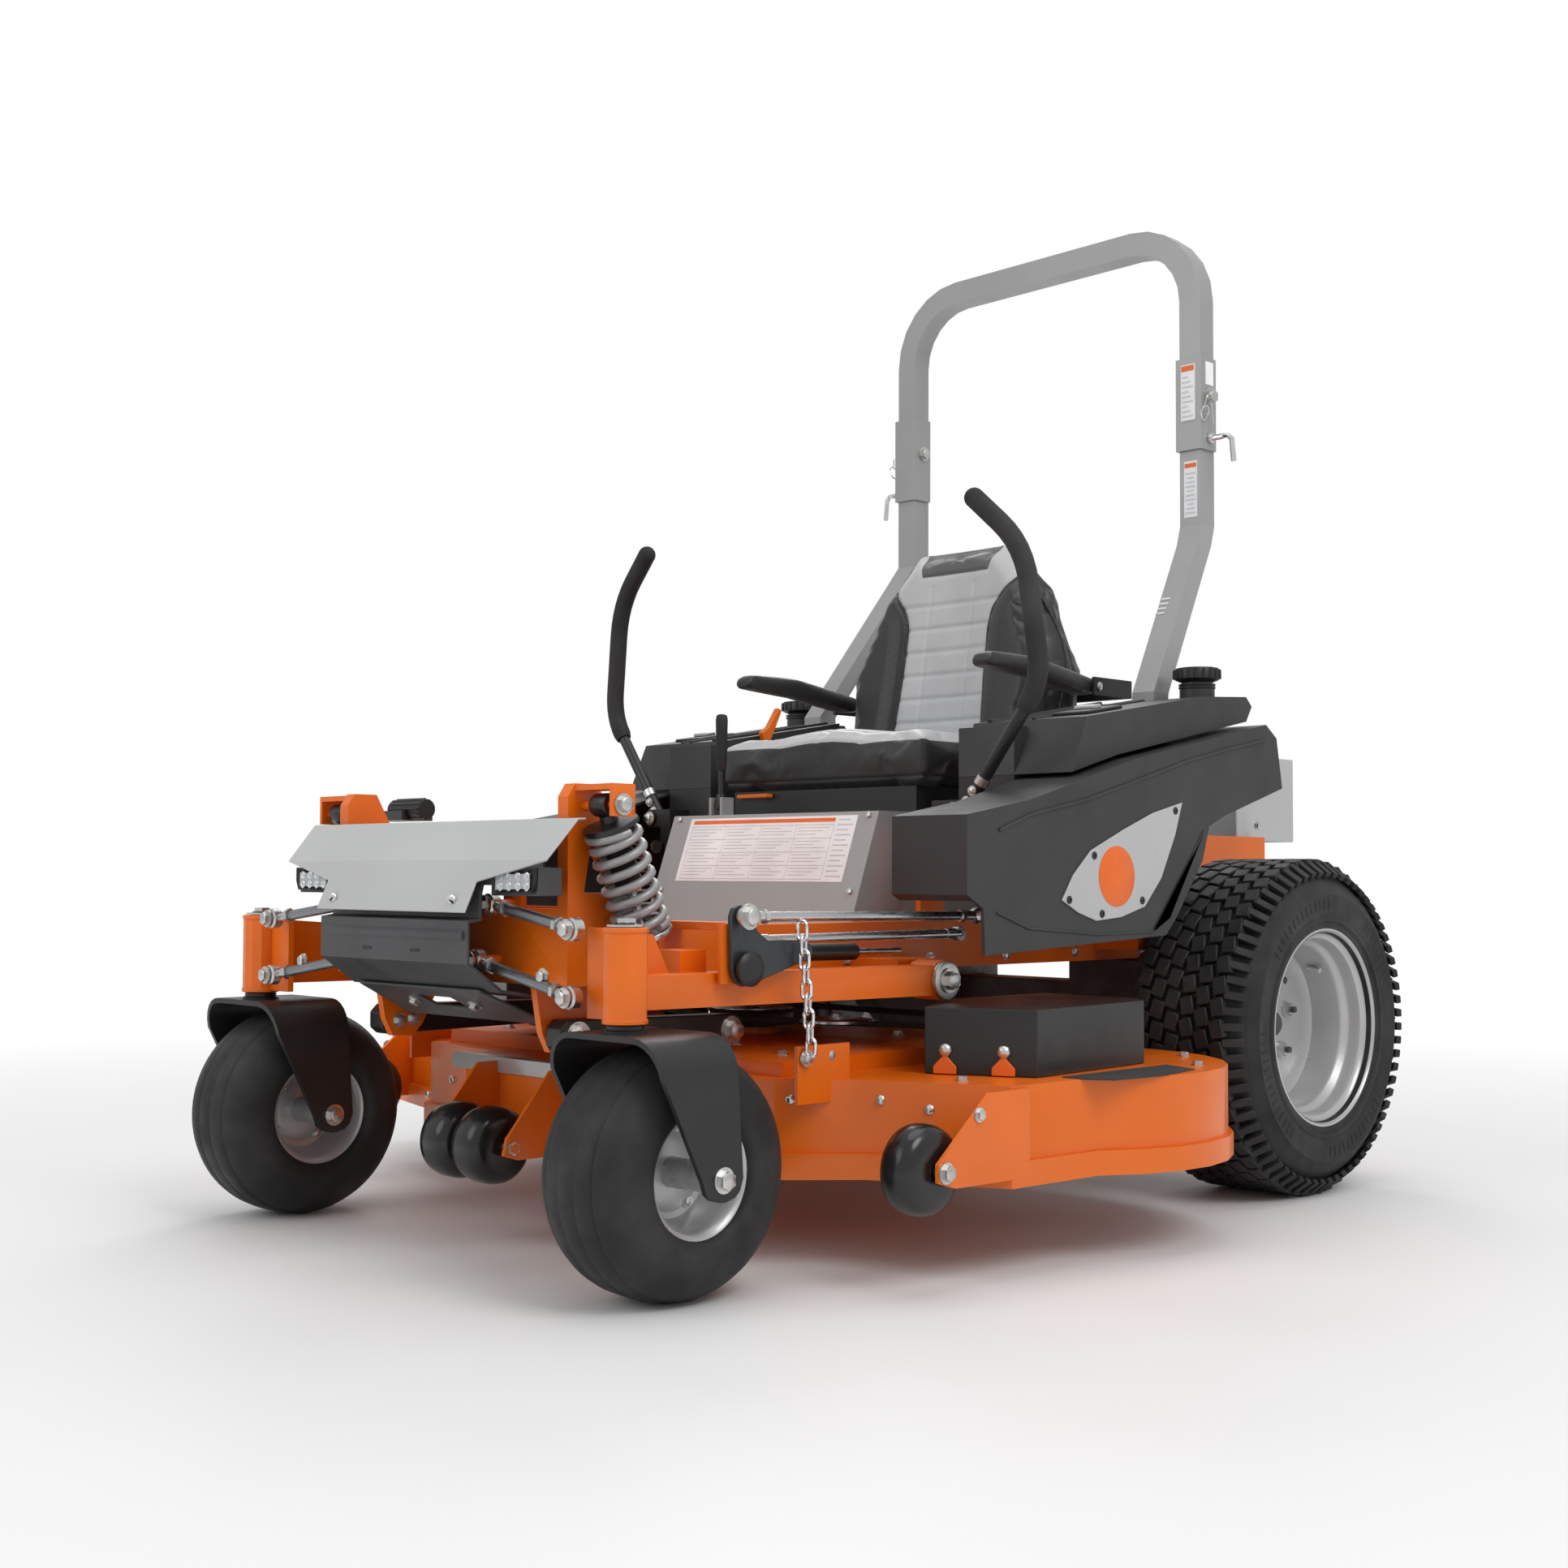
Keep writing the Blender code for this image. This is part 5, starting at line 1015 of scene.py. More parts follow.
# Points that round a corner between two straight runs
def softCorner(start, corner, end, radius, steps=6):
    toStart, toEnd = (start - corner).normalized(), (end - corner).normalized()
    first, last = corner + toStart * radius, corner + toEnd * radius
    return [(first * (1 - t) + corner * t) * (1 - t) + (corner * (1 - t) + last * t) * t
            for t in [step / steps for step in range(steps + 1)]]


def makeLapBars():
    pivot, knee, bend, tip = [at(*lapBar[part]) for part in ("pivot", "knee", "bend", "tip")]
    line = softCorner(pivot, knee, bend, 0.045) + softCorner(knee, bend, tip, 0.060)
    run = (tip - bend).normalized()
    low = (knee - pivot).normalized()
    bm = bmesh.new()
    addTube(bm, [pivot - low * 0.012] + line[:7], lapBar["bar"], 20, smoothPath=False)
    finishPair("lap_bar_tube", bm, "lap_bar", "black", 40.0, stands=("lap_bar",))
    bm = bmesh.new()
    start = line[0] + (line[1] - line[0]) * 0.2
    grip = [start] + line[1:] + [tip - run * 0.004]
    addTube(bm, grip, lapBar["grip"], 28, smoothPath=False)
    ball = bmesh.ops.create_uvsphere(bm, u_segments=28, v_segments=14, radius=lapBar["grip"])
    bmesh.ops.translate(bm, vec=tip - run * 0.006, verts=ball["verts"])
    addTurned(bm, [(0.0105, -0.012), (0.0135, -0.012), (0.0158, -0.004), (0.0163, 0.002), (0.0105, 0.002)],
              start,
              (grip[1] - grip[0]), 28, closed=True)
    finishPair("lap_bar_grip", bm, "lap_bar", "grip", 50.0)
    bm = bmesh.new()
    addTurned(bm, [(0.0105, -0.004), (0.0118, -0.004), (0.0118, 0.010), (0.0105, 0.010)],
              pivot + low * 0.055, low, 24, closed=True)
    for offset in (0.018, 0.038):
        addBolt(bm, pivot + low * offset + Vector((0, -0.0105, 0)), (0, -1, 0), 0.0065)
    finishPair("lap_bar_bolts", bm, "lap_bar", "zinc", 30.0)
    for side, sign in sides:
        refine(f"lever_hub_{side}", "black", 0.002, 2)
    bm = bmesh.new()
    addBolt(bm, at(0.366, -0.0555, 0.652), (0, -1, 0), 0.010)
    addBolt(bm, at(0.3785, -0.027, 0.600), (1, 0, 0), 0.010)
    finishPair("hub_bolts", bm, "lever_hub", "zinc", 30.0)


def makeBrake():
    low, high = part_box("brake_lever")
    x, y = (low.x + high.x) / 2, (low.y + high.y) / 2
    bm = bmesh.new()
    addTurned(bm, [(0, 0.668), (0.0052, 0.668), (0.0052, 0.745), (0, 0.745)], (x, y, 0), (0, 0, 1), 20)
    addTurned(bm, [(0.005, 0.662), (0.0105, 0.664), (0.0110, 0.672), (0.0075, 0.690), (0.005, 0.690)],
              (x, y, 0), (0, 0, 1),
              24, closed=True)
    finishPiece("brake_stem", bm, "brake_lever", "black", 35.0)
    bm = bmesh.new()
    grip = [(0, 0.732), (0.0075, 0.732), (0.0090, 0.736), (0.0098, 0.760), (0.0104, 0.800), (0.0108, 0.822),
            (0.0095, 0.8295),
            (0.0055, 0.832), (0, 0.832)]
    addTurned(bm, grip, (x, y, 0), (0, 0, 1), 28)
    piece = finishPiece("brake_grip", bm, "brake_lever", "grip", 50.0)
    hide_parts("brake_lever")


lift = {"pivot": (0.464, -0.612, 0.422), "joint": (-0.622, 0.492), "chain": (0.468, -0.494)}


def makeLift():
    for side, sign in sides:
        refine(f"lift_crank_{side}", "crank", 0.0015, 2)
    bm = bmesh.new()
    y, z = lift["joint"]
    addBolt(bm, at(0.488, y, z), (1, 0, 0), 0.014)
    finishPiece("crank_bolt", bm, "lift_crank_left", "zinc", 30.0)
    bm = bmesh.new()
    addTurned(bm, [(0, 0.0), (0.021, 0.0), (0.0235, 0.003), (0.0235, 0.008), (0.019, 0.012),
                   (0.010, 0.0135), (0, 0.0135)],
              at(0.476, -0.612, 0.422), (1, 0, 0), 36)
    finishPiece("crank_boss", bm, "lift_crank_left", "trim", 40.0)
    start, end = at(0.482, y, z), at(0.482, -0.140, 0.488)
    run = (end - start).normalized()
    bm = bmesh.new()
    addRod(bm, start + run * 0.020, end - run * 0.024, 0.0068, 20)
    piece = finishPiece("lift_rod_bar", bm, "lift_rod", "steel", 35.0)
    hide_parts("lift_rod")
    bm = bmesh.new()
    for spot, into in ((start, run), (end, -run)):
        addTurned(bm, [(0.0072, -0.0058), (0.0115, -0.0058), (0.0125, -0.004), (0.0125, 0.004),
                       (0.0115, 0.0058), (0.0072, 0.0058)],
                  spot, (1, 0, 0), 28, closed=True)
        addRod(bm, spot + into * 0.010, spot + into * 0.034, 0.0075, 18)
        addRod(bm, spot + into * 0.032, spot + into * 0.039, 0.0100, 6)
    finishPiece("lift_rod_ends", bm, "lift_rod", "zinc", 35.0)
    start, end = at(0.455, -0.585, 0.459), at(0.455, -0.150, 0.461)
    run = (end - start).normalized()
    bm = bmesh.new()  # height rod and gas damper beside the rail
    addRod(bm, start, end, 0.0070, 18)
    for spot, into in ((start, run), (end, -run)):
        addTurned(bm, [(0.0050, -0.0055), (0.0110, -0.0055), (0.0110, 0.0055), (0.0050, 0.0055)], spot,
                  (1, 0, 0), 24, closed=True)
        addRod(bm, spot + into * 0.009, spot + into * 0.030, 0.0080, 16)
    finishPiece("height_rod", bm, "chassis", "steel", 35.0)
    bm = bmesh.new()
    start, end = at(0.385, -0.470, 0.437), at(0.385, -0.205, 0.434)
    addRod(bm, start, start + (end - start) * 0.62, 0.0125, 24)
    finishPair("damper_tube", bm, "chassis", "black", 35.0, 0.0015)
    bm = bmesh.new()
    addRod(bm, start + (end - start) * 0.60, end, 0.0050, 16)
    finishPair("damper_rod", bm, "chassis", "steel", 35.0)
    x, y = lift["chain"]
    bm = bmesh.new()
    count, first, last = 9, 0.482, 0.300
    pitch = (first - last) / count
    for step in range(count):
        z = first - pitch * (step + 0.5)
        half, reach = pitch * 0.66, 0.0068
        turn = Matrix.Rotation(math.radians(90 * (step % 2) + 20), 4, "Z")
        ringLine = [Vector((reach * math.cos(a), 0,
                            reach * math.sin(a) + (half - reach) * (1 if math.sin(a) > 0 else -1)))
                    for a in [math.tau * (part + 0.5) / 16 for part in range(16)]]
        share = 1 - step / (count - 1)
        spot = Matrix.Translation(at(x + 0.012 + 0.008 * share, y - 0.026 * share, z)) @ turn
        addTube(bm, [spot @ point for point in ringLine + ringLine[:1]], 0.0027, 8, smoothPath=False)
    piece = finishPiece("lift_chain", bm, "deck", "chrome", 60.0)
    bm = bmesh.new()
    addBolt(bm, at(x + 0.003, y, 0.2960), (1, 0, 0), 0.0095)
    addBolt(bm, at(x - 0.0062, y + 0.055, 0.2960), (1, 0, 0), 0.008)
    finishPiece("chain_bolts", bm, "deck", "zinc", 30.0)


def makePedal():
    bm = bmesh.new()
    addRod(bm, at(-0.372, -0.606, 0.652), at(-0.282, -0.606, 0.652), 0.0165, 32)
    for step in range(12):
        turn = math.tau * step / 12
        spot = at(0, -0.606 + 0.0165 * math.cos(turn), 0.652 + 0.0165 * math.sin(turn))
        addRod(bm, spot + Vector((-0.368, 0, 0)), spot + Vector((-0.286, 0, 0)), 0.0021, 6)
    finishPiece("lift_pedal_pad", bm, "lift_crank_right", "trim", 40.0, 0.001)


makeLapBars()
makeBrake()
makeLift()
makePedal()
print("controls done")


def makeDeck():
    refine("deck_shell", "orange", 0.0022, 2, 25.0)
    refine("drive_belt", "belt", 0.0012, 1)
    refine("chute", "trim", 0.002, 2)
    for side, sign in sides:
        refine(f"belt_cover_{side}", "black", 0.0045, 3, 25.0)
    bm = bmesh.new()  # bright knobs over the covers' tabs
    tabs = bmesh.new()
    out = Vector((0.423, -0.906, 0)).normalized()
    for x, y in ((0.5285, -0.2667), (0.6065, -0.2303)):
        foot = at(x, y, 0) + out * 0.0010
        addDome(bm, foot + Vector((0, 0, 0.297)), out, 0.0105, 0.0085)
        outline = [(-0.017, 0.2635), (0.017, 0.2635), (0.017, 0.274), (0.003, 0.289), (-0.003, 0.289),
                   (-0.017, 0.274)]
        made = addPlate(tabs, outline, "y", -0.0045, 0.0)
        bmesh.ops.rotate(tabs, cent=(0, 0, 0), matrix=Matrix.Rotation(math.atan2(0.423, 0.906), 3, "Z"),
                         verts=made)
        bmesh.ops.translate(tabs, vec=foot, verts=made)
    finishPair("cover_knobs", bm, "deck", "zinc", 40.0)
    finishPair("cover_tabs", tabs, "deck", "orange", 30.0, 0.001)
    bm = bmesh.new()  # rough stepping patch on the deck's end
    outline = [(0.699, -0.176), (0.741, -0.150), (0.752, -0.035), (0.735, 0.060), (0.668, 0.085),
               (0.668, -0.176)]
    addPlate(bm, outline, "z", 0.2615, 0.2636)
    onMachine(bm)
    finishPair("step_patch", bm, "deck", "grit", 30.0, 0.0005)
    bm = bmesh.new()  # bolts on the top and the front
    for x, y in ((0.60, -0.315), (0.700, 0.120), (0.600, 0.235), (0.200, 0.0), (0.160, -0.330),
                 (0.330, -0.400)):
        z = 0.262 if x > 0.5 else 0.285
        addBolt(bm, at(x, y, z), (0, 0, 1), 0.008)
    finishPair("deck_top_bolts", bm, "deck", "zinc", 30.0)
    shape = nodeShape("deck_shell")
    tree = BVHTree.FromBMesh(shape)
    shape.free()
    bm = bmesh.new()
    for x, z in ((0.10, 0.235), (0.24, 0.235), (0.34, 0.205), (0.34, 0.150), (0.43, 0.235), (0.24, 0.150),
                 (0.52, 0.235),
                 (0.10, 0.150), (0.585, 0.225), (0.58, 0.150)):
        for sign in (-1, 1):
            found = tree.ray_cast(at(sign * x, -1.0, z), Vector((0, 1, 0)))
            if found[0] and found[1].y < -0.4:
                addDome(bm, found[0], found[1], 0.0075, 0.0045)
    finishPiece("deck_rivets", bm, "deck", "zinc", 40.0)
    bm = bmesh.new()  # painted highlight: a bright silver strip along the front's top edge, where the light catches it
    addPlate(bm, [(-0.6015, 0.2630), (-0.5800, 0.2630), (-0.5800, 0.2655), (-0.6045, 0.2655),
                  (-0.6045, 0.2420),
                  (-0.6015, 0.2420)], "x", -0.205, 0.205)
    onMachine(bm)
    finishPiece("edge_highlight_strip", bm, "deck", "rim", 30.0, 0.0006)
    for side, sign in sides:
        refine(f"blade_spindle_{side}", "iron", 0.0012, 1)
    refine("blade_spindle_middle", "iron", 0.0012, 1)
    bm = bmesh.new()  # bright idler wheels over the belt
    for x, y in ((0.250, -0.200), (-0.230, -0.060)):
        wheel = [(0, 0.3185), (0.012, 0.3185), (0.012, 0.3235), (0.046, 0.3245), (0.056, 0.3215),
                 (0.058, 0.3225),
                 (0.058, 0.3185), (0.050, 0.3188), (0.046, 0.3195), (0, 0.3183)]
        addTurned(bm, wheel[:-1] + [(0, 0.3184)], at(x, y, 0), (0, 0, 1), 48)
        addBolt(bm, at(x, y, 0.3232), (0, 0, 1), 0.010)
    finishPiece("idlers", bm, "deck", "steel", 30.0)
    bm = bmesh.new()
    for x, y in ((0.0, -0.145), (0.485, 0.03), (-0.485, 0.03)):
        if abs(x) < 0.1:
            addTurned(bm, [(0.020, 0.3252), (0.066, 0.3252), (0.070, 0.3262), (0.070, 0.3272),
                           (0.064, 0.3264), (0.020, 0.3264)],
                      at(x, y, 0), (0, 0, 1), 48, closed=True)
            addBolt(bm, at(x, y, 0.3352), (0, 0, 1), 0.013)
    finishPiece("sheave_middle", bm, "blade_spindle_middle", "steel", 30.0)


def makeRollers():
    centre = middle("roller_left")
    bm = bmesh.new()
    tread = [(0.012, 0.0295), (0.036, 0.0295), (0.049, 0.0265), (0.0565, 0.0200), (0.0600, 0.0110),
             (0.0610, 0.0)]
    tread += [(radius, -along) for radius, along in reversed(tread[:-1])]
    addTurned(bm, tread, centre, (1, 0, 0), 64, closed=True)
    finishPair("roller_drum", bm, "roller", "roller", 50.0, stands=("roller",))
    bm = bmesh.new()
    addRod(bm, centre + Vector((-0.034, 0, 0)), centre + Vector((0.0335, 0, 0)), 0.0085, 20)
    finishPair("roller_sleeve", bm, "roller", "steel", 30.0)
    bm = bmesh.new()
    addBolt(bm, centre + Vector((0.0440, 0, 0)), (1, 0, 0), 0.0115)
    addBolt(bm, centre + Vector((0.0440, 0.068, 0.070)), (1, 0, 0), 0.008)
    finishPair("roller_bolts", bm, "deck", "zinc", 30.0)
    centre = middle("roller_front")
    bm = bmesh.new()
    for shift in (-0.0395, 0.0395):
        drum = [(0.012, 0.0345), (0.034, 0.0345), (0.0465, 0.0310), (0.0535, 0.0230), (0.0558, 0.0120),
                (0.0560, 0.0)]
        drum += [(radius, -along) for radius, along in reversed(drum[:-1])]
        addTurned(bm, drum, centre + Vector((shift, 0, 0)), (1, 0, 0), 64, closed=True)
    addRod(bm, centre - Vector((0.0755, 0, 0)), centre + Vector((0.0755, 0, 0)), 0.0118, 24)
    piece = finishPiece("roller_front_drums", bm, "roller_front", "roller", 50.0)
    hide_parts("roller_front")
    bm = bmesh.new()
    for sign in (-1, 1):
        addBolt(bm, centre + Vector((sign * 0.0860, 0, 0)), (sign, 0, 0), 0.0115)
    finishPiece("roller_front_bolts", bm, "deck", "zinc", 30.0)


makeDeck()
makeRollers()
print("deck done")


padding = {"voxel": 0.0055, "pressure": 4.0, "frames": 20, "cap": 0.020}


def gatherPoints(mesh):
    flat = numpy.empty(len(mesh.vertices) * 3)
    mesh.vertices.foreach_get("co", flat)
    return flat.reshape(-1, 3)


def storePoints(mesh, points):
    mesh.vertices.foreach_set("co", points.ravel())
    mesh.update()


def bakedMesh(piece):
    graph = bpy.context.evaluated_depsgraph_get()
    return bpy.data.meshes.new_from_object(piece.evaluated_get(graph))


def applyAll(piece):
    mesh = bakedMesh(piece)
    piece.modifiers.clear()
    piece.data = mesh


def vertexNormals(mesh):
    flat = numpy.empty(len(mesh.vertices) * 3)
    mesh.vertex_normals.foreach_get("vector", flat)
    return flat.reshape(-1, 3)


# A padded shape: an even skin, blown up by cloth under pressure, then smoothed once
def puffPad(name, bm, shrink, cap=padding["cap"], voxel=padding["voxel"]):
    mesh = bpy.data.meshes.new(name)
    bm.to_mesh(mesh)
    bm.free()
    piece = bpy.data.objects.new(name, mesh)
    bpy.context.scene.collection.objects.link(piece)
    skin = piece.modifiers.new("skin", "REMESH")
    skin.mode = "VOXEL"
    skin.voxel_size = voxel
    applyAll(piece)
    points = gatherPoints(piece.data) - vertexNormals(piece.data) * shrink
    storePoints(piece.data, points)
    cloth = piece.modifiers.new("puff", "CLOTH")
    cloth.settings.use_pressure = True
    cloth.settings.uniform_pressure_force = padding["pressure"]
    cloth.settings.effector_weights.gravity = 0.0
    scene = bpy.context.scene
    for step in range(1, padding["frames"] + 1):
        scene.frame_set(step)
    blown = gatherPoints(bakedMesh(piece))
    scene.frame_set(1)
    piece.modifiers.clear()
    move = blown - points
    reach = numpy.linalg.norm(move, axis=1, keepdims=True)
    storePoints(piece.data, points + move * numpy.minimum(1.0, cap / numpy.maximum(reach, 1e-9)))
    smooth = piece.modifiers.new("even", "SMOOTH")
    smooth.iterations = 3
    finer = piece.modifiers.new("finer", "SUBSURF")
    finer.levels = finer.render_levels = 1
    applyAll(piece)
    piece.data.shade_smooth()
    return piece


# How far each (a, b) lies from a line of corners, and whether it is inside the closed line
def lineDistance(a, b, line, closed=True):
    best = numpy.full(len(a), 9.0)
    inside = numpy.zeros(len(a), dtype=bool)
    for (a0, b0), (a1, b1) in zip(line, line[1:] + (line[:1] if closed else [])):
        da, db = a1 - a0, b1 - b0
        share = numpy.clip(((a - a0) * da + (b - b0) * db) / (da * da + db * db), 0.0, 1.0)
        best = numpy.minimum(best, numpy.hypot(a - a0 - share * da, b - b0 - share * db))
        if closed and abs(db) > 1e-9:
            crosses = ((b0 > b) != (b1 > b)) & (a < a0 + (b - b0) * da / db)
            inside ^= crosses
    return best, inside


# Rounds a line of corners into a smooth one
def curveLine(corners, steps=8):
    line = []
    count = len(corners)
    for step in range(count - 1):
        before = corners[max(0, step - 1)]
        start, end = corners[step], corners[step + 1]
        after = corners[min(count - 1, step + 2)]
        for part in range(steps):
            t = part / steps
            line.append(tuple(0.5 * (2 * s + (e - b) * t + (2 * b - 5 * s + 4 * e - f) * t * t
                                     + (3 * s - b - 3 * e + f) * t ** 3)
                              for b, s, e, f in zip(before, start, end, after)))
    return line + [corners[-1]]


seatBack = {
    "leafInner": [(0.122, 0.716), (0.112, 0.780), (0.104, 0.880), (0.100, 0.970), (0.106, 1.040),
                  (0.150, 1.098)],
    "leafOuter": [(0.150, 1.098), (0.205, 1.040), (0.236, 0.970), (0.244, 0.890), (0.240, 0.800),
                  (0.232, 0.716)],
    "head": [(-0.080, 1.118), (-0.104, 1.215), (0.104, 1.215), (0.080, 1.118)],
    "channels": (0.790, 0.835, 0.880, 0.925, 0.970, 1.015, 1.060), "seam": 0.0032, "seamWidth": 0.0045,
}


def makeSeatBack():
    bm = nodeShape("seat_back")
    softEdges(bm, 0.020, 3)
    piece = puffPad("seatBackPad", bm, 0.006, 0.016)
    points = gatherPoints(piece.data)
    normals = vertexNormals(piece.data)
    x, z = points[:, 0] - midX, points[:, 2]
    leaf = curveLine(seatBack["leafInner"]) + curveLine(seatBack["leafOuter"])[1:]
    edge, inside = lineDistance(numpy.abs(x), z, leaf)
    facing = numpy.clip(-normals[:, 1] * 1.6, 0.0, 1.0)
    leafDepth = numpy.where(inside, edge, -edge)
    headEdge, headInside = lineDistance(x, z, seatBack["head"])
    swell = 0.013 * numpy.clip(leafDepth / 0.035, 0.0, 1.0) ** 0.5 * facing
    sink = 0.007 * numpy.exp(-(numpy.maximum(numpy.abs(x) - 0.03, 0.0) / 0.06) ** 2) * facing
    grooves = seatBack["seam"] * numpy.exp(-(edge / seatBack["seamWidth"]) ** 2)
    grooves += seatBack["seam"] * 0.8 * numpy.exp(-(headEdge / seatBack["seamWidth"]) ** 2)
    panel = (~inside) & (numpy.abs(x) < 0.118) & (z < 1.10)
    for height in seatBack["channels"]:
        grooves += numpy.where(panel, 0.0022 * numpy.exp(-((z - height) / 0.0045) ** 2), 0.0)
    for strip in (-0.052, 0.052):
        grooves += numpy.where(panel, 0.0014 * numpy.exp(-((x - strip) / 0.003) ** 2), 0.0)
    ridge = numpy.clip((numpy.abs(normals[:, 0]) - 0.55) * 3.0, 0.0, 1.0)
    sideSeam = 0.0025 * numpy.exp(-((points[:, 1] - midY - 0.425) / 0.004) ** 2) * ridge
    points[:, 1] += -swell + sink + grooves * facing
    points[:, 0] -= numpy.sign(x) * sideSeam
    storePoints(piece.data, points)
    depth = points[:, 1] - midY
    front = 0.372 + 0.045 * numpy.clip((z - 0.70) / 0.45, 0.0, 1.0)
    grey = numpy.minimum(-leafDepth, 0.30 - edge) * 1.0
    grey = numpy.minimum(grey, front - depth)
    grey = numpy.minimum(grey, 0.232 - numpy.abs(x) + numpy.clip((z - 1.05) * 2, 0.0, 0.1))
    grey = numpy.minimum(grey, z - 0.722)
    head = numpy.where(headInside, headEdge, -headEdge)
    head = numpy.minimum(head, front + 0.03 - depth)
    addMask(piece.data, "greyZone", grey)
    addMask(piece.data, "headZone", head)
    piece.data.materials.append(zonedVinyl("seatBackVinyl", (0.46, 0.465, 0.475), (0.085, 0.085, 0.088)))
    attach(piece, "seat")
    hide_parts("seat_back")
    pipeLine("seatBackPiping", piece, leaf, "y")
    return piece


# Keeps a distance in metres on each vertex, for the shader's edges
def addMask(mesh, name, values):
    made = mesh.attributes.new(name, "FLOAT", "POINT")
    made.data.foreach_set("value", values.astype(numpy.float32))


# Vinyl whose panels follow the greyZone and headZone attributes
def zonedVinyl(name, light, mid, dark=(0.012, 0.012, 0.0125)):
    made, tree, shader, place = startMaterial(name, dark, 0.42)
    shader.inputs["Sheen Weight"].default_value = 0.12

    def zone(attribute):
        source = tree.nodes.new("ShaderNodeAttribute")
        source.attribute_name = attribute
        return spread(tree, source.outputs["Fac"], 0.0, 1.0, -0.0008, 0.0008)
    cloudy = spread(tree, noise(tree, place, 9.0, 6.0), 0.0, 1.0)
    lightTint = between(tree, cloudy, shade(light, 0.86), shade(light, 1.06))
    darkTint = between(tree, cloudy, shade(dark, 0.75), shade(dark, 1.35))
    tint = between(tree, zone("greyZone"), darkTint, lightTint)
    tint = between(tree, zone("headZone"), tint, mid)
    tree.links.new(tint, shader.inputs["Base Color"])
    cells = tree.nodes.new("ShaderNodeTexVoronoi")
    cells.inputs["Scale"].default_value = 480.0
    tree.links.new(place, cells.inputs["Vector"])
    tree.links.new(spread(tree, cells.outputs["Distance"], 0.55, 0.36, 0.0, 0.7),
                   shader.inputs["Roughness"])
    relief(tree, shader, cells.outputs["Distance"], 0.30, 0.0005)
    return made


# A sewn welt along a line on the pad's front or top
def pipeLine(name, pad, line, axis, radius=0.0028, mirrored=True):
    mesh = bakedMesh(pad)
    shape = bmesh.new()
    shape.from_mesh(mesh)
    tree = BVHTree.FromBMesh(shape)
    shape.free()
    look = Vector((0, 1, 0)) if axis == "y" else Vector((0, 0, -1))
    bm = bmesh.new()
    for sign in ((1, -1) if mirrored else (1,)):
        found = []
        for a, b in line:
            start = at(sign * a, -0.3, b) if axis == "y" else at(sign * a, b, 1.4)
            spot = tree.ray_cast(start, look)[0]
            if spot:
                found.append(spot - look * radius * 0.3)
        if len(found) > 3:
            addTube(bm, found[::2] + [found[-1]], radius, 8)
    return finishPiece(name, bm, "seat", "blackVinyl", 60.0)


seatCushion = {"rim": 0.058, "channels": (0.07, 0.115, 0.16, 0.205, 0.25), "hem": 0.7135}


def makeSeatCushion():
    bm = nodeShape("seat_cushion")
    softEdges(bm, 0.018, 3)
    piece = puffPad("seatCushionPad", bm, 0.006, 0.014)
    points = gatherPoints(piece.data)
    normals = vertexNormals(piece.data)
    x, y, z = points[:, 0] - midX, points[:, 1] - midY, points[:, 2]
    up = numpy.clip(normals[:, 2] * 1.6, 0.0, 1.0)
    high = numpy.clip((z - 0.735) / 0.045, 0.0, 1.0)
    wave = 0.006 * numpy.cos(x / 0.255 * math.pi * 1.5) * high  # bolsters up, thigh hollows down
    dish = -0.012 * numpy.exp(-(x / 0.13) ** 2) * numpy.clip((y - 0.06) / 0.1, 0.0, 1.0) * high
    rimLine = [(0.255 - seatCushion["rim"], 0.330), (0.190, 0.10), (0.160, 0.055), (0.10, 0.045),
               (0.0, 0.050)]
    edge, inside = lineDistance(numpy.abs(x), y, rimLine, closed=False)
    grooves = 0.003 * numpy.exp(-(edge / 0.0045) ** 2)
    for line in seatCushion["channels"]:
        grooves += numpy.where(numpy.abs(x) < 0.185, 0.002 * numpy.exp(-((y - line) / 0.004) ** 2), 0.0)
    hem = 0.003 * numpy.exp(-((z - seatCushion["hem"]) / 0.003) ** 2) * (1 - up)
    points[:, 2] += wave + dish - grooves * up
    points -= normals * hem[:, None]
    storePoints(piece.data, points)
    grey = numpy.minimum(z - 0.772 + 0.004 * numpy.cos(x / 0.255 * math.pi * 1.5), normals[:, 2] - 0.25)
    addMask(piece.data, "greyZone", grey)
    addMask(piece.data, "headZone", numpy.full(len(x), -1.0))
    piece.data.materials.append(zonedVinyl("seatCushionVinyl", (0.46, 0.465, 0.475), (0.085, 0.085, 0.088)))
    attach(piece, "seat")
    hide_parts("seat_cushion")


def makeArmrests():
    for side, sign in sides:
        bm = nodeShape(f"armrest_{side}")
        softEdges(bm, 0.008, 2)
        piece = puffPad(f"armrestPad_{side}", bm, 0.0025, 0.005, 0.0042)
        points = gatherPoints(piece.data)
        normals = vertexNormals(piece.data)
        low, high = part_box(f"armrest_{side}")
        centre = (low.x + high.x) / 2
        dip = numpy.exp(-((points[:, 0] - centre - sign * 0.013) / 0.003) ** 2)
        seam = 0.0018 * dip * numpy.clip(normals[:, 2], 0, 1)
        points[:, 2] -= seam
        storePoints(piece.data, points)
        piece.data.materials.append(paint["blackVinyl"])
        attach(piece, f"armrest_{side}")
        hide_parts(f"armrest_{side}")


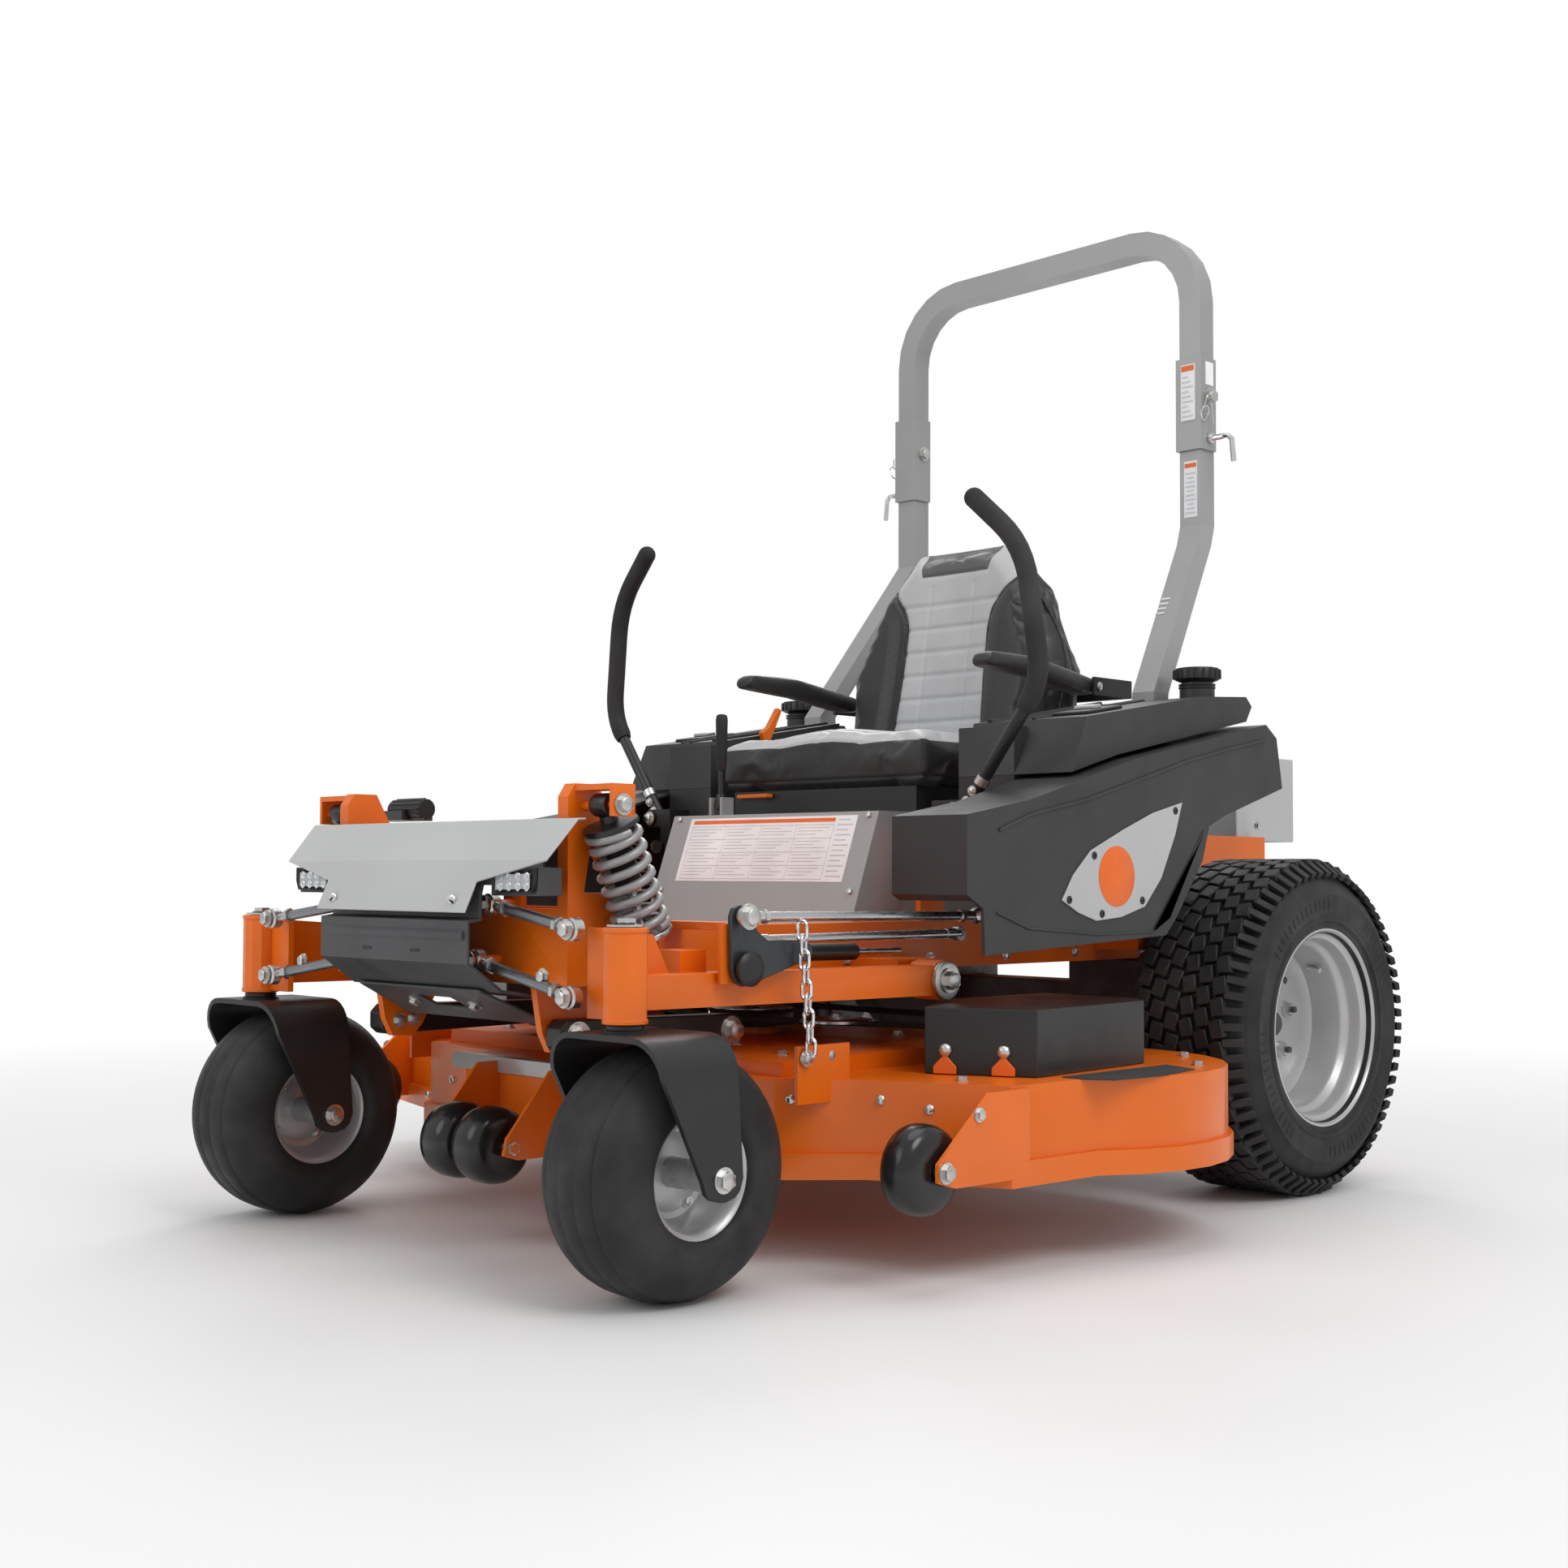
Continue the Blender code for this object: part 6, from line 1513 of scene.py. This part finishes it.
def makeSeatFittings():
    refine("seat_base", "trim", 0.0025, 2)
    bm = bmesh.new()  # belt buckle lever at the far armrest
    addPlate(bm, [(0.150, 0.800), (0.166, 0.802), (0.196, 0.862), (0.186, 0.868), (0.160, 0.830),
                  (0.142, 0.818)], "x",
             -0.284, -0.272)
    onMachine(bm)
    finishPiece("belt_release", bm, "seat", "orange", 30.0, 0.003)
    bm = bmesh.new()  # slide lever under the cushion's front edge
    addPlate(bm, [(-0.205, 0.012), (-0.120, 0.004), (-0.118, 0.020), (-0.20, 0.034)], "z", 0.686, 0.693)
    onMachine(bm)
    finishPiece("slide_lever", bm, "seat", "orange", 30.0, 0.002)
    bm = bmesh.new()  # belt reel and its tongue
    addTurned(bm, [(0, 0), (0.020, 0), (0.024, 0.004), (0.024, 0.026), (0.020, 0.030), (0, 0.030)],
              at(0.258, 0.392, 0.818), (1, 0, 0), 32)
    addBlock(bm, at(0.260, 0.330, 0.824), at(0.278, 0.372, 0.836))
    finishPiece("belt_reel", bm, "seat", "trim", 35.0, 0.002)
    bm = bmesh.new()
    addBlock(bm, at(0.276, 0.300, 0.809), at(0.287, 0.334, 0.812))
    addBolt(bm, at(0.300, 0.392, 0.800), (1, 0, 0), 0.008)
    finishPiece("belt_tongue", bm, "seat", "chrome", 30.0, 0.001)
    bm = bmesh.new()
    for side, sign in sides:
        addBolt(bm, at(sign * 0.3135, 0.400, 0.885), (sign, 0, 0), 0.009)
    finishPiece("armrest_bolts", bm, "seat", "zinc", 30.0)


makeSeatBack()
makeSeatCushion()
makeArmrests()
makeSeatFittings()
print("seat done")


emblem = {"plate": [(0.283, 0.669), (0.200, 0.650), (0.120, 0.622), (0.033, 0.588), (-0.012, 0.550),
                    (-0.041, 0.511),
                    (0.000, 0.492), (0.046, 0.479), (0.112, 0.484), (0.176, 0.500), (0.222, 0.545),
                    (0.262, 0.615)],
          "disc": (0.099, 0.548), "radius": 0.0475, "thick": 0.0032,
          "screws": ((0.262, 0.655), (0.040, 0.580), (-0.024, 0.512), (0.060, 0.490), (0.168, 0.510))}


def makeFenders():
    for side, sign in sides:
        refine(f"fender_{side}", "plastic", 0.009, 4, 24.0)
        refine(f"fuel_tank_{side}", "plastic", 0.008, 4, 24.0)
    face = 0.565
    bm = bmesh.new()
    addPlate(bm, emblem["plate"], "x", face - 0.0002, face + emblem["thick"])
    onMachine(bm)
    finishPair("emblem_plate", bm, "chassis", "plate", 30.0, 0.0012)
    bm = bmesh.new()
    y, z = emblem["disc"]
    addTurned(bm, [(0, 0), (emblem["radius"], 0), (emblem["radius"], 0.0006),
                   (emblem["radius"] - 0.0006, 0.0009), (0, 0.0009)],
              at(face + emblem["thick"] - 0.0001, y, z), (1, 0, 0), 64)
    finishPair("emblem_disc", bm, "chassis", "labelOrange", 30.0)
    bm = bmesh.new()
    for y, z in emblem["screws"]:
        addTurned(bm, [(0, 0), (0.0062, 0), (0.0062, 0.0012), (0.0040, 0.0026), (0.0022, 0.0026),
                       (0.0018, 0.0014), (0, 0.0014)],
                  at(face + emblem["thick"] - 0.0002, y, z), (1, 0, 0), 20)
    finishPair("emblem_screws", bm, "chassis", "trim", 30.0)
    bm = bmesh.new()  # raised crease along the fender's face
    crease = [(-0.190, 0.612), (-0.110, 0.638), (0.020, 0.662), (0.160, 0.698), (0.300, 0.735),
              (0.430, 0.762), (0.545, 0.783)]
    upper = [(y, z + 0.0052) for y, z in crease]
    addPlate(bm, crease + upper[::-1], "x", face - 0.001, face + 0.0032)
    lowCrease = [(-0.195, 0.492), (-0.120, 0.468), (0.060, 0.456), (0.200, 0.458), (0.246, 0.478),
                 (0.322, 0.590), (0.350, 0.622)]
    lower = [(y, z + 0.0042) for y, z in lowCrease]
    addPlate(bm, lowCrease + lower[::-1], "x", face - 0.001, face + 0.0024)
    onMachine(bm)
    finishPair("fender_crease", bm, "chassis", "plastic", 30.0, 0.0016)
    shape = nodeShape("fuel_tank_left")
    tree = BVHTree.FromBMesh(shape)
    shape.free()

    def topAt(x, y):
        found = tree.ray_cast(at(x, y, 1.2), Vector((0, 0, -1)))
        return found[0]
    bm = bmesh.new()  # raised rails along the tank's top
    for x, wide in ((0.400, 0.0045), (0.424, 0.0045), (0.334, 0.006)):
        line = [topAt(x, 0.075 + 0.46 * step / 12) for step in range(13)]
        line = [point for point in line if point]
        addTube(bm, [point + Vector((0, 0, -0.0004)) for point in line], wide, 10, smoothPath=False)
    finishPair("tank_rails", bm, "chassis", "trim", 50.0)
    bm = bmesh.new()  # small lidded tray and its latch
    spot = topAt(0.462, 0.170)
    slope = (topAt(0.462, 0.220) - spot).normalized()
    turn = Matrix.Rotation(math.asin(slope.z), 3, "X")
    lid = addBlock(bm, spot + Vector((-0.036, -0.048, -0.001)), spot + Vector((0.036, 0.048, 0.006)))
    bmesh.ops.rotate(bm, cent=spot, matrix=turn, verts=lid)
    finishPair("tray_lid", bm, "chassis", "trim", 30.0, 0.003)
    bm = bmesh.new()
    grip = addBlock(bm, spot + Vector((-0.020, -0.012, 0.0055)), spot + Vector((0.020, 0.012, 0.0125)))
    bmesh.ops.rotate(bm, cent=spot, matrix=turn, verts=grip)
    finishPair("tray_latch", bm, "chassis", "rim", 30.0, 0.0025)
    low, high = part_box("fuel_cap_left")
    spot = Vector(((low.x + high.x) / 2, (low.y + high.y) / 2, 0))
    bm = bmesh.new()
    cap = [(0, 0.8725), (0.026, 0.8725), (0.0265, 0.884), (0.034, 0.887), (0.0385, 0.8895),
           (0.0390, 0.9045), (0.0365, 0.9085),
           (0.031, 0.9095), (0.027, 0.9065), (0.012, 0.9065), (0.010, 0.9090), (0, 0.9090)]
    addTurned(bm, cap, spot, (0, 0, 1), 48)
    for step in range(18):
        a = math.tau * step / 18
        rib = spot + Vector((0.0388 * math.cos(a), 0.0388 * math.sin(a), 0))
        addRod(bm, rib + Vector((0, 0, 0.8905)), rib + Vector((0, 0, 0.9060)), 0.0031, 8, 0.0026)
    addBlock(bm, spot + Vector((-0.030, -0.0045, 0.9062)), spot + Vector((0.030, 0.0045, 0.9100)))
    finishPair("fuel_cap_ribbed", bm, "fuel_cap", "trim", 40.0, stands=("fuel_cap",))
    bm = bmesh.new()
    for height in (0.8735, 0.8785):
        addTurned(bm, [(0.026, height), (0.0315, height), (0.0315, height + 0.0028),
                       (0.026, height + 0.0028)], spot, (0, 0, 1), 40,
                  closed=True)
    finishPair("filler_collar", bm, "chassis", "trim", 40.0)


makeFenders()
print("bodywork done")


def makeRollBar():
    refine("rops_base", "silver", 0.0050, 4, 25.0)
    refine("rops_hoop", "silver", 0.0055, 4, 20.0)
    for side, sign in sides:
        refine(f"rops_pin_{side}", "chrome", 0.0008, 1)
    bm = bmesh.new()
    addBolt(bm, at(0.3785, 0.665, 1.440), (1, 0, 0), 0.014)
    addBolt(bm, at(0.3235, 0.665, 1.440), (-1, 0, 0), 0.012)
    for height in (0.560, 0.650):
        addBolt(bm, at(0.4265, 0.455, height), (1, 0, 0), 0.010)
    finishPair("roll_bar_bolts", bm, "chassis", "zinc", 30.0)
    bm = bmesh.new()  # spring clip and lanyard of the lock pin
    spot = at(0.385, 0.640, 1.405)
    ringLine = [spot + Vector((0.004 * math.sin(a), 0.011 * math.cos(a), 0.013 * math.sin(a)))
                for a in [math.tau * step / 16 for step in range(17)]]
    addTube(bm, ringLine, 0.0014, 8, smoothPath=False)
    addTube(bm, [spot + Vector((0, 0, 0.013)), spot + Vector((0.002, 0.004, 0.030)),
                 spot + Vector((0.001, 0.016, 0.034)),
                 spot + Vector((0.002, 0.018, 0.020)), spot + Vector((0.006, 0.020, -0.020))], 0.0014, 8)
    finishPair("pin_clip", bm, "rops_hoop", "chrome", 50.0)
    bm = bmesh.new()  # blank labels down the near post
    labelSpots = ((1.395, 1.500, "rops_hoop"),)
    for low, high, body in labelSpots:
        addBlock(bm, at(0.336, 0.6352, low), at(0.366, 0.6372, high))
    addBlock(bm, at(0.3785, 0.652, 1.462), at(0.3792, 0.678, 1.505))
    finishPiece("hoop_label", bm, "rops_hoop", "label", 30.0)
    bm = bmesh.new()
    addBlock(bm, at(0.3375, 0.6346, 1.488), at(0.3645, 0.6353, 1.498))
    finishPiece("hoop_label_band", bm, "rops_hoop", "labelOrange", 30.0)
    bm = bmesh.new()
    for step in range(9):
        addBlock(bm, at(0.3395, 0.6346, 1.402 + 0.0092 * step),
                 at(0.3625 - 0.005 * (step % 3), 0.6353, 1.4045 + 0.0092 * step))
    finishPiece("hoop_label_rules", bm, "rops_hoop", "labelInk", 30.0)
    shape = nodeShape("rops_base")
    tree = BVHTree.FromBMesh(shape)
    shape.free()
    for name, look, low, high, inset, lift in (("post_label", "label", 1.215, 1.320, 0.0, 0.0006),
                                               ("post_label_band", "labelOrange", 1.308, 1.316, 0.0015,
                                                0.0010)):
        bm = bmesh.new()
        stripOnPost(bm, tree, low, high, 0.014 - inset, lift)
        finishPiece(name, bm, "chassis", look, 30.0)
    bm = bmesh.new()
    for step in range(10):
        stripOnPost(bm, tree, 1.222 + 0.0082 * step, 1.2246 + 0.0082 * step, 0.011 - 0.002 * (step % 3),
                    0.0010)
    for step in range(4):
        stripOnPost(bm, tree, 1.020 + 0.0095 * step, 1.0235 + 0.0095 * step, 0.009, 0.0008)
    finishPiece("post_label_rules", bm, "chassis", "labelInk", 30.0)


# A thin label on the left post's front face, laid over its slope
def stripOnPost(bm, tree, low, high, half, lift):
    spots = []
    for z in (low, high):
        found = tree.ray_cast(at(0.352 if z > 1.19 else 0.366, 0.2, z), Vector((0, 1, 0)))
        if not found[0]:
            return
        spots.append((found[0], found[1]))
    corners = [bm.verts.new(spot + normal * 0.0001 + Vector((sign * half, 0, 0)))
               for (spot, normal), sign in ((spots[0], -1), (spots[0], 1), (spots[1], 1), (spots[1], -1))]
    face = bm.faces.new(corners)
    grown = bmesh.ops.extrude_face_region(bm, geom=[face])
    moved = [item for item in grown["geom"] if isinstance(item, bmesh.types.BMVert)]
    bmesh.ops.translate(bm, vec=spots[0][1] * lift, verts=moved)
    bmesh.ops.recalc_face_normals(bm, faces=bm.faces)


def makeEngine():
    refine("engine", "engine", 0.004, 2)
    bm = bmesh.new()
    spot = at(0, 0.742, 0)
    addTurned(bm, [(0.030, 0.7902), (0.145, 0.7902), (0.148, 0.794), (0.140, 0.800), (0.120, 0.806),
                   (0.060, 0.812), (0.030, 0.814)],
              spot, (0, 0, 1), 64, closed=True)
    finishPiece("blower_cover", bm, "chassis", "trim", 35.0, 0.001)
    bm = bmesh.new()  # spiral guard of the cooling intake
    for ringRadius in (0.035, 0.050, 0.065, 0.080, 0.095, 0.110, 0.125):
        z = 0.815 - 0.020 * (ringRadius / 0.13) ** 2
        addTurned(bm, [(ringRadius - 0.0022, z), (ringRadius + 0.0022, z), (ringRadius + 0.0022, z + 0.004),
                       (ringRadius - 0.0022, z + 0.004)], spot, (0, 0, 1), 56, closed=True)
    for step in range(10):
        a = math.tau * step / 10
        way = Vector((math.cos(a), math.sin(a), 0))
        addRod(bm, spot + way * 0.030 + Vector((0, 0, 0.8165)), spot + way * 0.134 + Vector((0, 0, 0.8015)),
               0.0022, 8)
    finishPiece("intake_guard", bm, "chassis", "steel", 40.0)
    bm = bmesh.new()  # cooling fins of both cylinders
    for sign in (-1, 1):
        for step in range(9):
            x = sign * (0.176 + 0.0062 * step)
            addBlock(bm, at(min(x, x + sign * 0.0022), 0.640, 0.545),
                     at(max(x, x + sign * 0.0022), 0.790, 0.665))
    finishPiece("cylinder_fins", bm, "chassis", "iron", 30.0)
    bm = bmesh.new()
    addTurned(bm, [(0, 0), (0.034, 0), (0.036, 0.003), (0.036, 0.078), (0.033, 0.083), (0, 0.083)],
              at(0.095, 0.905, 0.545),
              (0, 1, 0), 36)
    for step in range(20):
        a = math.tau * step / 20
        way = Vector((0.036 * math.cos(a), 0, 0.036 * math.sin(a)))
        addRod(bm, at(0.095, 0.955, 0.545) + way, at(0.095, 0.986, 0.545) + way, 0.0022, 6)
    finishPiece("oil_filter", bm, "chassis", "labelOrange", 35.0)
    bm = bmesh.new()
    refined = [(0, 0), (0.058, 0), (0.060, 0.004), (0.060, 0.200), (0.058, 0.206), (0, 0.206)]
    addTurned(bm, refined, at(-0.110, 0.955, 0.590), (1, 0, 0), 40)
    addTube(bm, [at(0.06, 0.955, 0.560), at(0.115, 0.960, 0.545), at(0.150, 0.985, 0.520),
                 at(0.160, 1.040, 0.510)], 0.017, 20)
    finishPiece("muffler", bm, "chassis", "iron", 35.0)


def makeGuard():
    refine("rear_guard", "plate", 0.004, 3, 25.0)
    bm = bmesh.new()
    for sign in (-1, 1):
        for z in (0.650, 0.765):
            addBolt(bm, at(sign * 0.2945, 0.960, z), (sign, 0, 0), 0.008)
    finishPiece("guard_bolts", bm, "chassis", "zinc", 30.0)


makeRollBar()
makeEngine()
makeGuard()
print("rear done")


nodeLook = {"orange_paint": "orange", "black_paint": "black", "silver_paint": "silver",
            "dark_plastic": "plastic",
            "bright_steel": "steel", "chrome_steel": "chrome", "tyre": "tyre", "rubber": "roller",
            "black_vinyl": "blackVinyl", "grey_vinyl": "greyVinyl", "engine_metal": "engine",
            "cast_metal": "iron",
            "lamp_glass": "glass", "decal": "label"}


# Nodes whose shape is right keep it and take a finish
def dressNodes():
    for row in frame["record"]["subparts"]:
        node = frame["nodes"][row["node"]]
        look = paint[nodeLook[row["material_slot"]]]
        if not node.material_slots:
            node.data.materials.append(look)
        for slot in node.material_slots:
            slot.material = look


def makeFloor():
    bm = bmesh.new()
    bmesh.ops.create_grid(bm, x_segments=1, y_segments=1, size=30.0)
    mesh = bpy.data.meshes.new("floor")
    bm.to_mesh(mesh)
    bm.free()
    made, tree, shader, place = startMaterial("floorPaint", (0.80, 0.80, 0.80), 0.55)
    roughen(tree, shader, place, 3.0, 4.0, 0.50, 0.62)
    away = tree.nodes.new("ShaderNodeVectorMath")  # plain white beyond the shadows, for the camera only
    away.operation = "LENGTH"
    tree.links.new(place, away.inputs[0])
    far = spread(tree, away.outputs["Value"], 0.0, 1.0, 1.6, 3.6)
    seen = tree.nodes.new("ShaderNodeLightPath")
    both = tree.nodes.new("ShaderNodeMath")
    both.operation = "MULTIPLY"
    tree.links.new(far, both.inputs[0])
    tree.links.new(seen.outputs["Is Camera Ray"], both.inputs[1])
    white = tree.nodes.new("ShaderNodeEmission")
    either = tree.nodes.new("ShaderNodeMixShader")
    tree.links.new(both.outputs[0], either.inputs[0])
    tree.links.new(shader.outputs[0], either.inputs[1])
    tree.links.new(white.outputs[0], either.inputs[2])
    tree.links.new(either.outputs[0], tree.nodes["Material Output"].inputs["Surface"])
    white.inputs["Color"].default_value = (1.0, 1.0, 1.0, 1.0)
    mesh.materials.append(made)
    floor = bpy.data.objects.new("floor", mesh)
    bpy.context.scene.collection.objects.link(floor)


lamps = {
    "keySide": ((4.6, -0.6, 4.8), 3.2, 120.0),
    "fillFront": ((-1.2, -5.2, 3.2), 3.5, 50.0),
    "rearRim": ((-3.4, 3.4, 4.4), 2.6, 70.0),
    "topSoft": ((0.4, 0.2, 6.0), 4.5, 70.0),
}
camera = {"spot": (2.4414, -2.5197, 0.5469), "heading": 45.18, "pitch": 92.42, "roll": 0.26, "lens": 44.19,
          "shift": (0.0021, 0.0065)}


def makeLights():
    aim = at(0, 0, 0.6)
    for name, (spot, size, power) in lamps.items():
        light = bpy.data.lights.new(name, "AREA")
        light.shape = "DISK"
        light.size = size
        light.energy = power
        lamp = bpy.data.objects.new(name, light)
        lamp.location = spot
        lamp.rotation_euler = (aim - Vector(spot)).to_track_quat("-Z", "Y").to_euler()
        bpy.context.scene.collection.objects.link(lamp)
    world = bpy.data.worlds.new("studio")
    world.use_nodes = True
    world.node_tree.nodes["Background"].inputs["Color"].default_value = (1.0, 1.0, 1.0, 1.0)
    backdrop = world.node_tree.nodes["Background"]
    backdrop.inputs["Strength"].default_value = 0.66
    seen = world.node_tree.nodes.new("ShaderNodeLightPath")  # white behind the machine, softer on it
    white = world.node_tree.nodes.new("ShaderNodeBackground")
    white.inputs["Color"].default_value = (1.0, 1.0, 1.0, 1.0)
    white.inputs["Strength"].default_value = 1.0
    either = world.node_tree.nodes.new("ShaderNodeMixShader")
    world.node_tree.links.new(seen.outputs["Is Camera Ray"], either.inputs[0])
    world.node_tree.links.new(backdrop.outputs[0], either.inputs[1])
    world.node_tree.links.new(white.outputs[0], either.inputs[2])
    world.node_tree.links.new(either.outputs[0], world.node_tree.nodes["World Output"].inputs["Surface"])
    bpy.context.scene.world = world
    bpy.context.scene.view_settings.view_transform = "Standard"


def makeCamera():
    data = bpy.data.cameras.new("view")
    data.lens = camera["lens"]
    data.sensor_width = 36.0
    data.shift_x, data.shift_y = camera["shift"]
    eye = bpy.data.objects.new("view", data)
    heading, pitch, roll = [math.radians(camera[part]) for part in ("heading", "pitch", "roll")]
    eye.matrix_world = (Matrix.Translation(camera["spot"]) @ Matrix.Rotation(heading, 4, "Z")
                        @ Matrix.Rotation(pitch, 4, "X") @ Matrix.Rotation(roll, 4, "Z"))
    bpy.context.scene.collection.objects.link(eye)
    bpy.context.scene.camera = eye


dressNodes()
makeFloor()
makeLights()
makeCamera()
print("stage done")
